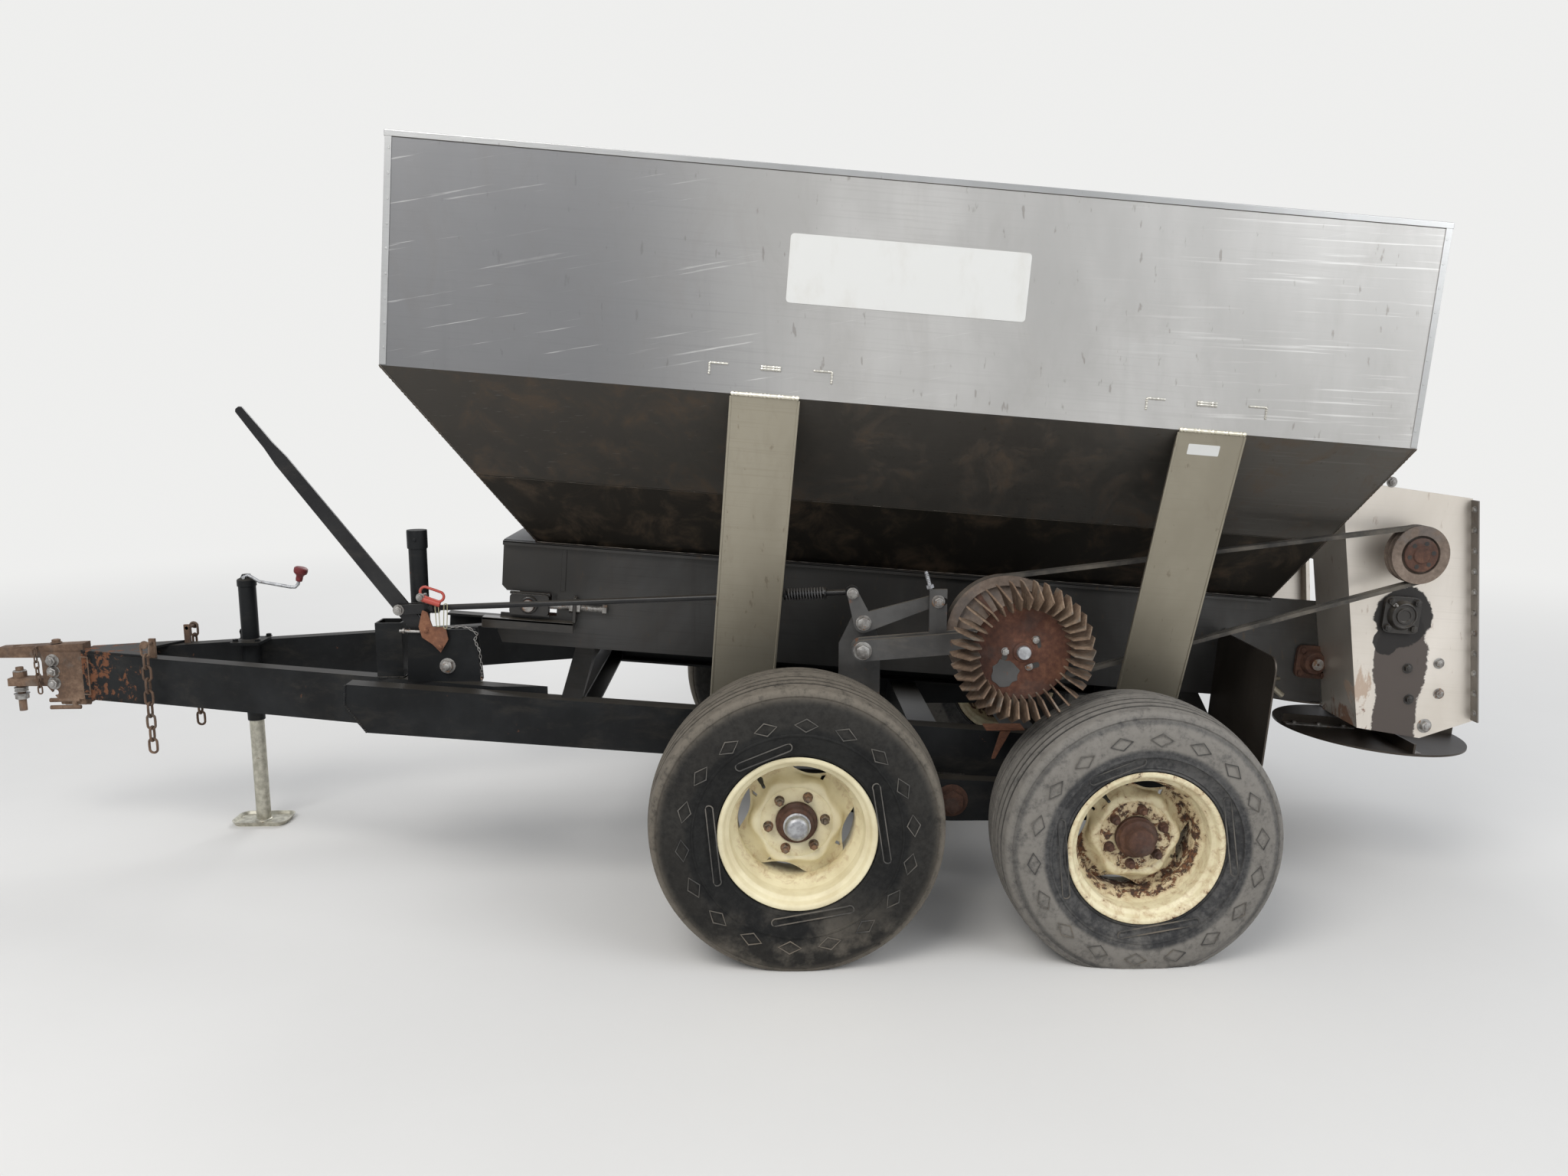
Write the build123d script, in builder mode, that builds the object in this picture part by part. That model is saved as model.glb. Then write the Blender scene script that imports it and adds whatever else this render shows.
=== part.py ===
"""Pull-type fertilizer spreader: stainless V-box hopper on a tandem running gear.

Millimetres. X runs forward to the hitch, Y to the left side, Z up, ground at Z = 0.
The hopper, frame and conveyor are drawn level and then tipped nose up about the
tandem pivot, as the machine stands. The drawbar, jack, wheels and hand linkage are
drawn as they stand.
"""
import os
from math import atan2, cos, hypot, radians, sin, sqrt, tan

from build123d import *

os.makedirs("parts", exist_ok=True)

# Stance
body_pitch = 4.6
pivot_height = 344.0
fit_gap = 0.3
run_gap = 0.6

# Running gear
wheelbase = 913.0
rail_outer = 600.0
beam_clearance = 40.0
beam_inner = rail_outer + beam_clearance
beam_thickness = 50.0
wheel_offset = 217.0
wheel_plane = beam_inner + beam_thickness + wheel_offset
front_axle_height = 377.0
rear_axle_height = 330.0
front_tyre_radius = 398.0
rear_tyre_radius = 380.0
tyre_width = 318.0
rear_tyre_width = 300.0
tread_share = 0.4
shoulder_drop = 16.0
wall_rise = 10.0
bead_height = 16.0
bead_radius = 190.5
rim_flange_radius = 209.0
rim_width = 270.0
rim_wall = 7.0
rim_step = 4.0
well_depth = 22.0
well_share = 0.25
seat_share = 0.45
disc_inset = 98.0
disc_thickness = 9.0
hub_radius = 62.0
hub_depth = 70.0
hub_step = 14.0
hub_nose = 40.0
cap_radius = 33.0
cap_height = 26.0
bolt_circle = 76.2
stud_count = 6
nut_radius = 12.0
nut_height = 18.0
bolt_head = 10.0
spindle_radius = 25.0
spindle_reach = 28.0
beam_end_radius = 50.0
beam_pivot_radius = 62.0
axle_size = 100.0
pivot_pin_radius = 30.0
pivot_pin_overhang = 12.0
overcut = 1.0

# Main frame
rail_height = 140.0
rail_width = 60.0
rail_wall = 8.0
rail_front = 1773.0
rail_rear = -860.0
rail_clip_length = 66.0
rail_clip_height = 62.0
cross_width = 60.0
cross_places = [1125.0, 560.0, -300.0, -790.0]
bolster_width = 60.0
bolster_depth = 34.0
rail_bottom = pivot_height + axle_size / 2
rail_top = rail_bottom + rail_height

# Drawbar
tongue_top = 652.0
tongue_height = 152.0
tongue_width = 50.0
tongue_splay = 18.55
nose_x = 2824.0
nose_half = 41.0
gusset_length = 270.0
gusset_margin = 6.0
gusset_notch = 67.5
plate_thickness = 8.0
jaw_half = 24.0
cheek_thickness = 10.0
cheek_length = 136.0
cheek_bottom = 490.0
cheek_hole_z = 515.0
cheek_clip_height = 60.0
cheek_clip_length = 45.0
jaw_bolt_x = nose_x + 100.0
jaw_bolt_heights = [624.0, 586.0, 547.0]
jaw_bolt_radius = 10.0
jaw_top = 680.0
jaw_upper = 48.0
jaw_fall = 14.0
jaw_throat = 10.0
jaw_heel_length = 60.0
jaw_heel_height = 20.0
jaw_tip_x = 3110.0
jaw_lower_top = 560.0
jaw_lower = 26.0
jaw_lower_tip = 3086.0
pin_x = 3057.0
drawpin_radius = 12.0
drawpin_drop = 115.0
drawpin_length = 150.0
drawpin_collar = 21.0
drawpin_collar_height = 20.0
square_post_x = 1677.0
square_post_y = 382.0
square_post_size = 80.0
square_post_wall = 6.0
square_post_height = 170.0
round_post_x = 1590.0
round_post_y = 375.0
round_post_base = 70.0
round_post_radius = 27.0
round_post_top = 1050.0
round_post_cap = 50.0
round_post_rim = 3.0
quadrant_gap = 26.0
quadrant_top = 811.0
quadrant_foot = (97.0, 121.0)
quadrant_head = (86.0, 113.0)
lever_bolt_radius = 12.0
lever_bolt_head = 12.0

# Hopper
hopper_front = 1615.0
hopper_rear = -1089.0
hopper_half = 870.0
hopper_top = 2025.0
knee_height = 1453.0
hopper_wall = 4.0
slope_front = 1289.0
slope_rear = -1006.0
lip_width = 14.0

# Conveyor trough
trough_half = 330.0
trough_wall = 5.0
trough_top = 956.0
trough_bottom = 633.0
trough_front = 1391.0
trough_rear = -1230.0
nose_step = 8.0
slot_length = 172.0
slot_bottom = 728.0
slot_height = 70.0
shaft_radius = 19.0
sprocket_radius = 46.0
front_shaft_x = 1300.0
rear_shaft_x = -1165.0
shaft_height = 762.0
chain_thickness = 10.0
chain_width = 24.0
chain_plane = 230.0
slat_width = 22.0
shaft_half = 380.0
floor_drop = 0.5
floor_top = shaft_height + sprocket_radius - floor_drop
take_up_width = 34.0
take_up_length = 120.0
take_up_height = 66.0
screw_length = 160.0
screw_height = 20.0
shelf_top = 716.0
shelf_height = 8.0
shelf_length = 280.0
slat_half = 300.0
slat_pitch = 165.0
floor_thickness = 5.0

# Legs
leg_width = 176.0
leg_depth = 16.0
leg_wall = 6.0
leg_places = [("front", 628.0), ("rear", -545.0)]

# Drive
drive_x = -152.0
drive_z = 823.0
drive_tip_radius = 193.0
cleat_count = 36
cleat_vertex_radius = 160.0
cleat_thickness = 7.0
drum_thickness = 8.0
drive_width = 130.0
drive_offset = 3.0
drive_near = wheel_plane + drive_width / 2 + drive_offset
drum_radius = 124.0
drive_shaft_radius = 19.0
sheave_radius = 172.0
belt_standoff = 30.0
belt_plane = rail_outer + belt_standoff
belt_pitch = 19.0
belt_width = 13.0
belt_thickness = 11.0
rear_pulley_x = -1275.0
rear_pulley_z = 1155.0
pulley_bore = 12.0
rear_pulley_radius = 84.0
arm_pivot_x = 264.0
arm_thickness = 12.0
arm_standoff = 38.0
arm_plane = belt_plane + arm_standoff
arm_spread = 40.0
arm_outer_plane = arm_plane + arm_spread
arm_height = 60.0
arm_pivot_z = 792.0
arm_pin_radius = 15.0
bracket_thickness = 10.0
bracket_bottom = 460.0
bracket_half = 60.0
bracket_neck = 24.0
link_width = 50.0
link_top = 960.0
slot_travel = 16.0
cleat_turn = 6.0
drive_recess = 55.0
drive_hub_radius = 36.0
sheave_width = 44.0
sheave_dish = 14.0
sheave_rim = 14.0
groove_half = 7.2
groove_taper = 0.5
groove_depth = 14.0
hub_recess = 24.0

# Hand lever and rod
lever_pivot_x = 1490.0
lever_pivot_z = 700.0
lever_plane = 450.0
lever_tip_x = 2068.0
lever_tip_z = 1467.0
lever_pin_x = 1629.0
lever_pin_z = 870.0
lever_thickness = 12.0
lever_neck = 0.88
lever_half = (24.0, 20.0)
lever_grip = (15.0, 11.0)
lever_eye = 32.0
lever_pin_head = 8.0
rod_radius = 9.0
rod_eye_x = 288.0
rod_eye_z = 945.0
crank_pivot_x = 256.0
crank_pivot_z = 859.0
crank_end_x = 47.0
crank_end_z = 925.0
crank_boss = 28.0
crank_standoff = 30.0
crank_plane = rail_outer + bracket_thickness + crank_standoff
eye_standoff = 20.0
rod_eye_plane = crank_plane - eye_standoff
pin_radius = 8.0
fork_gap = 22.0
fork_length = 84.0
fork_wall = 6.0
fork_half = 15.0
fork_rise = 4.0
eye_radius = 20.0
eye_thickness = 12.0
eye_clearance = 3.0
spring_start = 0.86
spring_stop = 0.94
spring_radius = 19.0

# Jack
jack_x = 2326.0
jack_y = -120.0
jack_radius = 29.0
jack_wall = 4.0
jack_leg_length = 560.0
jack_plate_length = 100.0
jack_plate_width = 120.0
jack_plate_shift = 12.0
jack_plate_thickness = 10.0
crank_reach = 190.0
crank_level = 12.0
crank_height = 14.0
crank_left = 8.0
crank_right = 6.0
knob_inset = 12.0
knob_radius = 16.0
knob_height = 60.0
jack_top = 862.0
jack_cap_height = 34.0
jack_cap_rim = 3.0
jack_outer_bottom = 376.0
jack_foot_half = 98.0
jack_foot_width = 127.4
jack_foot_corner = 20.0
jack_foot_thickness = 8.0
jack_travel = 200.0

# Rear housing
pulley_standoff = 80.0
housing_half = belt_plane - pulley_standoff
housing_wall = 6.0
housing_outline = [
    # length, height
    (-1091.0, 1233.0),
    (-1179.0, 1340.0),
    (-1459.0, 1323.0),
    (-1573.0, 658.0),
    (-1421.0, 594.0),
    (-1226.0, 612.0),
]
strip_thickness = 14.0
strip_width = 40.0
rear_panel_drop = 320.0
bearing_x = -1300.0
bearing_z = 965.0
flange_size = 110.0
flange_thickness = 14.0
boss_radius = 38.0
boss_length = 16.0
beam_size = 60.0
spinner_x = -1395.0
spinner_y = 300.0
spinner_z = 545.0
spinner_radius = 285.0
spinner_thickness = 6.0
spinner_shaft_radius = 16.0
spinner_hub_radius = 42.0
blade_height = 30.0
blade_length = 239.0
blade_middle = 160.0
blade_count = 4
gearbox_bottom = 650.0
gearbox_length = 200.0
gearbox_height = 120.0
drive_box_length = 140.0
gearbox_bore = 72.0
shaft_entry = 60.0
splash_inner = 330.0
splash_outer = 750.0
splash_bottom = 500.0
splash_top = 842.0
splash_thickness = 5.0
splash_corner = 40.0

# Safety chains
chain_x = 2543.0
chain_top = 690.0
chain_link_length = 56.0
chain_link_width = 34.0
chain_wire = 8.0
chain_link_count = 9
hanger_length = 20.0
hanger_thickness = 10.0
hanger_pin_radius = 6.0
hanger_head = 4.0

pieces = {}
pivot_axis = Axis((0, 0, pivot_height), (0, 1, 0))
sides = [("left", 1), ("right", -1)]


def keep(name, piece, tipped=False):
    """Store a finished piece, tipped nose up with the body where asked."""
    pieces[name] = piece.rotate(pivot_axis, -body_pitch) if tipped else piece


def tipped_point(x, z):
    """Standing place of a point drawn on the level body."""
    angle = radians(body_pitch)
    rise = z - pivot_height
    return (
        x * cos(angle) - rise * sin(angle),
        pivot_height + x * sin(angle) + rise * cos(angle),
    )


def bar_outline(x0, z0, x1, z1, half0, half1):
    """Corners of a tapered bar from one point to another."""
    length = hypot(x1 - x0, z1 - z0)
    nx = -(z1 - z0) / length
    nz = (x1 - x0) / length
    return [
        (x0 + nx * half0, z0 + nz * half0),
        (x1 + nx * half1, z1 + nz * half1),
        (x1 - nx * half1, z1 - nz * half1),
        (x0 - nx * half0, z0 - nz * half0),
    ]


def upright(y):
    """Fore-and-aft upright plane at a given width, to be extruded toward the right."""
    return Plane.XZ.offset(-y)


# Tyres and wheels
axles = [
    ("front", wheelbase / 2, front_axle_height, front_tyre_radius, tyre_width),
    ("rear", -wheelbase / 2, rear_axle_height, rear_tyre_radius, rear_tyre_width),
]
rim_half = rim_width / 2
bead_half = rim_half - 2 * rim_wall
inner_bead = bead_radius - rim_wall - rim_step
disc_face = rim_half - disc_inset
for end, axle_x, axle_z, tyre_radius, width in axles:
    for side, sign in sides:
        turn_plane = Plane(
            origin=(axle_x, sign * wheel_plane, axle_z),
            x_dir=(1, 0, 0),
            z_dir=(0, sign, 0),
        )
        radial = Plane(origin=turn_plane.origin, x_dir=turn_plane.z_dir, z_dir=(-sign, 0, 0))
        turning = Axis(turn_plane.origin, turn_plane.z_dir)
        with BuildPart() as tyre:
            with BuildSketch(radial) as tyre_section:
                with BuildLine():
                    shoulder = (width * tread_share, tyre_radius - shoulder_drop)
                    crown = ThreePointArc(
                        (-shoulder[0], shoulder[1]), (0, tyre_radius), shoulder
                    )
                    wall_out = ThreePointArc(
                        shoulder,
                        (width / 2, (tyre_radius + bead_radius) / 2 + wall_rise),
                        (bead_half, bead_radius + bead_height),
                    )
                    Line((bead_half, bead_radius + bead_height), (bead_half, bead_radius))
                    Line((bead_half, bead_radius), (-bead_half, bead_radius))
                    Line((-bead_half, bead_radius), (-bead_half, bead_radius + bead_height))
                    wall_in = ThreePointArc(
                        (-bead_half, bead_radius + bead_height),
                        (-width / 2, (tyre_radius + bead_radius) / 2 + wall_rise),
                        (-shoulder[0], shoulder[1]),
                    )
                make_face()
            revolve(axis=turning)
            with Locations((axle_x, sign * wheel_plane, -tyre_radius / 2)):
                Box(3 * tyre_radius, 2 * width, tyre_radius, mode=Mode.SUBTRACT)
        keep(f"tyre_{end}_{side}", tyre.part)

        with BuildPart() as wheel:
            with BuildSketch(radial) as rim_section:
                with BuildLine():
                    Polyline(
                        (-rim_half, rim_flange_radius),
                        (-rim_half + rim_wall, rim_flange_radius),
                        (-bead_half, bead_radius - fit_gap),
                        (-rim_half * seat_share, bead_radius - rim_step),
                        (-rim_half * well_share, bead_radius - well_depth),
                        (rim_half * well_share, bead_radius - well_depth),
                        (rim_half * seat_share, bead_radius - rim_step),
                        (bead_half, bead_radius - fit_gap),
                        (rim_half - rim_wall, rim_flange_radius),
                        (rim_half, rim_flange_radius),
                        (rim_half, rim_flange_radius - rim_wall),
                        (rim_half - rim_wall, inner_bead),
                        (rim_half * seat_share, inner_bead - rim_step),
                        (rim_half * well_share, inner_bead - well_depth),
                        (-rim_half * well_share, inner_bead - well_depth),
                        (-rim_half * seat_share, inner_bead - rim_step),
                        (-rim_half + rim_wall, inner_bead),
                        (-rim_half, rim_flange_radius - rim_wall),
                        close=True,
                    )
                make_face()
            revolve(axis=turning)
            with BuildSketch(turn_plane.offset(disc_face - disc_thickness)):
                Circle(inner_bead - well_depth + rim_wall / 2)
            extrude(amount=disc_thickness)
            with BuildSketch(turn_plane.offset(disc_face - hub_depth)):
                Circle(hub_radius)
            extrude(amount=hub_depth + hub_step)
            with BuildSketch(turn_plane.offset(disc_face)):
                Circle(hub_radius - hub_step)
            extrude(amount=hub_nose)
            with BuildSketch(turn_plane.offset(disc_face + hub_nose)):
                Circle(cap_radius)
            extrude(amount=cap_height)
            with BuildSketch(turn_plane.offset(disc_face)):
                with PolarLocations(bolt_circle, stud_count):
                    RegularPolygon(nut_radius, stud_count)
            extrude(amount=nut_height)
            with BuildSketch(turn_plane.offset(disc_face - hub_depth)):
                Circle(spindle_radius + run_gap)
            extrude(amount=hub_depth + spindle_reach + run_gap, mode=Mode.SUBTRACT)
        keep(f"wheel_{end}_{side}", wheel.part)

# Walking beams with their spindles
spindle_end = wheel_plane + disc_face + spindle_reach
for side, sign in sides:
    beam_plane = Plane(
        origin=(0, sign * beam_inner, 0), x_dir=(1, 0, 0), z_dir=(0, sign, 0)
    )
    up = -sign
    with BuildPart() as beam:
        with BuildSketch(beam_plane):
            for axle_x, axle_z in (
                (wheelbase / 2, front_axle_height),
                (-wheelbase / 2, rear_axle_height),
            ):
                with BuildSketch(mode=Mode.PRIVATE) as outline:
                    with Locations((0, up * pivot_height)):
                        Circle(beam_pivot_radius)
                    with Locations((axle_x, up * axle_z)):
                        Circle(beam_end_radius)
                    make_hull()
                add(outline.sketch)
            with Locations((0, up * pivot_height)):
                Circle(pivot_pin_radius + run_gap, mode=Mode.SUBTRACT)
        extrude(amount=beam_thickness)
        with BuildSketch(beam_plane.offset(beam_thickness)):
            with Locations(
                (wheelbase / 2, up * front_axle_height),
                (-wheelbase / 2, up * rear_axle_height),
            ):
                Circle(spindle_radius)
        extrude(amount=spindle_end - beam_inner - beam_thickness)
    keep(f"walking_beam_{side}", beam.part)

with BuildPart() as axle:
    with BuildSketch(upright(rail_outer)):
        with Locations((0, pivot_height)):
            Rectangle(axle_size, axle_size)
    extrude(amount=2 * rail_outer)
    for sign in (1, -1):
        with BuildSketch(upright(sign * rail_outer)):
            with Locations((0, pivot_height)):
                Circle(pivot_pin_radius)
        extrude(amount=-sign * (beam_inner + beam_thickness + pivot_pin_overhang - rail_outer))
keep("centre_axle", axle.part, tipped=True)

# Main side rails
for side, sign in sides:
    with BuildPart() as rail:
        with BuildSketch(Plane.YZ.offset(rail_rear)):
            with BuildLine():
                Polyline(
                    (sign * (rail_outer - rail_width), rail_top),
                    (sign * rail_outer, rail_top),
                    (sign * rail_outer, rail_bottom),
                    (sign * (rail_outer - rail_width), rail_bottom),
                    (sign * (rail_outer - rail_width), rail_bottom + rail_wall),
                    (sign * (rail_outer - rail_wall), rail_bottom + rail_wall),
                    (sign * (rail_outer - rail_wall), rail_top - rail_wall),
                    (sign * (rail_outer - rail_width), rail_top - rail_wall),
                    close=True,
                )
            make_face()
        extrude(amount=rail_front - rail_rear)
        with BuildSketch(Plane.XZ):
            with BuildLine():
                Polyline(
                    (rail_front - rail_clip_length, rail_bottom - overcut),
                    (rail_front + overcut, rail_bottom - overcut),
                    (rail_front + overcut, rail_bottom + rail_clip_height),
                    close=True,
                )
            make_face()
        extrude(amount=2 * rail_outer, both=True, mode=Mode.SUBTRACT)
    keep(f"side_rail_{side}", rail.part, tipped=True)

# Cross channels between the rails and bolsters that carry the trough
cross_bottom = rail_bottom + rail_wall + fit_gap
cross_top = rail_top - rail_wall - fit_gap
with BuildPart() as cross_members:
    for place in cross_places:
        with BuildSketch(upright(rail_outer - rail_wall - fit_gap)):
            with BuildLine():
                Polyline(
                    (place - cross_width / 2, cross_bottom),
                    (place + cross_width / 2, cross_bottom),
                    (place + cross_width / 2, cross_top),
                    (place - cross_width / 2, cross_top),
                    (place - cross_width / 2, cross_top - rail_wall),
                    (place + cross_width / 2 - rail_wall, cross_top - rail_wall),
                    (place + cross_width / 2 - rail_wall, cross_bottom + rail_wall),
                    (place - cross_width / 2, cross_bottom + rail_wall),
                    close=True,
                )
            make_face()
        extrude(amount=2 * (rail_outer - rail_wall - fit_gap))
keep("cross_members", cross_members.part, tipped=True)

foot_out = rail_outer - rail_width / 2
head_out = trough_half
with BuildPart() as bolsters:
    for place in cross_places:
        with BuildSketch(Plane.YZ.offset(place - bolster_width / 2)):
            with BuildLine():
                Polyline(
                    (-foot_out, rail_top),
                    (-head_out, trough_bottom),
                    (head_out, trough_bottom),
                    (foot_out, rail_top),
                    (foot_out - bolster_depth, rail_top),
                    (head_out - bolster_depth, trough_bottom - bolster_depth),
                    (bolster_depth - head_out, trough_bottom - bolster_depth),
                    (bolster_depth - foot_out, rail_top),
                    close=True,
                )
            make_face()
        extrude(amount=bolster_width)
keep("bolsters", bolsters.part, tipped=True)

# Drawbar rails, splayed from the nose to the main rails
splay = radians(tongue_splay)
skew_width = tongue_width / cos(splay)
rail_inner = rail_outer - rail_width - fit_gap
tongue_reach = (rail_inner + skew_width - nose_half) / sin(splay)
tongue_back = nose_x - tongue_reach * cos(splay)
tongue_wide = nose_half + tongue_reach * sin(splay)
for side, sign in sides:
    with BuildPart() as tongue:
        with BuildSketch(Plane.XY.offset(tongue_top - tongue_height)):
            with BuildLine():
                Polyline(
                    (nose_x, sign * nose_half),
                    (tongue_back, sign * tongue_wide),
                    (tongue_back, sign * (tongue_wide - skew_width)),
                    (nose_x - (skew_width - nose_half) / tan(splay), 0),
                    (nose_x, 0),
                    close=True,
                )
            make_face()
            with Locations((tongue_back, sign * (rail_inner + tongue_reach / 2))):
                Rectangle(tongue_reach, tongue_reach, mode=Mode.SUBTRACT)
        extrude(amount=tongue_height)
    keep(f"tongue_rail_{side}", tongue.part)

# Gusset plates above and below the nose
gusset_back = nose_x - gusset_length
gusset_half = nose_half + gusset_length * tan(splay) - gusset_margin
gusset_nose = nose_half - gusset_margin / 3
with BuildPart() as gussets:
    for level in (tongue_top, tongue_top - tongue_height - plate_thickness):
        with BuildSketch(Plane.XY.offset(level)):
            with BuildLine():
                Polyline(
                    (nose_x, gusset_nose),
                    (gusset_back, gusset_half),
                    (gusset_back + gusset_notch, 0),
                    (gusset_back, -gusset_half),
                    (nose_x, -gusset_nose),
                    close=True,
                )
            make_face()
        extrude(amount=plate_thickness)
keep("nose_gussets", gussets.part)

# Hitch cheeks, jaw and drawpin
with BuildPart() as cheeks:
    for sign in (1, -1):
        with BuildSketch(upright(sign * (jaw_half + cheek_thickness / 2) + cheek_thickness / 2)):
            with BuildLine():
                Polyline(
                    (nose_x, tongue_top),
                    (nose_x + cheek_length, tongue_top),
                    (nose_x + cheek_length, cheek_bottom + cheek_clip_height),
                    (nose_x + cheek_length - cheek_clip_length, cheek_bottom),
                    (nose_x, cheek_bottom),
                    close=True,
                )
            make_face()
            with Locations(*[(jaw_bolt_x, z) for z in jaw_bolt_heights + [cheek_hole_z]]):
                Circle(jaw_bolt_radius + fit_gap, mode=Mode.SUBTRACT)
        extrude(amount=cheek_thickness)
keep("hitch_cheeks", cheeks.part)

with BuildPart() as jaw:
    with BuildSketch(upright(jaw_half)):
        with BuildLine():
            Polyline(
                (nose_x + fit_gap, jaw_top),
                (jaw_tip_x, jaw_top - jaw_fall),
                (jaw_tip_x, jaw_top - jaw_upper),
                (nose_x + cheek_length + jaw_throat, jaw_top - jaw_upper),
                (nose_x + cheek_length - jaw_throat, jaw_lower_top),
                (jaw_lower_tip, jaw_lower_top),
                (jaw_lower_tip, jaw_lower_top - jaw_lower),
                (nose_x + jaw_heel_length, jaw_lower_top - jaw_lower),
                (nose_x + fit_gap, jaw_lower_top + jaw_heel_height),
                close=True,
            )
        make_face()
    extrude(amount=2 * jaw_half)
    with BuildSketch(Plane.XY):
        with Locations((pin_x, 0)):
            Circle(drawpin_radius + run_gap)
    extrude(amount=jaw_top, mode=Mode.SUBTRACT)
    with BuildSketch(upright(jaw_half + cheek_thickness + bolt_head)):
        with Locations(*[(jaw_bolt_x, z) for z in jaw_bolt_heights]):
            Circle(jaw_bolt_radius)
    extrude(amount=2 * (jaw_half + cheek_thickness + bolt_head))
keep("hitch_jaw", jaw.part)

with BuildPart() as drawpin:
    with BuildSketch(Plane.XY.offset(jaw_lower_top - drawpin_drop)):
        with Locations((pin_x, 0)):
            Circle(drawpin_radius)
    extrude(amount=drawpin_length)
    with BuildSketch(Plane.XY.offset(jaw_lower_top)):
        with Locations((pin_x, 0)):
            Circle(drawpin_collar)
    extrude(amount=drawpin_collar_height)
keep("drawpin", drawpin.part)

# Jack
with BuildPart() as jack:
    with BuildSketch(Plane.XY.offset(jack_outer_bottom)):
        with Locations((jack_x, jack_y)):
            Circle(jack_radius)
            Circle(jack_radius - jack_wall, mode=Mode.SUBTRACT)
    extrude(amount=jack_top - jack_outer_bottom)
    with BuildSketch(Plane.XY.offset(jack_top)):
        with Locations((jack_x, jack_y)):
            Circle(jack_radius + jack_cap_rim)
    extrude(amount=jack_cap_height)
    with BuildSketch(Plane.XY.offset(tongue_top)):
        with Locations((jack_x, jack_y - jack_plate_shift)):
            Rectangle(jack_plate_length, jack_plate_width)
        with Locations((jack_x, jack_y)):
            Circle(jack_radius - jack_wall, mode=Mode.SUBTRACT)
    extrude(amount=jack_plate_thickness)
    with BuildSketch(Plane.XY.offset(jack_top + crank_level)):
        with BuildLine():
            Polyline(
                (jack_x, jack_y + crank_left),
                (jack_x - crank_reach, jack_y + crank_left),
                (jack_x - crank_reach, jack_y - crank_right),
                (jack_x, jack_y - crank_right),
                close=True,
            )
        make_face()
    extrude(amount=crank_height)
    with BuildSketch(Plane.XY.offset(jack_top + crank_level)):
        with Locations((jack_x - crank_reach + knob_inset, jack_y)):
            Circle(knob_radius)
    extrude(amount=knob_height)
keep("jack_tube", jack.part)

with BuildPart() as jack_leg:
    with BuildSketch(Plane.XY.offset(jack_foot_thickness)):
        with Locations((jack_x, jack_y)):
            Circle(jack_radius - jack_wall - run_gap)
            Circle(jack_radius - 2 * jack_wall - run_gap, mode=Mode.SUBTRACT)
    extrude(amount=jack_leg_length)
    with BuildSketch(Plane.XY):
        with Locations((jack_x, jack_y)):
            RectangleRounded(2 * jack_foot_half, jack_foot_width, jack_foot_corner)
    extrude(amount=jack_foot_thickness)
keep("jack_leg", jack_leg.part)

# Posts on the drawbar
square_post_bore = square_post_size - 2 * square_post_wall
with BuildPart() as posts:
    with BuildSketch(Plane.XY.offset(tongue_top)):
        with Locations((square_post_x, square_post_y)):
            Rectangle(square_post_size, square_post_size)
            Rectangle(square_post_bore, square_post_bore, mode=Mode.SUBTRACT)
    extrude(amount=square_post_height)
    with BuildSketch(Plane.XY.offset(tongue_top)):
        with Locations((round_post_x, round_post_y)):
            Rectangle(round_post_base, round_post_base)
    extrude(amount=plate_thickness)
    with BuildSketch(Plane.XY.offset(tongue_top + plate_thickness)):
        with Locations((round_post_x, round_post_y)):
            Circle(round_post_radius)
    extrude(amount=round_post_top - tongue_top - plate_thickness)
    with BuildSketch(Plane.XY.offset(round_post_top)):
        with Locations((round_post_x, round_post_y)):
            Circle(round_post_radius + round_post_rim)
    extrude(amount=round_post_cap)
keep("drawbar_posts", posts.part)

# Lever quadrant
with BuildPart() as quadrant:
    for offset_y in (-quadrant_gap / 2 - plate_thickness, quadrant_gap / 2):
        with BuildSketch(upright(lever_plane + offset_y + plate_thickness)):
            with BuildLine():
                Polyline(
                    (lever_pivot_x - quadrant_foot[0], tongue_top),
                    (lever_pivot_x - quadrant_head[0], quadrant_top),
                    (lever_pivot_x + quadrant_head[1], quadrant_top),
                    (lever_pivot_x + quadrant_foot[1], tongue_top),
                    close=True,
                )
            make_face()
        extrude(amount=plate_thickness)
    bolt_end = quadrant_gap / 2 + plate_thickness + lever_bolt_head
    with BuildSketch(upright(lever_plane + bolt_end)):
        with Locations((lever_pivot_x, lever_pivot_z)):
            Circle(lever_bolt_radius)
    extrude(amount=2 * bolt_end)
keep("quadrant_plates", quadrant.part)

# Hand lever
neck_x = lever_pivot_x + (lever_tip_x - lever_pivot_x) * lever_neck
neck_z = lever_pivot_z + (lever_tip_z - lever_pivot_z) * lever_neck
with BuildPart() as lever:
    with BuildSketch(upright(lever_plane + lever_thickness / 2)):
        with BuildLine():
            Polyline(
                *bar_outline(lever_pivot_x, lever_pivot_z, neck_x, neck_z, *lever_half), close=True
            )
        make_face()
        with BuildLine():
            Polyline(
                *bar_outline(neck_x, neck_z, lever_tip_x, lever_tip_z, *lever_grip), close=True
            )
        make_face()
        with Locations((lever_pivot_x, lever_pivot_z)):
            Circle(lever_eye)
            Circle(lever_bolt_radius + run_gap, mode=Mode.SUBTRACT)
    extrude(amount=lever_thickness)
    with BuildSketch(upright(lever_plane + fork_gap / 2 + lever_pin_head)):
        with Locations((lever_pin_x, lever_pin_z)):
            Circle(pin_radius)
    extrude(amount=fork_gap + 2 * lever_pin_head)
keep("clutch_lever", lever.part)

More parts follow.
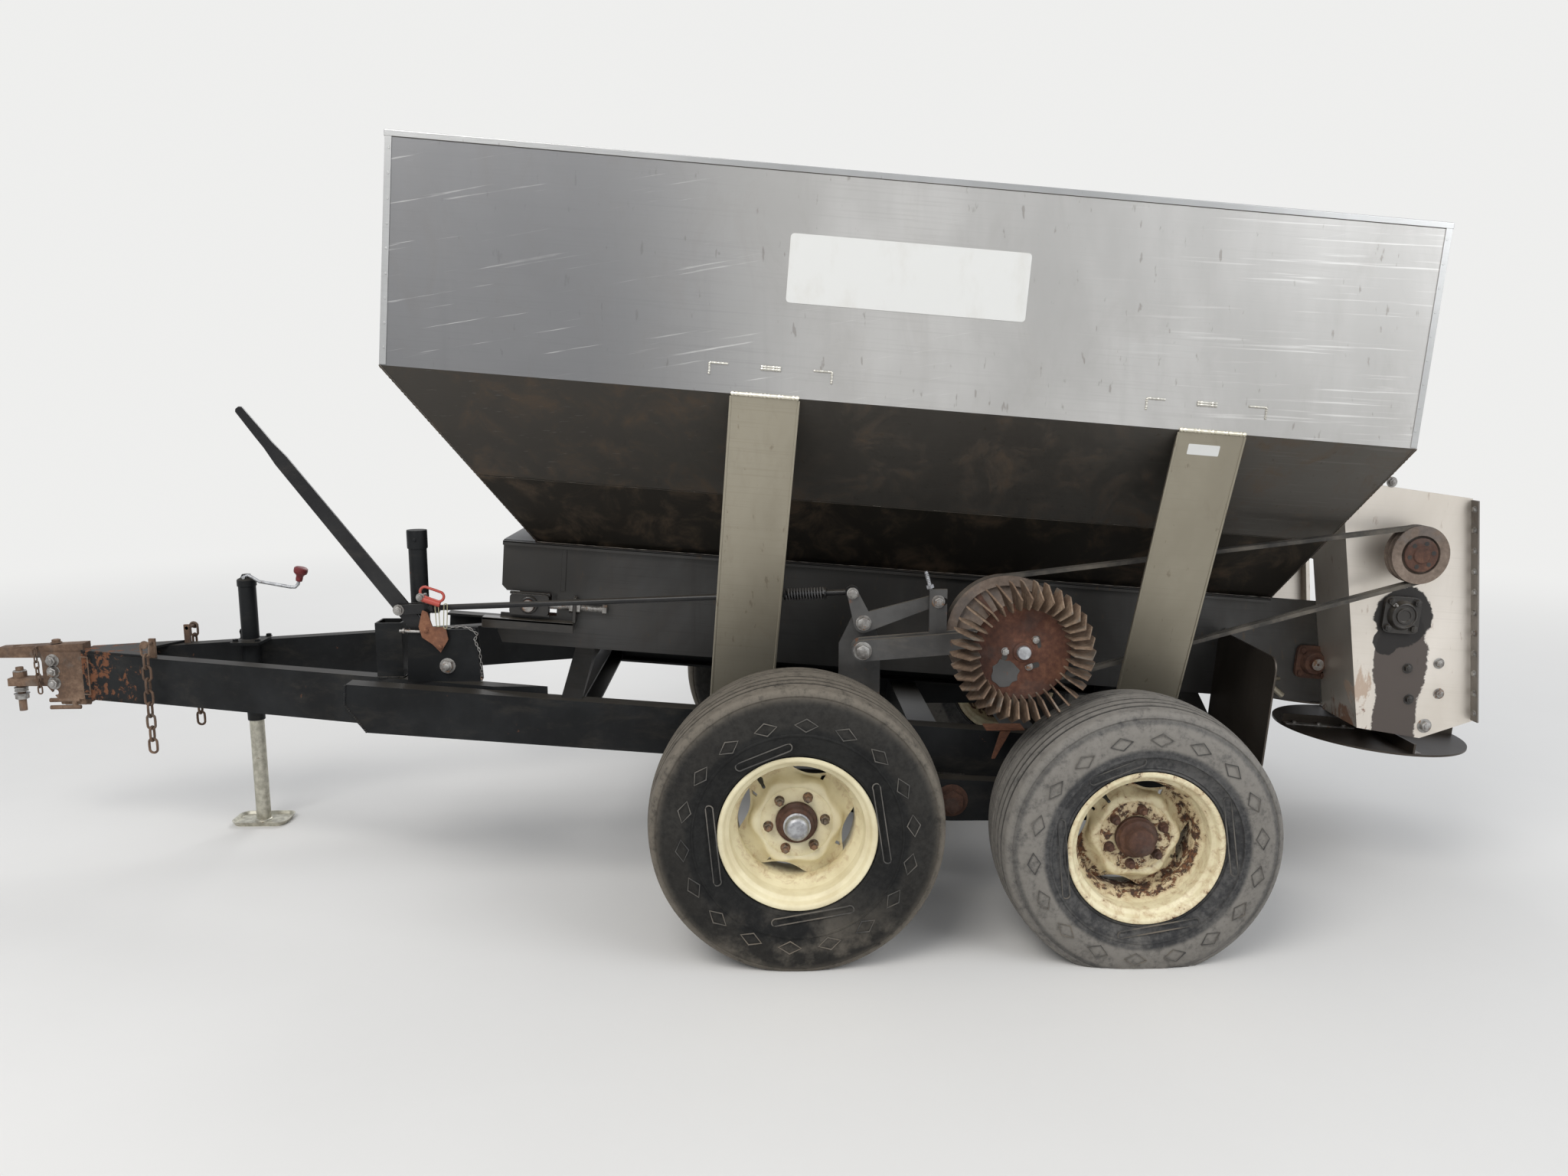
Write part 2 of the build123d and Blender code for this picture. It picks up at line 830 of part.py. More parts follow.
# Clutch rod with its front fork, spring seat and rear eye
rod_plane = Plane(
    origin=(lever_pin_x, lever_plane, lever_pin_z),
    x_dir=(0, 0, 1),
    z_dir=(rod_eye_x - lever_pin_x, rod_eye_plane - lever_plane, rod_eye_z - lever_pin_z),
)
rod_length = sqrt(
    (rod_eye_x - lever_pin_x) ** 2
    + (rod_eye_plane - lever_plane) ** 2
    + (rod_eye_z - lever_pin_z) ** 2
)
fork_middle = (fork_gap + fork_wall) / 2
with BuildPart() as rod:
    with BuildSketch(rod_plane.offset(fork_length)):
        Circle(rod_radius)
    extrude(amount=rod_length - fork_length - pin_radius - eye_clearance)
    with BuildSketch(rod_plane.offset(rod_length * spring_start)):
        Circle(spring_radius)
    extrude(amount=rod_length * (spring_stop - spring_start))
    with BuildSketch(upright(lever_plane + fork_gap / 2 + fork_wall)):
        with Locations((lever_pin_x - fork_length, lever_pin_z + fork_rise)):
            Rectangle(2 * rod_radius, 2 * fork_half)
    extrude(amount=fork_gap + 2 * fork_wall)
    for sign in (1, -1):
        with BuildSketch(upright(lever_plane + sign * fork_middle + fork_wall / 2)):
            with BuildLine():
                Polyline(
                    *bar_outline(
                        lever_pin_x,
                        lever_pin_z,
                        lever_pin_x - fork_length,
                        lever_pin_z + fork_rise,
                        fork_half,
                        fork_half,
                    ),
                    close=True,
                )
            make_face()
            with Locations((lever_pin_x, lever_pin_z)):
                Circle(fork_half)
                Circle(pin_radius + run_gap, mode=Mode.SUBTRACT)
        extrude(amount=fork_wall)
    with BuildSketch(upright(rod_eye_plane + eye_thickness / 2)):
        with Locations((rod_eye_x, rod_eye_z)):
            Circle(eye_radius)
    extrude(amount=eye_thickness)
    with BuildSketch(upright(rod_eye_plane + eye_radius)):
        with Locations((rod_eye_x, rod_eye_z)):
            Circle(pin_radius + eye_clearance)
    extrude(amount=2 * eye_radius, mode=Mode.SUBTRACT)
keep("clutch_rod", rod.part)

# Bracket on the left rail for the bell crank and the drive arm
bracket_face = rail_outer + bracket_thickness
with BuildPart() as bracket:
    with BuildSketch(upright(bracket_face)):
        with BuildLine():
            Polyline(
                (arm_pivot_x - bracket_half, bracket_bottom),
                (arm_pivot_x + bracket_half, bracket_bottom),
                (arm_pivot_x + bracket_half, arm_pivot_z),
                (crank_pivot_x + bracket_neck, crank_pivot_z + bracket_neck),
                (crank_pivot_x - bracket_neck, crank_pivot_z + bracket_neck),
                (arm_pivot_x - bracket_half, arm_pivot_z),
                close=True,
            )
        make_face()
    extrude(amount=bracket_thickness)
    with BuildSketch(upright(arm_outer_plane + arm_thickness / 2 + bolt_head)):
        with Locations((arm_pivot_x, arm_pivot_z)):
            Circle(arm_pin_radius)
    extrude(amount=arm_outer_plane + arm_thickness / 2 + bolt_head - bracket_face)
    with BuildSketch(upright(crank_plane + arm_thickness / 2 + bolt_head)):
        with Locations((crank_pivot_x, crank_pivot_z)):
            Circle(arm_pin_radius)
    extrude(amount=crank_plane + arm_thickness / 2 + bolt_head - bracket_face)
keep("drive_bracket", bracket.part)

# Bell crank
crank_arms = [
    # x, z, pivot end radius, far end radius
    (rod_eye_x, rod_eye_z, crank_boss, 2 * pin_radius),
    (crank_end_x, crank_end_z, crank_boss, 2 * pin_radius),
]
with BuildPart() as bell_crank:
    with BuildSketch(upright(crank_plane + arm_thickness / 2)):
        for end_x, end_z, pivot_end, far_end in crank_arms:
            with BuildSketch(mode=Mode.PRIVATE) as crank_arm:
                with Locations((crank_pivot_x, crank_pivot_z)):
                    Circle(pivot_end)
                with Locations((end_x, end_z)):
                    Circle(far_end)
                make_hull()
            add(crank_arm.sketch)
        with Locations((crank_pivot_x, crank_pivot_z)):
            Circle(arm_pin_radius + run_gap, mode=Mode.SUBTRACT)
    extrude(amount=arm_thickness)
    with BuildSketch(upright(crank_plane - arm_thickness / 2)):
        with Locations((rod_eye_x, rod_eye_z)):
            Circle(pin_radius)
    extrude(amount=crank_plane - arm_thickness / 2 - rod_eye_plane + eye_thickness)
    with BuildSketch(upright(arm_plane + arm_thickness / 2 + bolt_head)):
        with Locations((crank_end_x, crank_end_z)):
            Circle(pin_radius)
    extrude(amount=arm_plane + bolt_head - crank_plane)
keep("bell_crank", bell_crank.part)

# Drive arm: two plates joined by the bearing tube, with the slotted link plate
with BuildPart() as arm:
    for plane_y in (arm_plane, arm_outer_plane):
        with BuildSketch(upright(plane_y + arm_thickness / 2)):
            with BuildSketch(mode=Mode.PRIVATE) as arm_outline:
                with Locations((arm_pivot_x, arm_pivot_z), (drive_x, drive_z)):
                    Circle(arm_height / 2)
                make_hull()
            add(arm_outline.sketch)
            with Locations((arm_pivot_x, arm_pivot_z)):
                Circle(arm_pin_radius + run_gap, mode=Mode.SUBTRACT)
            with Locations((drive_x, drive_z)):
                Circle(drive_shaft_radius + run_gap, mode=Mode.SUBTRACT)
        extrude(amount=arm_thickness)
    with BuildSketch(upright(arm_outer_plane - arm_thickness / 2)):
        with Locations((drive_x, drive_z)):
            Circle(arm_height / 2)
            Circle(drive_shaft_radius + run_gap, mode=Mode.SUBTRACT)
    extrude(amount=arm_outer_plane - arm_plane - arm_thickness)
    with BuildSketch(upright(arm_plane + arm_thickness / 2)):
        with Locations((crank_end_x, (arm_pivot_z + link_top) / 2)):
            Rectangle(link_width, link_top - arm_pivot_z)
        with Locations((crank_end_x - slot_travel / 2, crank_end_z)):
            SlotCenterToCenter(slot_travel, 2 * (pin_radius + eye_clearance), mode=Mode.SUBTRACT)
    extrude(amount=arm_thickness)
keep("drive_arm", arm.part)

# Cleated drive wheel with its shaft
drive_plane = Plane(origin=(drive_x, drive_near, drive_z), x_dir=(-1, 0, 0), z_dir=(0, 1, 0))
bend_x = cleat_vertex_radius * cos(radians(cleat_turn))
bend_y = cleat_vertex_radius * sin(radians(cleat_turn))
with BuildPart() as drive_wheel:
    with BuildSketch(drive_plane.offset(-drive_width)):
        Circle(drum_radius)
        with BuildSketch(mode=Mode.PRIVATE) as cleat:
            with BuildLine():
                Polyline(
                    (drum_radius - drum_thickness / 2, 0),
                    (bend_x, bend_y),
                    (drive_tip_radius, 0),
                    (drive_tip_radius, cleat_thickness),
                    (bend_x, bend_y + cleat_thickness),
                    (drum_radius - drum_thickness / 2, cleat_thickness),
                    close=True,
                )
            make_face()
        with PolarLocations(0, cleat_count):
            add(cleat.sketch)
    extrude(amount=drive_width)
    with BuildSketch(drive_plane):
        Circle(drum_radius - drum_thickness)
        Circle(drive_hub_radius, mode=Mode.SUBTRACT)
    extrude(amount=-drive_recess, mode=Mode.SUBTRACT)
    with BuildSketch(drive_plane.offset(-drive_width)):
        Circle(drum_radius - drum_thickness)
        Circle(drive_hub_radius, mode=Mode.SUBTRACT)
    extrude(amount=drive_recess, mode=Mode.SUBTRACT)
    with BuildSketch(drive_plane):
        Circle(drive_hub_radius)
    extrude(amount=-hub_recess, mode=Mode.SUBTRACT)
    with BuildSketch(drive_plane.offset(-hub_recess)):
        Circle(drive_shaft_radius)
    extrude(amount=hub_recess / 2)
    with BuildSketch(drive_plane.offset(-drive_width)):
        Circle(drive_shaft_radius)
    extrude(amount=-(drive_near - drive_width - belt_plane + sheave_width / 2 + bolt_head))
keep("drive_wheel", drive_wheel.part)

# Grooved sheave on the drive shaft and pulley on the rear shaft
groove_base = groove_half - groove_taper
pulleys = [
    # name, x, z, radius, bore, tipped
    ("drive_sheave", drive_x, drive_z, sheave_radius, drive_shaft_radius, False),
    ("rear_pulley", rear_pulley_x, rear_pulley_z, rear_pulley_radius, pulley_bore, True),
]
for name, x, z, radius, bore, tipped in pulleys:
    rim_edge = belt_plane + sheave_width / 2
    with BuildPart() as pulley:
        with BuildSketch(Plane(origin=(x, belt_plane, z), x_dir=(0, 1, 0), z_dir=(-1, 0, 0))):
            with BuildLine():
                Polyline(
                    (-sheave_width / 2, bore),
                    (-sheave_width / 2, radius),
                    (-belt_pitch / 2 - groove_half, radius),
                    (-belt_pitch / 2 - groove_base, radius - groove_depth),
                    (-belt_pitch / 2 + groove_base, radius - groove_depth),
                    (-belt_pitch / 2 + groove_half, radius),
                    (belt_pitch / 2 - groove_half, radius),
                    (belt_pitch / 2 - groove_base, radius - groove_depth),
                    (belt_pitch / 2 + groove_base, radius - groove_depth),
                    (belt_pitch / 2 + groove_half, radius),
                    (sheave_width / 2, radius),
                    (sheave_width / 2, bore),
                    close=True,
                )
            make_face()
        revolve(axis=Axis((x, belt_plane, z), (0, 1, 0)))
        with BuildSketch(upright(rim_edge)):
            with Locations((x, z)):
                Circle(radius - groove_depth - sheave_rim)
                Circle(drive_hub_radius, mode=Mode.SUBTRACT)
        extrude(amount=sheave_dish, mode=Mode.SUBTRACT)
        if tipped:
            with BuildSketch(upright(rim_edge - sheave_dish)):
                with Locations((x, z)):
                    Circle(shaft_radius)
            extrude(amount=rim_edge - sheave_dish + housing_half + bolt_head)
    keep(name, pulley.part, tipped=tipped)

# Belts: two loops round the drive sheave and the rear pulley
rear_x, rear_z = tipped_point(rear_pulley_x, rear_pulley_z)
with BuildPart() as belts:
    for middle in (-belt_pitch / 2, belt_pitch / 2):
        with BuildSketch(upright(belt_plane + middle + belt_width / 2)):
            with BuildSketch(mode=Mode.PRIVATE) as outer_loop:
                with Locations((drive_x, drive_z)):
                    Circle(sheave_radius)
                with Locations((rear_x, rear_z)):
                    Circle(rear_pulley_radius)
                make_hull()
            add(outer_loop.sketch)
            with BuildSketch(mode=Mode.PRIVATE) as inner_loop:
                with Locations((drive_x, drive_z)):
                    Circle(sheave_radius - belt_thickness)
                with Locations((rear_x, rear_z)):
                    Circle(rear_pulley_radius - belt_thickness)
                make_hull()
            add(inner_loop.sketch, mode=Mode.SUBTRACT)
        extrude(amount=belt_width)
keep("drive_belts", belts.part)

# Hopper shell, cut into its four panels
hopper_middle = (hopper_front + hopper_rear) / 2
side_fall = (hopper_half - trough_half) / (knee_height - trough_top)
shell_forms = []
for inset, overrun in ((0.0, 0.0), (hopper_wall, overcut)):
    share = overrun / (knee_height - trough_top)
    low_front = slope_front - (hopper_front - slope_front) * share
    low_rear = slope_rear - (hopper_rear - slope_rear) * share
    low_half = trough_half - (hopper_half - trough_half) * share
    low_inset = inset * hypot(1, side_fall)
    with BuildPart() as form:
        with BuildSketch(Plane.XY.offset(knee_height)):
            with Locations((hopper_middle, 0)):
                Rectangle(hopper_front - hopper_rear - 2 * inset, 2 * (hopper_half - inset))
        extrude(amount=hopper_top - knee_height + overrun)
        with BuildSketch(Plane.XY.offset(knee_height)):
            with Locations((hopper_middle, 0)):
                Rectangle(hopper_front - hopper_rear - 2 * inset, 2 * (hopper_half - inset))
        with BuildSketch(Plane.XY.offset(trough_top - overrun)):
            with Locations(((low_front + low_rear) / 2, 0)):
                Rectangle(low_front - low_rear - 2 * inset, 2 * (low_half - low_inset))
        loft()
    shell_forms.append(form.part)
outer_form, inner_form = shell_forms

end_walls = [
    # end, top x, bottom x, outward direction
    ("front", hopper_front, slope_front, 1),
    ("rear", hopper_rear, slope_rear, -1),
]
span = hopper_front - hopper_rear
side_walls = outer_form - inner_form
for end, top_x, low_x, outward in end_walls:
    with BuildPart() as wedge:
        with BuildSketch(upright(span)):
            with BuildLine():
                Polyline(
                    (top_x - outward * hopper_wall, hopper_top + overcut),
                    (top_x - outward * hopper_wall, knee_height),
                    (low_x - outward * hopper_wall, trough_top),
                    (low_x - outward * hopper_wall, trough_top - overcut),
                    (top_x + outward * span, trough_top - overcut),
                    (top_x + outward * span, hopper_top + overcut),
                    close=True,
                )
            make_face()
        extrude(amount=2 * span)
    keep(f"hopper_{end}", (outer_form - inner_form) & wedge.part, tipped=True)
    side_walls = side_walls - wedge.part
for side, sign in sides:
    other_half = Pos(hopper_middle, -sign * span / 2, knee_height) * Box(2 * span, span, span)
    keep(f"hopper_{side}", side_walls - other_half, tipped=True)

# Rim lip round the top edge of the hopper
with BuildPart() as rim:
    with BuildSketch(Plane.XY.offset(hopper_top)):
        with Locations((hopper_middle, 0)):
            Rectangle(span, 2 * hopper_half)
            Rectangle(
                span - 2 * lip_width, 2 * (hopper_half - lip_width), mode=Mode.SUBTRACT
            )
    extrude(amount=hopper_wall)
keep("hopper_rim", rim.part, tipped=True)

# Slanted channel legs from the rails up to the knee of the hopper
leg_lean = atan2(hopper_half - rail_outer, knee_height - rail_top)
leg_length = hypot(hopper_half - rail_outer, knee_height - rail_top)
for side, sign in sides:
    for end, place in leg_places:
        leg_plane = Plane(
            origin=(place, sign * rail_outer, rail_top),
            x_dir=(1, 0, 0),
            z_dir=(0, sign * sin(leg_lean), cos(leg_lean)),
        )
        with BuildPart() as leg:
            with BuildSketch(leg_plane.offset(-leg_width / 2)):
                with Locations((0, -sign * leg_depth / 2)):
                    Rectangle(leg_width, leg_depth)
                with Locations((0, -sign * (leg_depth / 2 + leg_wall))):
                    Rectangle(leg_width - 2 * leg_wall, leg_depth, mode=Mode.SUBTRACT)
            extrude(amount=leg_length + leg_width / 2)
            with Locations((place, sign * rail_outer, rail_top - leg_width / 2)):
                Box(2 * leg_width, 2 * leg_width, leg_width, mode=Mode.SUBTRACT)
            with Locations((place, sign * hopper_half, knee_height + leg_width / 2)):
                Box(2 * leg_width, 2 * leg_width, leg_width, mode=Mode.SUBTRACT)
        keep(f"leg_{end}_{side}", leg.part - outer_form, tipped=True)

# Conveyor trough with open take-up slots at its front
with BuildPart() as trough:
    for wall_face in (trough_half, trough_wall - trough_half):
        with BuildSketch(upright(wall_face)):
            with BuildLine():
                Polyline(
                    (trough_rear, trough_bottom),
                    (trough_front - nose_step, trough_bottom),
                    (trough_front + nose_step, trough_bottom + slot_height / 2),
                    (trough_front, slot_bottom),
                    (trough_front - slot_length, slot_bottom),
                    (trough_front - slot_length, slot_bottom + slot_height),
                    (trough_front - 2 * nose_step, slot_bottom + slot_height),
                    (trough_front, slot_bottom + slot_height + 2 * nose_step),
                    (trough_front, trough_top),
                    (trough_rear, trough_top),
                    close=True,
                )
            make_face()
            with Locations((rear_shaft_x, shaft_height)):
                Circle(shaft_radius + fit_gap, mode=Mode.SUBTRACT)
        extrude(amount=trough_wall)
    with BuildSketch(Plane.XY.offset(floor_top - floor_thickness)):
        with Locations(((front_shaft_x + rear_shaft_x) / 2, 0)):
            Rectangle(
                front_shaft_x - rear_shaft_x - 2 * sprocket_radius, 2 * trough_half - trough_wall
            )
    extrude(amount=floor_thickness)
    with BuildSketch(Plane.XY.offset(trough_top - trough_wall)):
        with Locations(((slope_front + trough_front) / 2, 0)):
            Rectangle(trough_front - slope_front, 2 * trough_half - trough_wall)
    extrude(amount=trough_wall)
    front_sill = slot_bottom + slot_height + 2 * nose_step
    with BuildSketch(Plane.YZ.offset(trough_front - trough_wall)):
        with Locations((0, (trough_top + front_sill) / 2)):
            Rectangle(2 * trough_half - trough_wall, trough_top - front_sill)
    extrude(amount=trough_wall)
keep("trough", trough.part, tipped=True)

# Conveyor: two chain loops carrying slats
run_length = front_shaft_x - rear_shaft_x
run_middle = (front_shaft_x + rear_shaft_x) / 2
slat_count = round(run_length / slat_pitch)
with BuildPart() as conveyor:
    for middle in (chain_plane, -chain_plane):
        with BuildSketch(upright(middle + chain_width / 2)):
            with Locations((run_middle, shaft_height)):
                SlotCenterToCenter(run_length, 2 * (sprocket_radius + chain_thickness))
                SlotCenterToCenter(run_length, 2 * sprocket_radius, mode=Mode.SUBTRACT)
        extrude(amount=chain_width)
    with BuildSketch(upright(slat_half)):
        with Locations((run_middle, shaft_height)):
            with GridLocations(
                run_length / slat_count,
                2 * sprocket_radius + chain_thickness,
                slat_count,
                2,
            ):
                Rectangle(slat_width, chain_thickness)
    extrude(amount=2 * slat_half)
keep("conveyor_chain", conveyor.part, tipped=True)

with BuildPart() as shafts:
    for place in (front_shaft_x, rear_shaft_x):
        with BuildSketch(upright(shaft_half)):
            with Locations((place, shaft_height)):
                Circle(shaft_radius)
        extrude(amount=2 * shaft_half)
        for middle in (chain_plane, -chain_plane):
            with BuildSketch(upright(middle + chain_width / 2)):
                with Locations((place, shaft_height)):
                    Circle(sprocket_radius - fit_gap)
            extrude(amount=chain_width)
keep("conveyor_shafts", shafts.part, tipped=True)

# Front bearings, take-up screws and their shelves beside the trough
with BuildPart() as take_ups:
    for face, sign in ((trough_half + take_up_width, 1), (-trough_half, -1)):
        with BuildSketch(upright(face)):
            with Locations((front_shaft_x, shaft_height)):
                Rectangle(take_up_length, take_up_height)
                Circle(shaft_radius + fit_gap, mode=Mode.SUBTRACT)
            with Locations((front_shaft_x - (take_up_length + screw_length) / 2, shaft_height)):
                Rectangle(screw_length, screw_height)
            with Locations((front_shaft_x - (take_up_length + screw_length) / 2, shaft_height)):
                Rectangle(screw_height / 2, take_up_height)
        extrude(amount=take_up_width)
        with BuildSketch(upright(face)):
            with Locations((front_shaft_x, shelf_top - shelf_height / 2)):
                Rectangle(shelf_length, shelf_height)
        extrude(amount=take_up_width)
keep("take_ups", take_ups.part, tipped=True)

# Rear housing: side plates, front wings, rear strips and the top and rear panels
rear_top = housing_outline[2]
rear_low = housing_outline[3]
front_low = housing_outline[5]
front_top = housing_outline[0]
roof_front = housing_outline[1]
wing_depth = housing_half - housing_wall - trough_half
panel_half = housing_half - housing_wall
rear_length = hypot(rear_low[0] - rear_top[0], rear_low[1] - rear_top[1])
rear_step = ((rear_low[0] - rear_top[0]) / rear_length, (rear_low[1] - rear_top[1]) / rear_length)
strip_top = (rear_top[0] + rear_step[0] * strip_width, rear_top[1] + rear_step[1] * strip_width)
panel_low = (
    rear_top[0] + rear_step[0] * rear_panel_drop,
    rear_top[1] + rear_step[1] * rear_panel_drop,
)
for side, sign in sides:
    with BuildPart() as housing:
        with BuildSketch(upright(sign * (housing_half - housing_wall / 2) + housing_wall / 2)):
            with BuildLine():
                Polyline(*housing_outline, close=True)
            make_face()
            with Locations((rear_pulley_x, rear_pulley_z)):
                Circle(shaft_radius + run_gap, mode=Mode.SUBTRACT)
        extrude(amount=housing_wall)
        inner_face = sign * panel_half
        with BuildSketch(upright(max(inner_face, sign * trough_half))):
            with BuildLine():
                Polyline(
                    front_top,
                    front_low,
                    (front_low[0] - housing_wall, front_low[1]),
                    (front_top[0] - housing_wall, front_top[1]),
                    close=True,
                )
            make_face()
        extrude(amount=wing_depth)
        with BuildSketch(upright(max(inner_face, inner_face - sign * strip_width))):
            with BuildLine():
                Polyline(
                    strip_top,
                    rear_low,
                    (rear_low[0] + strip_thickness, rear_low[1]),
                    (strip_top[0] + strip_thickness, strip_top[1]),
                    close=True,
                )
            make_face()
        extrude(amount=strip_width)
    keep(f"housing_{side}", housing.part, tipped=True)

with BuildPart() as rear_panel:
    with BuildSketch(upright(panel_half)):
        with BuildLine():
            Polyline(
                roof_front,
                rear_top,
                (rear_top[0] + strip_thickness, rear_top[1] - housing_wall),
                (roof_front[0], roof_front[1] - housing_wall),
                close=True,
            )
        make_face()
    extrude(amount=2 * panel_half)
    with BuildSketch(upright(panel_half - strip_width)):
        with BuildLine():
            Polyline(
                rear_top,
                panel_low,
                (panel_low[0] + housing_wall, panel_low[1]),
                (rear_top[0] + strip_thickness, rear_top[1] - housing_wall),
                close=True,
            )
        make_face()
    extrude(amount=2 * (panel_half - strip_width))
keep("rear_panel", rear_panel.part, tipped=True)

# Flange bearings on the housing sides
with BuildPart() as bearings:
    for face in (housing_half + flange_thickness, -housing_half):
        with BuildSketch(upright(face)):
            with Locations((bearing_x, bearing_z)):
                RectangleRounded(flange_size, flange_size, flange_size / 6)
        extrude(amount=flange_thickness)
    for face in (housing_half + flange_thickness + boss_length, -housing_half):
        with BuildSketch(upright(face)):
            with Locations((bearing_x, bearing_z)):
                Circle(boss_radius)
        extrude(amount=flange_thickness + boss_length)
keep("flange_bearings", bearings.part, tipped=True)

# Cross beam and gearboxes over the spinners
with BuildPart() as gearboxes:
    with BuildSketch(upright(panel_half)):
        with Locations((spinner_x, gearbox_bottom + gearbox_height / 2)):
            Rectangle(beam_size, beam_size)
    extrude(amount=2 * panel_half)
    with BuildSketch(Plane.XY.offset(gearbox_bottom)):
        with Locations((spinner_x, 0)):
            Rectangle(gearbox_length, gearbox_length)
        with Locations((spinner_x, spinner_y), (spinner_x, -spinner_y)):
            Rectangle(drive_box_length, drive_box_length)
    extrude(amount=gearbox_height)
    with BuildSketch(Plane.XY.offset(gearbox_bottom)):
        with Locations((spinner_x, spinner_y), (spinner_x, -spinner_y)):
            Circle(spinner_shaft_radius + run_gap)
    extrude(amount=gearbox_bore, mode=Mode.SUBTRACT)
keep("spinner_gearboxes", gearboxes.part, tipped=True)

# Spinner discs with radial blades
for side, sign in sides:
    with BuildPart() as spinner:
        with BuildSketch(Plane.XY.offset(spinner_z)):
            with Locations((spinner_x, sign * spinner_y)):
                Circle(spinner_radius)
        extrude(amount=spinner_thickness)
        with BuildSketch(Plane.XY.offset(spinner_z + spinner_thickness)):
            with Locations((spinner_x, sign * spinner_y)):
                with PolarLocations(blade_middle, blade_count):
                    Rectangle(blade_length, spinner_thickness)
        extrude(amount=blade_height)
        with BuildSketch(Plane.XY.offset(spinner_z + spinner_thickness)):
            with Locations((spinner_x, sign * spinner_y)):
                Circle(spinner_hub_radius)
        extrude(amount=blade_height)
        with BuildSketch(Plane.XY.offset(spinner_z + spinner_thickness)):
            with Locations((spinner_x, sign * spinner_y)):
                Circle(spinner_shaft_radius)
        extrude(amount=gearbox_bottom + shaft_entry - spinner_z - spinner_thickness)
    keep(f"spinner_{side}", spinner.part, tipped=True)

# Splash plates across the rear ends of the rails
splash_width = splash_outer - splash_inner
splash_height = splash_top - splash_bottom
splash_place = ((splash_outer + splash_inner) / 2, (splash_top + splash_bottom) / 2)
with BuildPart() as splash:
    for sign in (1, -1):
        with BuildSketch(Plane.YZ.offset(rail_rear - splash_thickness)):
            with Locations((sign * splash_place[0], splash_place[1])):
                RectangleRounded(splash_width, splash_height, splash_corner)
        extrude(amount=splash_thickness)
keep("splash_plates", splash.part, tipped=True)

# Safety chains, each hanging from a pin on a short post on its drawbar rail
link_pitch = chain_link_length - 2 * chain_wire + fit_gap
rail_face = nose_half + (nose_x - chain_x) * tan(splay)
strand_reach = rail_face + chain_link_width
hanger_face = rail_face - hanger_thickness
hanger_level = chain_top + chain_link_length / 2 - chain_wire - fit_gap - hanger_pin_radius
pin_reach = strand_reach + chain_wire / 2 + hanger_head
with BuildPart() as chains:
    for sign in (1, -1):
        strand_y = sign * strand_reach
        with BuildSketch(Plane.XY.offset(tongue_top)):
            with Locations((chain_x, sign * (hanger_face - hanger_thickness / 2))):
                Rectangle(hanger_length, hanger_thickness)
        extrude(amount=hanger_level + 2 * hanger_pin_radius - tongue_top)
        with BuildSketch(upright(sign * pin_reach)):
            with Locations((chain_x, hanger_level)):
                Circle(hanger_pin_radius)
        extrude(amount=sign * (pin_reach - hanger_face))
        with BuildSketch(upright(sign * pin_reach)):
            with Locations((chain_x, hanger_level)):
                Circle(2 * hanger_pin_radius)
        extrude(amount=sign * (hanger_head - run_gap))
        for index in range(chain_link_count):
            if index % 2:
                link_plane = Plane.YZ.offset(chain_x - chain_wire / 2)
                across = strand_y
            else:
                link_plane = upright(strand_y + chain_wire / 2)
                across = chain_x
            with BuildSketch(link_plane):
                with Locations((across, chain_top - index * link_pitch)):
                    SlotOverall(chain_link_length, chain_link_width, rotation=90)
                    SlotOverall(
                        chain_link_length - 2 * chain_wire,
                        chain_link_width - 2 * chain_wire,
                        rotation=90,
                        mode=Mode.SUBTRACT,
                    )
            extrude(amount=chain_wire)
keep("safety_chains", chains.part)

# The length is centred on the origin; the ground and the middle are there already
corners = [piece.bounding_box() for piece in pieces.values()]
middle_x = (min(box.min.X for box in corners) + max(box.max.X for box in corners)) / 2
for name in pieces:
    pieces[name] = Pos(-middle_x, 0, 0) * pieces[name]
    pieces[name].label = name
    export_step(pieces[name], f"parts/{name}.step")
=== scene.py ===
"""Looks of a pull-type fertilizer spreader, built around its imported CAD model.

Everything is in metres. Pieces are drawn in the maker's frame, with X forward to the
hitch, Y to the left side and Z up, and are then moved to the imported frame. Pieces of
the hopper, frame and conveyor are drawn level and tipped nose up with the body.
"""
import logging
import math
from dataclasses import dataclass
from enum import Enum
from functools import cache
from typing import Any, ClassVar, Sequence

import bmesh
import bpy
from mathutils import Matrix, Vector


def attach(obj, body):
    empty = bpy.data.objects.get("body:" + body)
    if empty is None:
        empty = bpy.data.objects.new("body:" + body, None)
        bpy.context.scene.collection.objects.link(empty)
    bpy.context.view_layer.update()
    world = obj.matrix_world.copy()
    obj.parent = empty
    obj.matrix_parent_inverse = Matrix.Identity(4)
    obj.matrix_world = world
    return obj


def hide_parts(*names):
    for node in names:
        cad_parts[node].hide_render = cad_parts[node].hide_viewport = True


log = logging.getLogger("spreader")
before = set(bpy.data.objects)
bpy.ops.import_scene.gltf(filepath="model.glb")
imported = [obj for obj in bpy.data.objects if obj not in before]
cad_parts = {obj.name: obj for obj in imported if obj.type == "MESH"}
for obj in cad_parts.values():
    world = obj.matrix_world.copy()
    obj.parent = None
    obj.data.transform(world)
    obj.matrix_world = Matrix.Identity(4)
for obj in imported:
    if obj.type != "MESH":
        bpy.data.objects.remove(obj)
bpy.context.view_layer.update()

Colour = tuple[float, float, float]
Point = tuple[float, float, float]
Pair = tuple[float, float]
Mesh = bmesh.types.BMesh
Verts = list[bmesh.types.BMVert]
Socket = bpy.types.NodeSocket


class Stance(Enum):
    """How a piece stands: as drawn, or tipped nose up with the body."""

    STANDING = "standing"
    TIPPED = "tipped"


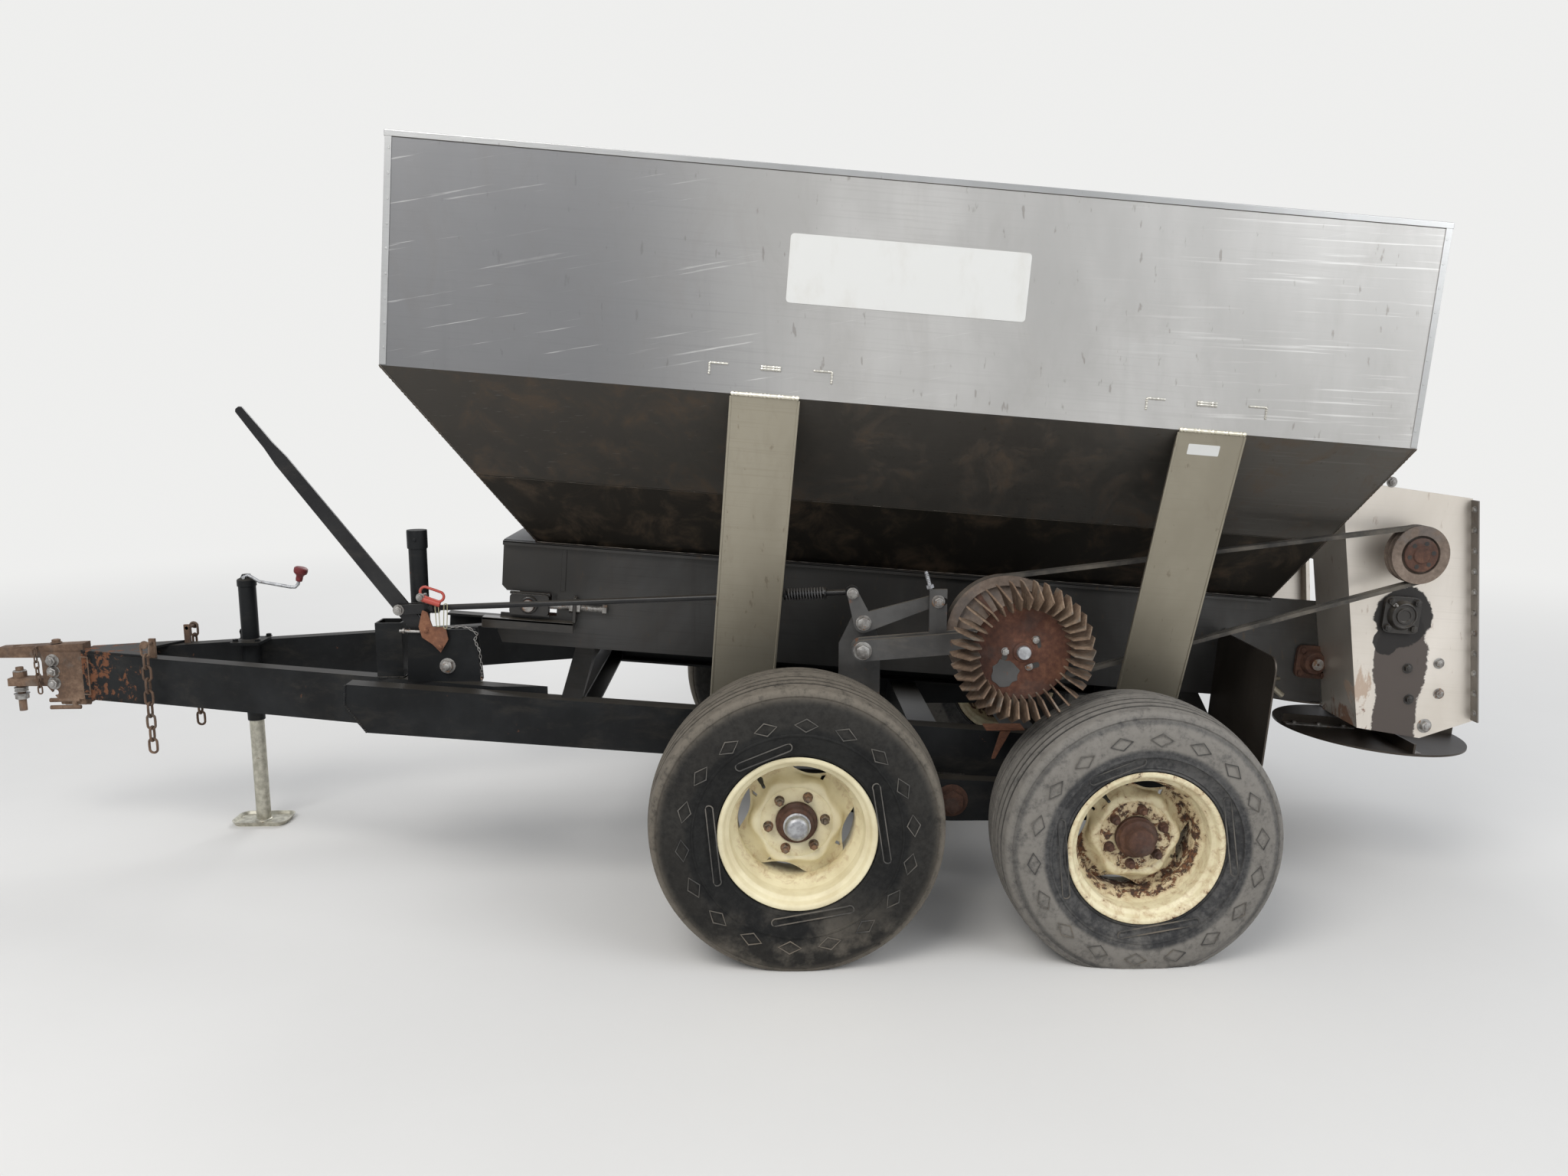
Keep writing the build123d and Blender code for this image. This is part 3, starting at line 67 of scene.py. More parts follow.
class End(Enum):
    """Which axle of the tandem."""

    FRONT = "front"
    REAR = "rear"


class Side(Enum):
    """Left or right of the machine, with the sign of its Y."""

    LEFT = 1
    RIGHT = -1


AXLES = {End.FRONT: (0.4565, 0.377), End.REAR: (-0.4565, 0.33)}
WHEEL_PLANE = 0.907


@dataclass(frozen=True)
class Layout:
    """Places the maker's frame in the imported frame."""

    shift: float = -0.7094051534
    pitch: float = math.radians(4.6)
    pivot_height: float = 0.344

    def matrix(self, stance: Stance) -> Matrix:
        """Matrix from the maker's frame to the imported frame.

        Args:
            stance: Whether the piece tips with the body.

        Returns:
            The matrix to apply to a mesh.
        """
        if stance is Stance.STANDING:
            return at(self.shift, 0.0, 0.0)
        pivot = at(0.0, 0.0, self.pivot_height)
        return at(self.shift, 0.0, 0.0) @ pivot @ about("Y", -self.pitch) @ pivot.inverted()


LAYOUT = Layout()


def at(x: float, y: float, z: float) -> Matrix:
    """Move to a point."""
    return Matrix.Translation((x, y, z))


def about(axis: str, angle: float) -> Matrix:
    """Turn about an axis, in radians."""
    return Matrix.Rotation(angle, 4, axis)


# Finishes


class Graph:
    """Short way of wiring a material's nodes."""

    def __init__(self, name: str) -> None:
        """Start a material with an empty principled shader.

        Args:
            name: Name of the material.
        """
        self.material = bpy.data.materials.new(name)
        self.material.use_nodes = True
        self.tree = self.material.node_tree
        self.shader = self.tree.nodes["Principled BSDF"]
        self.coords = self.add("TexCoord", {}).outputs["Object"]

    def feed(self, target: Socket, value: Any) -> None:
        """Link an input to a socket, or set its value.

        Args:
            target: The input.
            value: A socket, a colour without alpha, or a plain value.
        """
        if isinstance(value, Socket):
            self.tree.links.new(value, target)
        else:
            target.default_value = (*value, 1.0) if target.type == "RGBA" else value

    def add(self, kind: str, inputs: dict[str | int, Any], **settings: Any) -> bpy.types.Node:
        """Add a shader node.

        Args:
            kind: Its type, without the usual prefix.
            inputs: What is fed to each of its inputs.
            settings: Its other settings.

        Returns:
            The node.
        """
        node = self.tree.nodes.new("ShaderNode" + kind)
        for name, value in settings.items():
            setattr(node, name, value)
        for name, value in inputs.items():
            self.feed(node.inputs[name], value)
        return node

    def mapped(self, scale: Point, place: Point = (0.0, 0.0, 0.0)) -> Socket:
        """Object coordinates, stretched and then moved."""
        values = {"Vector": self.coords, "Scale": scale, "Location": place}
        return self.add("Mapping", values).outputs["Vector"]

    def noise(
        self,
        scale: float,
        detail: float,
        roughness: float,
        stretch: Point = (1.0, 1.0, 1.0),
        distortion: float = 0.0,
    ) -> Socket:
        """Noise factor over the object.

        Args:
            scale: Cells per metre.
            detail: Octaves.
            roughness: Strength of the fine octaves.
            stretch: Stretch of the pattern along each axis.
            distortion: Swirl of the pattern.

        Returns:
            The factor socket.
        """
        values = {"Scale": scale, "Detail": detail, "Roughness": roughness, "Distortion": distortion}
        return self.add("TexNoise", {"Vector": self.mapped(stretch), **values}).outputs["Fac"]

    def brushing(self, scale: float, reach: float, lean: float) -> Socket:
        """Noise drawn out into long fine lines on the upright sheets.

        Args:
            scale: Lines per metre.
            reach: How much longer than thick the lines are.
            lean: Angle of the lines, in radians.

        Returns:
            The factor socket.
        """
        lines = {"Vector": self.coords, "Rotation": (0.0, lean, 0.0), "Scale": (reach, 1.0, 1.0)}
        turned = self.add("Mapping", lines, vector_type="TEXTURE").outputs["Vector"]
        values = {"Vector": turned, "Scale": scale, "Detail": 3.0, "Roughness": 0.6}
        return self.add("TexNoise", values).outputs["Fac"]

    def ramp(self, source: Socket, stops: Sequence[tuple[float, Colour]]) -> Socket:
        """Colour ramp over a factor.

        Args:
            source: The factor.
            stops: Places and colours, lowest first.

        Returns:
            The colour socket.
        """
        node = self.add("ValToRGB", {"Fac": source})
        points = node.color_ramp.elements
        while len(points) < len(stops):
            points.new(0.5)
        for point, (place, colour) in zip(points, stops):
            point.position = place
            point.color = (*colour, 1.0)
        return node.outputs["Color"]

    def step(self, source: Socket, low: float, high: float) -> Socket:
        """Smooth mask that rises from 0 at low to 1 at high."""
        values = {"Value": source, "From Min": low, "From Max": high}
        return self.add("MapRange", values, interpolation_type="SMOOTHSTEP").outputs["Result"]

    def band(self, source: Socket, low: float, high: float, soft: float) -> Socket:
        """Mask that is 1 between two values and fades over a soft margin."""
        return self.times(self.step(source, low - soft, low), self.step(source, high + soft, high))

    def math(self, operation: str, first: Socket, second: Socket | float, clamp: bool = True) -> Socket:
        """Arithmetic on two factors, held between 0 and 1 unless clamp is off."""
        return self.add("Math", {0: first, 1: second}, operation=operation, use_clamp=clamp).outputs["Value"]

    def times(self, first: Socket, second: Socket | float) -> Socket:
        """One factor times another."""
        return self.math("MULTIPLY", first, second)

    def plus(self, first: Socket, second: Socket | float) -> Socket:
        """Sum of two factors."""
        return self.math("ADD", first, second)

    def most(self, first: Socket, second: Socket | float) -> Socket:
        """The larger of two factors."""
        return self.math("MAXIMUM", first, second)

    def mean(self, first: Socket, share: float, second: Socket, other_share: float) -> Socket:
        """Sum of two factors, each times its share."""
        return self.plus(self.times(first, share), self.times(second, other_share))

    def blend(
        self, factor: Socket, first: Socket | Colour, second: Socket | Colour, share: float = 1.0
    ) -> Socket:
        """Mix of two colours.

        Args:
            factor: How far the second covers the first.
            first: Colour under it.
            second: Colour on top.
            share: What the factor is multiplied by.

        Returns:
            The colour socket.
        """
        if share != 1.0:
            factor = self.times(factor, share)
        return self.add("Mix", {0: factor, 6: first, 7: second}, data_type="RGBA").outputs[2]

    def part(self, axis: str) -> Socket:
        """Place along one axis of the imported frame, in metres."""
        return self.add("SeparateXYZ", {"Vector": self.coords}).outputs[axis]

    def upward(self) -> Socket:
        """How far the surface faces up, from -1 to 1."""
        normal = self.add("NewGeometry", {}).outputs["Normal"]
        return self.add("SeparateXYZ", {"Vector": normal}).outputs["Z"]

    def across(self, plane: float) -> Socket:
        """Distance in metres from an upright plane on either side of the machine."""
        outer = self.math("ABSOLUTE", self.part("Y"), 0.0, clamp=False)
        return self.math("ABSOLUTE", self.math("SUBTRACT", outer, plane, clamp=False), 0.0)

    def away(self, middle: Pair, half: Pair = (1.0, 1.0), stance: Stance = Stance.STANDING) -> Socket:
        """Distance from a cross axis of the machine, in metres or in shares of an oval.

        Args:
            middle: Place and height of the axis in the maker's frame.
            half: Half length and half height of the oval.
            stance: Whether the axis tips with the body.

        Returns:
            The distance socket.
        """
        centre = LAYOUT.matrix(stance) @ Vector((middle[0], 0.0, middle[1]))
        place = (-centre.x / half[0], 0.0, -centre.z / half[1])
        return self.length(self.mapped((1.0 / half[0], 0.0, 1.0 / half[1]), place))

    def length(self, source: Socket) -> Socket:
        """Length of a vector."""
        return self.add("VectorMath", {0: source}, operation="LENGTH").outputs["Value"]

    def set(self, name: str, value: Any) -> None:
        """Feed an input of the shader."""
        self.feed(self.shader.inputs[name], value)

    def drive(self, name: str, source: Socket, low: float, high: float) -> None:
        """Drive an input of the shader by a factor between two values."""
        values = {"Value": source, "To Min": low, "To Max": high}
        self.set(name, self.add("MapRange", values).outputs["Result"])

    def bump(self, source: Socket, distance: float, strength: float) -> None:
        """Raise the surface by a factor over a distance in metres."""
        values = {"Height": source, "Distance": distance, "Strength": strength}
        self.set("Normal", self.add("Bump", values).outputs["Normal"])


@dataclass(frozen=True)
class Finish:
    """Look of a surface."""

    name: str

    @cache
    def material(self) -> bpy.types.Material:
        """Wire the material on its first use.

        Returns:
            The material.
        """
        g = Graph(self.name)
        self.wire(g)
        return g.material


@dataclass(frozen=True)
class Smear:
    """Soft patch of grease, rust, dust or painted shadow on a sheet, as seen from the side."""

    colour: Colour
    ovals: tuple[tuple[float, float, float, float], ...]
    share: float = 0.97
    fleck: float = 0.0


@dataclass(frozen=True)
class Stainless(Finish):
    """Weathered stainless sheet with fine streaks, smears and brown stains, painted shade and ground
    reflection on faces that look down, and painted shade towards the front where asked.
    """

    light: Colour
    dark: Colour
    stain: Colour = (0.105, 0.07, 0.042)
    stain_level: float = 0.62
    # colour and share of the painted shade and painted ground reflection on faces that look down
    under: Colour = (0.05, 0.042, 0.031)
    underside_shade_share: float = 0.84
    shade_ahead: float = 0.0
    roughness: Pair = (0.36, 0.58)
    smears: tuple[Smear, ...] = ()
    # colour of the painted shade towards the front
    shade: Colour = (0.145, 0.148, 0.156)
    worn: Colour = (0.84, 0.83, 0.8)
    slot: str = "stainless"

    def wire(self, g: Graph) -> None:
        """Wire the sheet.

        Args:
            g: Graph of the material.
        """
        clouds = g.noise(1.7, 5.0, 0.6, (1.0, 1.0, 0.6), 0.4)
        streaks = g.noise(26.0, 5.0, 0.6, (1.0, 1.0, 0.05))
        grain = g.noise(420.0, 2.0, 0.5, (0.04, 1.0, 1.0))
        spots = g.noise(8.0, 8.0, 0.7, (1.0, 1.0, 0.5), 0.6)
        nicks = g.noise(55.0, 3.0, 0.55, (1.0, 1.0, 0.28))
        sheet = g.blend(g.step(clouds, 0.34, 0.68), self.dark, self.light)
        sheet = g.blend(g.step(streaks, 0.5, 0.8), sheet, self.dark, 0.45)
        sheet = g.blend(g.step(g.brushing(190.0, 60.0, -0.08), 0.5, 0.72), sheet, self.dark, 0.42)
        sheet = g.blend(g.step(nicks, 0.66, 0.73), sheet, self.stain, 0.35)
        # painted shade that darkens the sheet towards the front
        if self.shade_ahead:
            ahead = g.mean(g.step(g.part("X"), -0.6, 0.5), 0.7, clouds, 0.5)
            sheet = g.blend(g.step(ahead, 0.2, 0.95), sheet, self.shade, self.shade_ahead)
            rubbed = g.step(g.brushing(110.0, 45.0, -0.05), 0.58, 0.68)
            scratched = g.step(g.brushing(120.0, 45.0, 0.16), 0.64, 0.7)
            rubbed = g.times(rubbed, g.step(g.part("X"), -0.9, -1.7))
            scratched = g.times(scratched, g.step(clouds, 0.45, 0.62))
            sheet = g.blend(g.most(rubbed, scratched), sheet, self.worn, 0.45)
        # painted shade and painted ground reflection on the faces that look down
        under = g.step(g.upward(), -0.08, -0.5)
        sheet = g.blend(under, sheet, self.under, self.underside_shade_share)
        stained = g.most(g.times(under, 0.75), 0.08)
        grime = g.times(g.step(spots, self.stain_level - 0.16, self.stain_level + 0.1), stained)
        sheet = g.blend(grime, sheet, self.stain)
        for smear in self.smears:
            away = None
            for x, z, *half in smear.ovals:
                reach = g.times(g.away((x, z), half, Stance.TIPPED), 0.6)
                away = g.math("MINIMUM", away, reach) if away else reach
            ragged = g.noise(17.0, 9.0, 0.72, distortion=0.5)
            mask = g.step(g.plus(away, g.times(ragged, 0.34)), 0.79, 0.75)
            if smear.fleck:
                mask = g.times(mask, g.step(spots, smear.fleck, smear.fleck + 0.06))
            mask = g.times(mask, smear.share)
            sheet = g.blend(mask, sheet, smear.colour)
            grime = g.most(grime, mask)
        g.set("Base Color", sheet)
        g.drive("Roughness", g.plus(g.times(clouds, 0.6), grime), *self.roughness)
        g.drive("Metallic", grime, 0.78, 0.25)
        g.bump(g.mean(grain, 0.25, clouds, 0.75), 0.0009, 0.35)


@dataclass(frozen=True)
class Rust(Finish):
    """Rusty bare steel in three tones."""

    deep: Colour
    middle: Colour
    bright: Colour
    steel: Colour = (0.16, 0.145, 0.135)
    steel_share: float = 0.35
    slot: str = "rusty_steel"

    def wire(self, g: Graph) -> None:
        """Wire the rust.

        Args:
            g: Graph of the material.
        """
        fine = g.noise(70.0, 6.0, 0.7)
        stops = [(0.32, self.deep), (0.5, self.middle), (0.68, self.bright)]
        tone = g.ramp(g.mean(g.noise(7.0, 6.0, 0.65), 0.6, fine, 0.4), stops)
        worn = g.times(g.step(g.noise(13.0, 5.0, 0.6), 0.54, 0.66), self.steel_share)
        g.set("Base Color", g.blend(worn, tone, self.steel))
        g.drive("Roughness", worn, 0.86, 0.5)
        g.drive("Metallic", worn, 0.1, 0.9)
        g.bump(g.mean(fine, 0.5, g.noise(240.0, 3.0, 0.6), 0.5), 0.0012, 0.6)


@dataclass(frozen=True)
class Paint(Finish):
    """Worn paint over steel, with dust and rust where it has broken through."""

    colour: Colour
    shade: Colour
    dust: Colour = (0.3, 0.25, 0.18)
    dust_share: float = 0.35
    rust_level: float = 0.66
    rust: Colour = (0.15, 0.065, 0.035)
    roughness: Pair = (0.42, 0.8)
    rusts_ahead: Pair | None = None
    shine: float = 0.5
    slot: str = "frame_paint"

    def wire(self, g: Graph) -> None:
        """Wire the paint.

        Args:
            g: Graph of the material.
        """
        fine = g.noise(60.0, 6.0, 0.65)
        chips = g.noise(24.0, 8.0, 0.72, distortion=0.4)
        scuffs = g.noise(11.0, 7.0, 0.7, (0.35, 1.0, 1.0), 0.3)
        coat = g.blend(g.step(g.noise(5.0, 5.0, 0.6), 0.35, 0.7), self.colour, self.shade)
        settled = g.times(g.step(g.upward(), 0.2, 0.95), 0.6)
        film = g.mean(g.step(fine, 0.5, 0.85), 0.16, g.step(scuffs, 0.5, 0.78), 0.5)
        dusty = g.times(g.plus(film, settled), self.dust_share)
        coat = g.blend(dusty, coat, self.dust)
        if self.rusts_ahead:
            chips = g.plus(chips, g.times(g.step(g.part("X"), *self.rusts_ahead), 0.17))
        rusted = g.step(chips, self.rust_level - 0.03, self.rust_level + 0.03)
        g.set("Base Color", g.blend(rusted, coat, self.rust))
        g.set("Specular IOR Level", self.shine)
        g.drive("Roughness", g.plus(dusty, rusted), *self.roughness)
        g.bump(g.math("SUBTRACT", g.times(fine, 0.35), g.times(rusted, 0.3)), 0.0005, 0.4)


@dataclass(frozen=True)
class Rubber(Finish):
    """Aged rubber with tan dirt."""

    colour: Colour
    faded: Colour
    dirt: Colour = (0.2, 0.155, 0.105)
    dirt_share: float = 0.5
    slot: str = "tyre"

    def wire(self, g: Graph) -> None:
        """Wire the rubber.

        Args:
            g: Graph of the material.
        """
        broad = g.noise(6.0, 6.0, 0.65)
        fine = g.noise(90.0, 5.0, 0.7)
        base = g.blend(g.step(broad, 0.35, 0.68), self.colour, self.faded)
        low = g.step(g.part("Z"), 0.42, 0.02)
        dirt = g.times(g.step(g.mean(broad, 0.7, fine, 0.3), 0.42, 0.64), self.dirt_share)
        dirt = g.times(dirt, g.plus(g.times(low, 0.75), 0.35))
        g.set("Base Color", g.blend(dirt, base, self.dirt))
        g.set("Specular IOR Level", 0.25)
        g.drive("Roughness", broad, 0.62, 0.92)
        g.bump(fine, 0.0006, 0.4)


@dataclass(frozen=True)
class TyreRubber(Finish):
    """Aged tyre rubber: dark walls, tan tread and shoulders, dust near the ground, and painted shade in the
    tread grooves.
    """

    end: End
    radius: float
    colour: Colour
    faded: Colour
    tan: Colour = (0.235, 0.205, 0.165)
    wall_share: float = 0.34
    tread_share: float = 0.66
    # colour of the painted shade in the tread grooves
    groove_shade: Colour = (0.01, 0.0095, 0.009)
    groove_places: tuple[float, ...] = (0.03, 0.058, 0.084)
    groove_width: float = 0.0035
    slot: str = "tyre"

    def wire(self, g: Graph) -> None:
        """Wire the tyre's rubber.

        Args:
            g: Graph of the material.
        """
        broad = g.noise(5.0, 6.0, 0.65)
        fine = g.noise(75.0, 6.0, 0.72)
        scuff = g.noise(28.0, 6.0, 0.7, distortion=0.3)
        away = g.away(AXLES[self.end])
        base = g.blend(g.step(g.mean(broad, 0.5, fine, 0.5), 0.4, 0.62), self.colour, self.faded)
        tread = g.times(g.step(away, self.radius - 0.05, self.radius - 0.012), self.tread_share)
        shoulder = g.band(away, self.radius - 0.1, self.radius - 0.048, 0.014)
        spread = g.mean(scuff, 0.6, fine, 0.4)
        dirt = g.plus(tread, g.times(shoulder, self.wall_share))
        dirt = g.times(dirt, g.step(spread, 0.22, 0.56))
        low = g.times(g.step(g.part("Z"), 0.26, 0.0), g.step(broad, 0.4, 0.62))
        dirt = g.most(dirt, g.times(low, 0.55))
        across = g.across(WHEEL_PLANE)
        # painted shade in the tread grooves
        groove_shade = g.step(across, self.groove_width, self.groove_width - 0.0015)
        for place in self.groove_places:
            line = g.band(across, place - self.groove_width, place + self.groove_width, 0.0015)
            groove_shade = g.most(groove_shade, line)
        groove_shade = g.times(groove_shade, g.step(away, self.radius - 0.036, self.radius - 0.03))
        g.set("Base Color", g.blend(groove_shade, g.blend(dirt, base, self.tan), self.groove_shade, 0.85))
        g.set("Specular IOR Level", 0.2)
        g.drive("Roughness", spread, 0.62, 0.9)
        g.bump(g.mean(fine, 0.7, scuff, 0.3), 0.001, 0.5)


@dataclass(frozen=True)
class RimPaint(Finish):
    """Cream rim paint, rusted where the disc meets the rim and round the studs."""

    end: End
    rust_level: float
    cream: Colour = (0.76, 0.69, 0.47)
    shade: Colour = (0.63, 0.55, 0.35)
    rust: Colour = (0.17, 0.075, 0.035)
    crust: Colour = (0.05, 0.03, 0.022)
    stain: Colour = (0.42, 0.27, 0.14)
    slot: str = "rim"

    def wire(self, g: Graph) -> None:
        """Wire the rim's paint.

        Args:
            g: Graph of the material.
        """
        broad = g.noise(9.0, 5.0, 0.6)
        fine = g.noise(85.0, 6.0, 0.7)
        worn = g.noise(34.0, 8.0, 0.74, distortion=0.5)
        away = g.away(AXLES[self.end])
        coat = g.blend(g.step(broad, 0.35, 0.68), self.cream, self.shade)
        weld = g.times(g.band(away, 0.14, 0.166, 0.01), 0.16)
        studs = g.times(g.band(away, 0.06, 0.092, 0.012), 0.12)
        lip = g.times(g.step(away, 0.2, 0.207), 0.05)
        worn = g.plus(worn, g.plus(weld, g.plus(studs, lip)))
        rusted = g.step(worn, self.rust_level + 0.02, self.rust_level + 0.09)
        stained = g.step(worn, self.rust_level - 0.14, self.rust_level + 0.04)
        coat = g.blend(stained, coat, self.stain, 0.5)
        tone = g.blend(g.step(fine, 0.42, 0.6), self.crust, self.rust)
        g.set("Base Color", g.blend(rusted, coat, tone))
        g.drive("Roughness", g.most(rusted, g.times(broad, 0.5)), 0.36, 0.88)
        raised = g.plus(g.times(fine, 0.25), 0.3)
        g.bump(g.math("SUBTRACT", raised, g.times(rusted, 0.3)), 0.0009, 0.6)


@dataclass(frozen=True)
class Zinc(Finish):
    """Dull plated steel with a mottled skin."""

    light: Colour = (0.52, 0.53, 0.54)
    dark: Colour = (0.3, 0.3, 0.31)
    spot: Colour = (0.2, 0.11, 0.06)
    spot_level: float = 0.66
    slot: str = "zinc"

    def wire(self, g: Graph) -> None:
        """Wire the plating.

        Args:
            g: Graph of the material.
        """
        mottle = g.noise(45.0, 4.0, 0.6)
        skin = g.blend(g.step(mottle, 0.35, 0.65), self.dark, self.light)
        rusted = g.step(g.noise(30.0, 7.0, 0.7), self.spot_level - 0.04, self.spot_level + 0.05)
        g.set("Base Color", g.blend(rusted, skin, self.spot))
        g.drive("Roughness", g.plus(mottle, rusted), 0.3, 0.7)
        g.drive("Metallic", rusted, 0.85, 0.1)
        g.bump(mottle, 0.0004, 0.3)


@dataclass(frozen=True)
class Plain(Finish):
    """Smooth plastic or sticker stock with light soiling."""

    colour: Colour
    soil: Colour
    soil_share: float = 0.25
    slot: str = "zinc"

    def wire(self, g: Graph) -> None:
        """Wire the plastic.

        Args:
            g: Graph of the material.
        """
        smear = g.noise(9.0, 6.0, 0.65, (1.0, 1.0, 0.5))
        soil = g.times(g.step(smear, 0.5, 0.72), self.soil_share)
        g.set("Base Color", g.blend(soil, self.colour, self.soil))
        g.drive("Roughness", smear, 0.3, 0.55)
        g.bump(g.noise(120.0, 3.0, 0.5), 0.0003, 0.25)


@dataclass(frozen=True)
class StudioFloor(Finish):
    """Pale floor that fades into the backdrop far from the machine."""

    near: Colour = (0.7, 0.69, 0.67)
    mottle: Colour = (0.66, 0.65, 0.63)
    far: Colour = (0.86, 0.86, 0.85)
    fade: Pair = (2.6, 9.0)

    def wire(self, g: Graph) -> None:
        """Wire the floor and its fade.

        Args:
            g: Graph of the material.
        """
        g.set("Base Color", g.blend(g.noise(1.5, 5.0, 0.6), self.near, self.mottle))
        g.set("Roughness", 0.85)
        g.bump(g.noise(60.0, 4.0, 0.6), 0.001, 0.2)
        rays = g.add("LightPath", {}).outputs
        seen = g.most(rays["Is Camera Ray"], rays["Is Glossy Ray"])
        faded = g.times(g.step(g.length(g.mapped((1.0, 1.0, 0.0))), *self.fade), seen)
        backdrop = g.add("Emission", {"Color": self.far}).outputs["Emission"]
        mix = g.add("MixShader", {0: faded, 1: g.shader.outputs["BSDF"], 2: backdrop})
        g.feed(g.tree.nodes["Material Output"].inputs["Surface"], mix.outputs["Shader"])


class Palette:
    """All finishes of the spreader."""

    # hopper walls, with painted shade towards the front
    sheet = Stainless("hopper_sheet", (0.585, 0.573, 0.55), (0.445, 0.435, 0.415), shade_ahead=0.85)
    # lapped lower sheets finished dark: painted shade and painted ground reflection
    lap_painted_shade_sheet = Stainless(
        "lap_painted_shade_sheet", (0.09, 0.082, 0.07), (0.06, 0.053, 0.044), under=(0.026, 0.022, 0.017)
    )
    # trough, bolsters and trough flanges finished dark as painted shade
    shade_sheet = Stainless("trough_painted_shade", (0.08, 0.079, 0.077), (0.046, 0.044, 0.041))
    leg_sheet = Stainless(
        "leg_sheet", (0.385, 0.352, 0.278), (0.295, 0.267, 0.206), stain_level=0.7, underside_shade_share=0.1
    )
    # splash plates and spinners finished dark: tyre dirt and painted shade
    splash_dirt_and_shade_sheet = Stainless("splash_dirt_and_shade_sheet", (0.085, 0.072, 0.06), (0.042, 0.035, 0.028), stain_level=0.56)
    housing_sheet = Stainless(
        "housing_sheet",
        (0.8, 0.745, 0.675),
        (0.66, 0.605, 0.53),
        (0.26, 0.15, 0.085),
        0.66,
        smears=(
            Smear((0.34, 0.2, 0.11), ((-1.232, 0.65, 0.032, 0.16),), 0.6, 0.5),
            Smear((0.17, 0.07, 0.035), ((-1.232, 0.612, 0.024, 0.065),), 0.8, 0.47),
            Smear((0.062, 0.048, 0.041), ((-1.334, 0.64, 0.068, 0.17), (-1.326, 0.82, 0.084, 0.16))),
            # black grease round the bearing, with the bearing's painted shadow falling forward and down
            Smear(
                (0.014, 0.012, 0.011), ((-1.312, 0.957, 0.086, 0.094), (-1.272, 0.885, 0.04, 0.045)), 0.985
            ),
        ),
    )
    # rear flanges finished dark as painted shade on their front faces
    flange_shade_sheet = Stainless("flange_shade_sheet", (0.27, 0.25, 0.23), (0.165, 0.15, 0.135), stain_level=0.6)
    bright_sheet = Stainless(
        "bright_sheet", (0.54, 0.54, 0.53), (0.44, 0.44, 0.43), stain_level=0.8, roughness=(0.26, 0.42)
    )
    weld = Stainless("weld_bead", (0.34, 0.32, 0.29), (0.2, 0.18, 0.16), stain_level=0.55)
    cream_weld = Stainless(
        "cream_weld", (0.86, 0.82, 0.7), (0.62, 0.58, 0.46), stain_level=0.75, underside_shade_share=0.2
    )
    pale_weld = Stainless(
        "pale_weld", (0.6, 0.585, 0.53), (0.44, 0.425, 0.38), stain_level=0.72, underside_shade_share=0.1
    )
    frame_paint = Paint(
        "frame_paint", (0.008, 0.0085, 0.009), (0.015, 0.016, 0.017), dust_share=0.13, rust_level=0.7,
        rusts_ahead=(1.7, 2.1), shine=0.14,
    )
    lever_paint = Paint(
        "lever_paint", (0.01, 0.01, 0.011), (0.02, 0.02, 0.02), dust_share=0.16, rust_level=0.72,
        roughness=(0.32, 0.7), shine=0.3,
    )
    link_steel = Paint(
        "link_steel", (0.082, 0.08, 0.077), (0.042, 0.04, 0.038), dust_share=0.4, rust_level=0.63,
        slot="rusty_steel",
    )
    grease = Paint(
        "greasy_casting", (0.016, 0.015, 0.014), (0.035, 0.03, 0.025), dust_share=0.22, rust_level=0.7,
        roughness=(0.28, 0.62), slot="rusty_steel",
    )
    spring = Paint("spring_steel", (0.05, 0.05, 0.052), (0.1, 0.095, 0.09), dust_share=0.3, slot="zinc")
    latch_rust = Rust(
        "latch_rust", (0.07, 0.03, 0.02), (0.185, 0.078, 0.042), (0.33, 0.165, 0.09), steel_share=0.05
    )
    hitch_rust = Rust(
        "hitch_rust", (0.045, 0.03, 0.023), (0.125, 0.076, 0.049), (0.25, 0.165, 0.11), (0.19, 0.165, 0.14),
        0.5,
    )
    wheel_rust = Rust(
        "drive_wheel_rust", (0.03, 0.014, 0.01), (0.1, 0.04, 0.024), (0.22, 0.1, 0.055), steel_share=0.12
    )
    cleat_steel = Rust(
        "cleat_steel", (0.06, 0.038, 0.026), (0.175, 0.115, 0.075), (0.36, 0.27, 0.19), (0.27, 0.25, 0.215),
        0.6,
    )
    pulley_steel = Rust(
        "pulley_steel", (0.075, 0.056, 0.042), (0.17, 0.128, 0.1), (0.3, 0.24, 0.19), steel_share=0.5
    )
    hub_rust = Rust(
        "hub_rust", (0.03, 0.017, 0.013), (0.085, 0.04, 0.026), (0.19, 0.095, 0.055), steel_share=0.15
    )
    tyres = {
        End.FRONT: TyreRubber(
            "tyre_front", End.FRONT, 0.398, (0.008, 0.008, 0.008), (0.019, 0.019, 0.018), wall_share=0.05
        ),
        End.REAR: TyreRubber(
            "tyre_rear", End.REAR, 0.38, (0.034, 0.034, 0.035), (0.088, 0.086, 0.083), (0.27, 0.25, 0.22),
            0.62,
        ),
    }
    rims = {
        End.FRONT: RimPaint("rim_cream_front", End.FRONT, 0.75),
        End.REAR: RimPaint("rim_cream_rear", End.REAR, 0.58),
    }
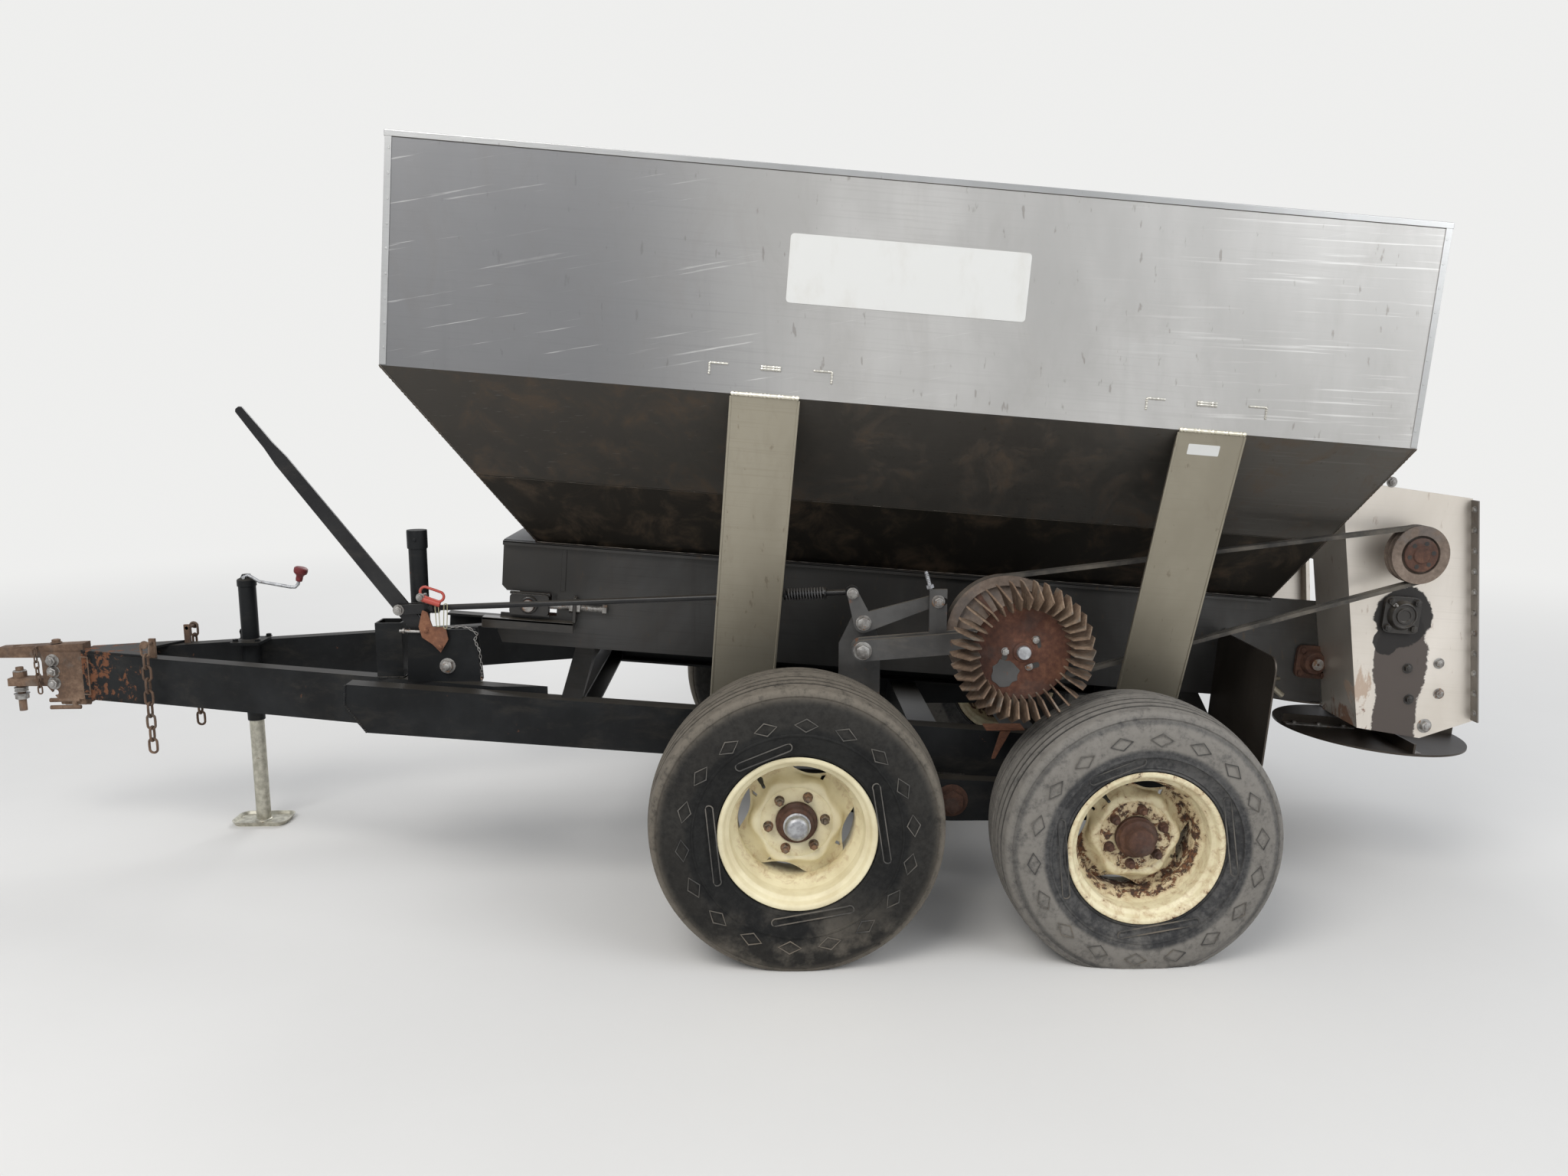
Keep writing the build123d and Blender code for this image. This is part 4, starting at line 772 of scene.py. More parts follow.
    # lighter rubber on the raised sidewall outlines: dust and painted highlight
    marks = Rubber("sidewall_marks_dust_and_highlight", (0.05, 0.049, 0.047), (0.13, 0.125, 0.115))
    belt = Rubber("belt_rubber", (0.034, 0.032, 0.029), (0.115, 0.105, 0.09))
    zinc = Zinc("zinc_plate")
    jack_zinc = Zinc("jack_zinc", (0.62, 0.6, 0.51), (0.42, 0.4, 0.33))
    bolt = Zinc("bolt_zinc", (0.42, 0.41, 0.39), (0.22, 0.205, 0.19), spot_level=0.6)
    dark_bolt = Zinc("dark_bolt", (0.22, 0.18, 0.14), (0.11, 0.085, 0.065), spot_level=0.5)
    tie = Plain("pale_plastic", (0.31, 0.29, 0.18), (0.16, 0.13, 0.08))
    red = Plain("knob_red", (0.15, 0.014, 0.016), (0.1, 0.03, 0.025))
    faded_red = Plain("handle_red", (0.4, 0.06, 0.042), (0.32, 0.14, 0.1), 0.6)
    white = Plain("sign_white", (0.62, 0.62, 0.6), (0.45, 0.42, 0.36), slot="stainless")
    black_plastic = Plain("black_plastic", (0.02, 0.02, 0.02), (0.1, 0.09, 0.07), slot="tyre")
    floor = StudioFloor("studio_floor")


# Piece making


class Assembly:
    """Part of the machine that makes its own pieces."""

    stance: ClassVar[Stance] = Stance.STANDING
    made: ClassVar[list[str]] = []

    def finish(
        self,
        name: str,
        bm: Mesh,
        look: Finish,
        body: str = "frame",
        slot: str = "",
        replaces: str = "",
        bevel: float = 0.0,
        segments: int = 2,
        smooth_angle: float = 32.0,
    ) -> None:
        """Make an object of a bmesh and hand it to its body.

        Args:
            name: Piece name.
            bm: The finished mesh, in the maker's frame.
            look: Its finish.
            body: CAD body it rides on.
            slot: Record slot, where it isn't the usual one of its finish; not used.
            replaces: CAD node it stands for.
            bevel: Width of a live bevel, or 0 for none.
            segments: Segments of that bevel.
            smooth_angle: Edges sharper than this stay sharp, in degrees.
        """
        bm.transform(LAYOUT.matrix(self.stance))
        bmesh.ops.recalc_face_normals(bm, faces=bm.faces)
        mesh = bpy.data.meshes.new(name)
        limit = math.radians(smooth_angle)
        for edge in bm.edges:
            edge.smooth = len(edge.link_faces) == 2 and edge.calc_face_angle(0.0) < limit
        for face in bm.faces:
            face.smooth = True
        bm.to_mesh(mesh)
        bm.free()
        mesh.materials.append(look.material())
        piece = bpy.data.objects.new(name, mesh)
        bpy.context.scene.collection.objects.link(piece)
        if bevel:
            edge_bevel = piece.modifiers.new("edges", "BEVEL")
            edge_bevel.width = bevel
            edge_bevel.segments = segments
            edge_bevel.limit_method = "ANGLE"
            edge_bevel.angle_limit = math.radians(30.0)
            edge_bevel.harden_normals = True
        slot = slot or look.slot
        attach(piece, body)
        if replaces:
            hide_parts(replaces)
        self.made.append(name)
        log.info("piece %s: %d faces", name, len(mesh.polygons))


def dress_nodes(finish: Finish, *nodes: str) -> None:
    """Give CAD nodes a material.

    Args:
        finish: Their finish.
        nodes: Names of the nodes.
    """
    for name in nodes:
        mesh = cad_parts[name].data
        mesh.materials.clear()
        mesh.materials.append(finish.material())


# Shapes


def facing(origin: Point, outward: Point) -> Matrix:
    """Frame whose local Z looks outward and whose local X lies fore and aft.

    Args:
        origin: Its origin.
        outward: The direction of its Z axis.

    Returns:
        The placing matrix.
    """
    z = Vector(outward).normalized()
    lead = Vector((1.0, 0.0, 0.0)) if abs(z.x) < 0.9 else Vector((0.0, 1.0, 0.0))
    x = (lead - z * lead.dot(z)).normalized()
    return Matrix.Translation(origin) @ Matrix((x, z.cross(x), z)).transposed().to_4x4()


def outside(x: float, y: float, z: float, side: Side = Side.LEFT) -> Matrix:
    """Frame on an outer face of one side, with Z outward."""
    return facing((x, side.value * y, z), (0.0, side.value, 0.0))


def raise_faces(bm: Mesh, faces: Sequence[bmesh.types.BMFace], rise: float) -> Verts:
    """Give flat faces a thickness.

    Args:
        bm: Mesh that holds them.
        faces: The faces.
        rise: Thickness along Z.

    Returns:
        The vertices of the new top.
    """
    grown = bmesh.ops.extrude_face_region(bm, geom=faces)["geom"]
    top = [item for item in grown if isinstance(item, bmesh.types.BMVert)]
    bmesh.ops.translate(bm, vec=(0.0, 0.0, rise), verts=top)
    return top


def add_block(bm: Mesh, first: Point, second: Point, place: Matrix = Matrix()) -> None:
    """Add a block between two opposite corners.

    Args:
        bm: Mesh to add to.
        first: One corner.
        second: The corner across from it.
        place: Frame of the corners.
    """
    low = Vector(map(min, first, second))
    high = Vector(map(max, first, second))
    made = bmesh.ops.create_cube(bm, size=1.0)["verts"]
    bmesh.ops.scale(bm, vec=high - low, verts=made)
    bmesh.ops.translate(bm, vec=(high + low) / 2, verts=made)
    bmesh.ops.transform(bm, matrix=place, verts=made)


def add_bar(bm: Mesh, start: Point, end: Point, radius: float, sides: int = 24) -> Verts:
    """Add a round or many-sided bar from one point to another.

    Args:
        bm: Mesh to add to.
        start: Middle of the first end.
        end: Middle of the other end.
        radius: Radius over its corners.
        sides: Number of sides.

    Returns:
        Its vertices.
    """
    axis = Vector(end) - Vector(start)
    place = facing((Vector(start) + Vector(end)) / 2, axis)
    return bmesh.ops.create_cone(
        bm, cap_ends=True, segments=sides, radius1=radius, radius2=radius, depth=axis.length, matrix=place
    )["verts"]


def add_plate(bm: Mesh, corners: Sequence[Pair], thickness: float, place: Matrix) -> None:
    """Add a flat plate of any outline.

    Args:
        bm: Mesh to add to.
        corners: Outline in the frame's X and Y.
        thickness: Thickness along the frame's Z.
        place: Frame of the plate.
    """
    base = [bm.verts.new((x, y, 0.0)) for x, y in corners]
    top = raise_faces(bm, [bm.faces.new(base)], thickness)
    bmesh.ops.transform(bm, matrix=place, verts=base + top)


def pour(bm: Mesh, part: Mesh, place: Matrix = Matrix()) -> None:
    """Move a finished small mesh into a larger one.

    Args:
        bm: Mesh to add to.
        part: Mesh that is used up.
        place: Where it goes.
    """
    mesh = bpy.data.meshes.new("poured")
    part.transform(place)
    part.to_mesh(mesh)
    part.free()
    bm.from_mesh(mesh)
    bpy.data.meshes.remove(mesh)


def solid(radius: float, height: float) -> list[Pair]:
    """Profile of a plain disc."""
    return [(0.0, 0.0), (radius, 0.0), (radius, height), (0.0, height)]


def hollow(inner: float, outer: float, low: float, high: float) -> list[Pair]:
    """Profile of a plain ring."""
    return [(inner, low), (outer, low), (outer, high), (inner, high)]


def add_turned(bm: Mesh, profile: Sequence[Pair], place: Matrix = Matrix(), steps: int = 48) -> None:
    """Add a turned shape, spun from a profile of radius and height.

    Args:
        bm: Mesh to add to.
        profile: Radius and height of each point. One that ends off the axis is closed.
        place: Frame whose Z is the axis.
        steps: Steps of the spin.
    """
    closed = profile[-1][0] > 0.0
    part = bmesh.new()
    line = [part.verts.new((radius, 0.0, height)) for radius, height in profile]
    pairs = list(zip(line, line[1:])) + ([(line[-1], line[0])] if closed else [])
    edges = [part.edges.new(pair) for pair in pairs]
    bmesh.ops.spin(
        part, geom=line + edges, cent=(0, 0, 0), axis=(0, 0, 1), angle=math.tau, steps=steps, use_merge=True
    )
    bmesh.ops.remove_doubles(part, verts=part.verts, dist=1e-6)
    bmesh.ops.recalc_face_normals(part, faces=part.faces)
    pour(bm, part, place)


def add_rounded(
    bm: Mesh, size: Pair, corner: float, thickness: float, place: Matrix = Matrix(), bore: float = 0.0
) -> None:
    """Add a flat plate with rounded corners, and a round hole in its middle if asked.

    Args:
        bm: Mesh to add to.
        size: Its length and width.
        corner: Corner radius.
        thickness: Thickness along the frame's Z.
        place: Frame of its middle.
        bore: Radius of the hole, or nothing.
    """
    part = bmesh.new()
    bmesh.ops.create_grid(part, x_segments=1, y_segments=1, size=0.5)
    bmesh.ops.scale(part, vec=(size[0], size[1], 1.0), verts=part.verts)
    bmesh.ops.bevel(
        part, geom=part.verts[:], offset=corner, segments=5, profile=0.5, affect="VERTICES", material=-1
    )
    if bore:
        bmesh.ops.delete(part, geom=part.faces[:], context="FACES_ONLY")
        bmesh.ops.create_circle(part, segments=36, radius=bore)
        bmesh.ops.bridge_loops(part, edges=part.edges[:])
    raise_faces(part, part.faces[:], thickness)
    bmesh.ops.recalc_face_normals(part, faces=part.faces)
    pour(bm, part, place)


def add_sweep(bm: Mesh, path: Sequence[Point], radius: float, sides: int) -> None:
    """Add a round bar that follows a path.

    Args:
        bm: Mesh to add to.
        path: Points along its middle.
        radius: Radius of the bar.
        sides: Number of sides.
    """
    part = bmesh.new()
    spots = [Vector(point) for point in path]
    side = Vector((0.0, 0.0, 0.0))
    last: list[bmesh.types.BMEdge] = []
    for index, spot in enumerate(spots):
        ahead = (spots[min(index + 1, len(spots) - 1)] - spots[max(index - 1, 0)]).normalized()
        side = side - ahead * side.dot(ahead) if side.length else ahead.orthogonal()
        side.normalize()
        place = at(*spot) @ Matrix((side, ahead.cross(side), ahead)).transposed().to_4x4()
        made = bmesh.ops.create_circle(part, segments=sides, radius=radius, matrix=place)["verts"]
        ring = list({edge for vert in made for edge in vert.link_edges})
        if last:
            bmesh.ops.bridge_loops(part, edges=last + ring)
        last = ring
    bmesh.ops.holes_fill(part, edges=[edge for edge in part.edges if edge.is_boundary], sides=0)
    bmesh.ops.recalc_face_normals(part, faces=part.faces)
    pour(bm, part)


def upright_link(index: int) -> Matrix:
    """Turn of a hanging chain link: even ones along the machine, odd ones across it."""
    stand = about("X", math.pi / 2)
    return about("Z", math.pi / 2) @ stand if index % 2 else stand


def add_link(bm: Mesh, place: Matrix, size: Point, steps: int = 20) -> None:
    """Add one oval chain link.

    Args:
        bm: Mesh to add to.
        place: Frame whose Y is the long way of the link.
        size: Length, width and wire of the link.
        steps: Steps round the link.
    """
    length, width, wire = size
    part = bmesh.new()
    middle = (width - wire) / 2
    angles = [math.tau * index / 10 for index in range(10)]
    profile = [(middle + wire / 2 * math.cos(angle), wire / 2 * math.sin(angle)) for angle in angles]
    add_turned(part, profile, Matrix(), steps)
    for vert in part.verts:
        if abs(vert.co.y) > 1e-5:
            vert.co.y += math.copysign((length - width) / 2, vert.co.y)
    pour(bm, part, place)


def add_weld(bm: Mesh, start: Point, end: Point, radius: float) -> None:
    """Add a rippled weld bead along a seam.

    Args:
        bm: Mesh to add to.
        start: One end.
        end: The other end.
        radius: Radius of the bead.
    """
    length = (Vector(end) - Vector(start)).length
    ripples = max(6, min(60, round(length / (radius * 1.6))))
    profile = [(0.0, 0.0)]
    for index in range(2 * ripples + 1):
        swell = (1.0 if index % 2 else 0.78) * (1.0 + 0.14 * math.sin(index * 2.4))
        profile.append((radius * swell, index / (2 * ripples) * length))
    profile.append((0.0, length))
    add_turned(bm, profile, facing(start, Vector(end) - Vector(start)), 8)


def add_bolt(
    bm: Mesh, place: Matrix, across: float, height: float, washer: float = 1.35, stub: float = 0.0
) -> None:
    """Add a hex head on a washer, with a threaded stub where asked.

    Args:
        bm: Mesh to add to.
        place: Frame whose Z leaves the surface.
        across: Radius of the head over its corners.
        height: Height of the head.
        washer: Washer radius as a share of the head's.
        stub: Length of thread that stands out of the head.
    """
    part = bmesh.new()
    rim = across * washer
    leaf = height * 0.18
    disc = [(0.0, 0.0), (rim, 0.0), (rim, leaf * 0.7), (rim * 0.96, leaf), (0.0, leaf)]
    add_turned(part, disc, Matrix(), 20)
    head = add_bar(part, (0, 0, leaf), (0, 0, leaf + height), across, 6)
    top = [face for face in part.faces if all(vert in head for vert in face.verts) and face.normal.z > 0.9]
    bmesh.ops.inset_region(part, faces=top, thickness=across * 0.14, depth=height * 0.1)
    if stub:
        thread = [(across * (0.5 if index % 2 else 0.56), stub * index / 10) for index in range(10)]
        profile = [(0.0, 0.0), *thread, (across * 0.4, stub), (0.0, stub)]
        add_turned(part, profile, at(0, 0, leaf + height), 14)
    pour(bm, part, place)


# Wheels and tyres


@dataclass
class AxleEnd(Assembly):
    """What a tyre and its wheel share: their end and side, place and body."""

    end: End
    side: Side

    @property
    def place(self) -> Matrix:
        """Frame of the wheel, with Z outward."""
        x, height = AXLES[self.end]
        return outside(x, WHEEL_PLANE, height, self.side)

    @property
    def label(self) -> str:
        """End and side in the words of the CAD bodies."""
        return f"{self.end.value}_{self.side.name.lower()}"

    def roll(self, name: str, bm: Mesh, look: Finish, **more: Any) -> None:
        """Finish a piece that turns with the wheel."""
        self.finish(f"{name}_{self.label}", bm, look, f"wheel_{self.label}", **more)


@dataclass
class Tyre(AxleEnd):
    """One worn rib tyre with its sidewall marks, flat where it stands."""

    radius: float
    half_width: float
    crown_drop: float = 0.0125
    groove_depth: float = 0.006
    groove_width: float = 0.007
    groove_places: tuple[float, ...] = (0.0, 0.03, 0.058, 0.084)
    diamond_count: int = 18
    diamond_radius: float = 0.3
    diamond_half: Pair = (0.031, 0.0185)
    capsule_radius: float = 0.241
    bulge: float = 0.004
    bulge_height: float = 0.2

    def tread_radius(self, across: float) -> float:
        """Radius of the tread at a distance from its middle."""
        return self.radius - self.crown_drop * (across / (self.half_width - 0.03)) ** 2

    def half_profile(self) -> list[Pair]:
        """Radius and width from the middle of the tread to the outer bead.

        Returns:
            Radius and width of each point.
        """
        points = []
        for place in self.groove_places:
            near = place - self.groove_width / 2
            far = place + self.groove_width / 2
            if place > 0.0:
                points.append((self.tread_radius(near - 0.001), near - 0.001))
                points.append((self.tread_radius(near) - self.groove_depth, near + 0.0006))
            points.append((self.tread_radius(far) - self.groove_depth, far - 0.0006))
            points.append((self.tread_radius(far + 0.001), far + 0.001))
        half = self.half_width
        points += [(self.tread_radius(half - inset), half - inset) for inset in (0.04, 0.032)]
        shoulder = (
            (0.019, 0.0255), (0.027, 0.0195), (0.0285, 0.0205), (0.031, 0.0205), (0.033, 0.0165),
            (0.045, 0.0105), (0.06, 0.005), (0.078, 0.0015), (0.095, 0.0), (0.112, 0.0008),
            (0.121, 0.0018), (0.1225, 0.0001), (0.1265, 0.0001), (0.128, 0.0026),
        )
        points += [(self.radius - drop, half - inset) for drop, inset in shoulder]
        wall = ((0.252, 0.006), (0.236, 0.0105), (0.226, 0.015), (0.221, 0.015), (0.2185, 0.0185))
        points += [(radius, half - inset) for radius, inset in wall]
        return [*points, (0.213, 0.1345), (0.2115, 0.128), (0.205, 0.1215), (0.192, 0.121)]

    def carcass(self, bm: Mesh) -> None:
        """Spin the rubber ring.

        Args:
            bm: Mesh to add to.
        """
        half = self.half_profile()
        inner = [(radius, -width) for radius, width in half]
        add_turned(bm, [*reversed(inner), *half], Matrix(), 120)

    def outline(self, bm: Mesh, part: Mesh, face_height: float) -> None:
        """Turn a flat face into a thin raised outline and pour it in.

        Args:
            bm: Mesh to add to.
            part: Mesh that holds one flat face.
            face_height: Height of the sidewall under it.
        """
        inset = bmesh.ops.inset_individual(part, faces=part.faces[:], thickness=0.0028)
        middle = [face for face in part.faces if face not in inset["faces"]]
        bmesh.ops.delete(part, geom=middle, context="FACES")
        raise_faces(part, part.faces[:], 0.0022)
        bmesh.ops.recalc_face_normals(part, faces=part.faces)
        pour(bm, part, at(0.0, 0.0, face_height))

    def diamonds(self, bm: Mesh) -> None:
        """Raise the ring of diamond outlines on the sidewall.

        Args:
            bm: Mesh to add to.
        """
        for index in range(self.diamond_count):
            part = bmesh.new()
            made = bmesh.ops.create_circle(part, cap_ends=True, segments=4, radius=1.0)["verts"]
            bmesh.ops.scale(part, vec=(self.diamond_half[1], self.diamond_half[0], 1.0), verts=made)
            turn = about("Z", math.tau * (index + 0.3) / self.diamond_count)
            part.transform(turn @ at(self.diamond_radius, 0.0, 0.0))
            self.outline(bm, part, self.half_width - 0.0006)

    def capsules(self, bm: Mesh) -> None:
        """Raise the long rounded panels near the bead, bent round the tyre.

        Args:
            bm: Mesh to add to.
        """
        for middle, spread in ((0.1, 0.42), (3.3, 0.42), (5.1, 0.28), (1.75, 0.42)):
            part = bmesh.new()
            made = bmesh.ops.create_circle(part, cap_ends=True, segments=40, radius=0.012)["verts"]
            for vert in made:
                around = math.copysign(spread, vert.co.y) + vert.co.y / self.capsule_radius
                away = self.capsule_radius + vert.co.x
                vert.co = Vector((away * math.cos(middle + around), away * math.sin(middle + around), 0.0))
            self.outline(bm, part, self.half_width - 0.0085)

    def settle(self, bm: Mesh) -> None:
        """Flatten the tread on the ground and bulge the walls above it.

        Args:
            bm: Mesh to change.
        """
        middle = self.side.value * WHEEL_PLANE
        for vert in bm.verts:
            share = max(0.0, 1.0 - max(vert.co.z, 0.0) / self.bulge_height)
            across = vert.co.y - middle
            if abs(across) > self.half_width * 0.8:
                vert.co.y += math.copysign(self.bulge * share * share, across)
            vert.co.z = max(vert.co.z, 0.0)

    def build(self) -> None:
        """Build and place the tyre."""
        bm = bmesh.new()
        self.carcass(bm)
        bm.transform(self.place)
        self.settle(bm)
        self.roll("rib_tyre", bm, Palette.tyres[self.end], replaces=f"tyre_{self.label}", smooth_angle=40.0)

        bm = bmesh.new()
        self.diamonds(bm)
        self.capsules(bm)
        bm.transform(self.place)
        self.settle(bm)
        self.roll("sidewall_marks_dust_and_highlight", bm, Palette.marks)


@dataclass
class Wheel(AxleEnd):
    """One dished steel wheel with its disc, hub, nuts and valve."""

    pad_height: float = 0.04
    nut_circle: float = 0.0762
    nut_count: int = 6
    nut_radius: float = 0.0125
    window_depth: float = 0.03
    segments: int = 96

    def barrel(self, bm: Mesh) -> None:
        """Spin the rim with its rolled lips, bead seats and drop well.

        Args:
            bm: Mesh to add to.
        """
        inner = [
            (0.2015, 0.135), (0.1965, 0.1335), (0.1935, 0.1295), (0.19, 0.12), (0.187, 0.116),
            (0.1795, 0.112), (0.178, 0.108), (0.1775, 0.07), (0.1765, 0.064), (0.16, 0.042),
            (0.158, 0.036),
        ]
        outer = [
            (0.164, 0.034), (0.185, 0.064), (0.1895, 0.114), (0.199, 0.127), (0.2085, 0.129),
            (0.2092, 0.1325), (0.207, 0.135),
        ]
        loop = [*reversed(inner), *reversed(outer)]
        back = [(radius, -height) for radius, height in reversed(loop)]
        add_turned(bm, [*loop, *back], Matrix(), self.segments)

    def disc(self, bm: Mesh) -> None:
        """Bridge rings into the dished disc, with four side windows and eight square holes.

        Args:
            bm: Mesh to add to.
        """
        rings = (  # radius, depth under the pad, window share, wave
            (0.159, 0.036, 1.0, 0.0), (0.15, 0.034, 0.9, 0.0), (0.1405, 0.031, 0.6, 0.0),
            (0.129, 0.026, 0.2, 0.002), (0.12, 0.014, 0.0, 0.006), (0.114, 0.004, 0.0, 0.007),
            (0.109, 0.0, 0.0, 0.007), (0.0985, 0.0, 0.0, 0.0), (0.096, 0.002, 0.0, 0.0),
            (0.0935, 0.0, 0.0, 0.0), (0.06, 0.0, 0.0, 0.0), (0.056, 0.003, 0.0, 0.0),
        )
        part = bmesh.new()
        loops = []
        for radius, depth, window, wave in rings:
            made = bmesh.ops.create_circle(part, segments=self.segments, radius=radius)["verts"]
            for vert in made:
                angle = math.atan2(vert.co.y, vert.co.x)
                cut = self.window_depth * window * max(0.0, math.cos(4.0 * angle + 0.9)) ** 0.7
                swell = wave * math.cos(6.0 * angle)
                level = Vector((0.0, 0.0, self.pad_height - depth))
                vert.co = vert.co * ((radius - cut + swell) / radius) + level
            loops.append(made)
        for outer, inner in zip(loops, loops[1:]):
            pair = set(outer + inner)
            edges = [edge for edge in part.edges if edge.verts[0] in pair and edge.verts[1] in pair]
            bmesh.ops.bridge_loops(
                part, edges=[edge for edge in edges if not edge.link_faces or edge.is_boundary]
            )
        holes = []
        for face in part.faces:
            spot = face.calc_center_median()
            away = math.hypot(spot.x, spot.y)
            turn = math.degrees(math.atan2(spot.y, spot.x)) % 90.0
            if 0.1285 < away < 0.1405 and 56.5 < turn < 60.5:
                holes.append(face)
        bmesh.ops.delete(part, geom=holes, context="FACES")
        bmesh.ops.recalc_face_normals(part, faces=part.faces)
        bmesh.ops.solidify(part, geom=part.faces[:], thickness=0.006)
        pour(bm, part)

    def steel(self) -> None:
        """Build the painted rim and disc."""
        bm = bmesh.new()
        self.barrel(bm)
        self.disc(bm)
        bm.transform(self.place)
        look = Palette.rims[self.end]
        self.roll("rim_and_disc", bm, look, replaces=f"wheel_{self.label}", smooth_angle=45.0)

    def hub(self) -> None:
        """Build the hub barrel, its cap and the drum behind the disc."""
        front = self.end is End.FRONT
        wide = 0.0 if front else 0.005
        bm = bmesh.new()
        pad = self.pad_height
        step = (
            (0.056, -0.014), (0.0555, 0.006), (0.052 + wide, 0.011), (0.048 + wide, 0.013),
            (0.045 + wide, 0.024), (0.04, 0.028), (0.0385, 0.03), (0.0, 0.03),
        )
        outer = [(radius, pad + height) for radius, height in step]
        add_turned(bm, [(0.0, -0.06), (0.052, -0.06), (0.056, -0.05), *outer], self.place)
        self.roll("hub", bm, Palette.hub_rust, bevel=0.001)
        bm = bmesh.new()
        dome = (
            (0.0, 0.02), (0.0365 + wide / 2, 0.03), (0.0365 + wide / 2, 0.033), (0.0325 + wide, 0.035),
            (0.0325 + wide, 0.05), (0.03 + wide, 0.058), (0.022 + wide, 0.0625),
            (0.012, 0.064), (0.0, 0.0645),
        )
        add_turned(bm, [(radius, pad + height) for radius, height in dome], self.place)
        cap = Palette.zinc if front else Palette.hub_rust
        self.roll("grease_cap", bm, cap, slot="zinc", smooth_angle=50.0)

    def nuts(self) -> None:
        """Build the wheel nuts on their studs."""
        bm = bmesh.new()
        front = self.end is End.FRONT
        first = 0.12 if front else 0.35
        for index in range(self.nut_count):
            angle = first + math.tau * index / self.nut_count
            spot = at(self.nut_circle * math.cos(angle), self.nut_circle * math.sin(angle), self.pad_height)
            add_bolt(bm, self.place @ spot, self.nut_radius, 0.014, 1.1, 0.012)
        self.roll(
            "wheel_nuts", bm, Palette.dark_bolt if front else Palette.hub_rust, slot="zinc", bevel=0.0006
        )

    def valve(self) -> None:
        """Build the valve stem with its cap, in a window of the disc."""
        bm = bmesh.new()
        stem = [(0.0, 0.0), (0.0075, 0.0), (0.0062, 0.012), (0.0045, 0.02), (0.0045, 0.034), (0.0, 0.036)]
        lean = about("Z", -0.9) @ at(0.1565, 0.0, 0.046)
        add_turned(bm, stem, self.place @ lean @ about("Y", -0.5), 16)
        self.roll("valve_stem", bm, Palette.black_plastic)

    def build(self) -> None:
        """Build the whole wheel."""
        self.steel()
        self.hub()
        self.nuts()
        self.valve()


@dataclass
class RunningGear(Assembly):
    """Four wheels on two walking beams."""

    half_widths: Pair = (0.1555, 0.148)
    beam_face: float = 0.69

    def build(self) -> None:
        """Build all tyres, wheels and the beam pins."""
        for end, half in zip(End, self.half_widths):
            for side in Side:
                Tyre(end, side, Palette.tyres[end].radius, half).build()
                Wheel(end, side).build()
        self.beam_pins()

    def beam_pins(self) -> None:
        """Build the nuts and washers that hold the walking beams on their pins."""
        bm = bmesh.new()
        for side in Side:
            add_bolt(bm, outside(0.0, self.beam_face, 0.344, side), 0.036, 0.018)
        self.finish("beam_pin_nuts", bm, Palette.hub_rust, bevel=0.001)


# Hopper trim and legs


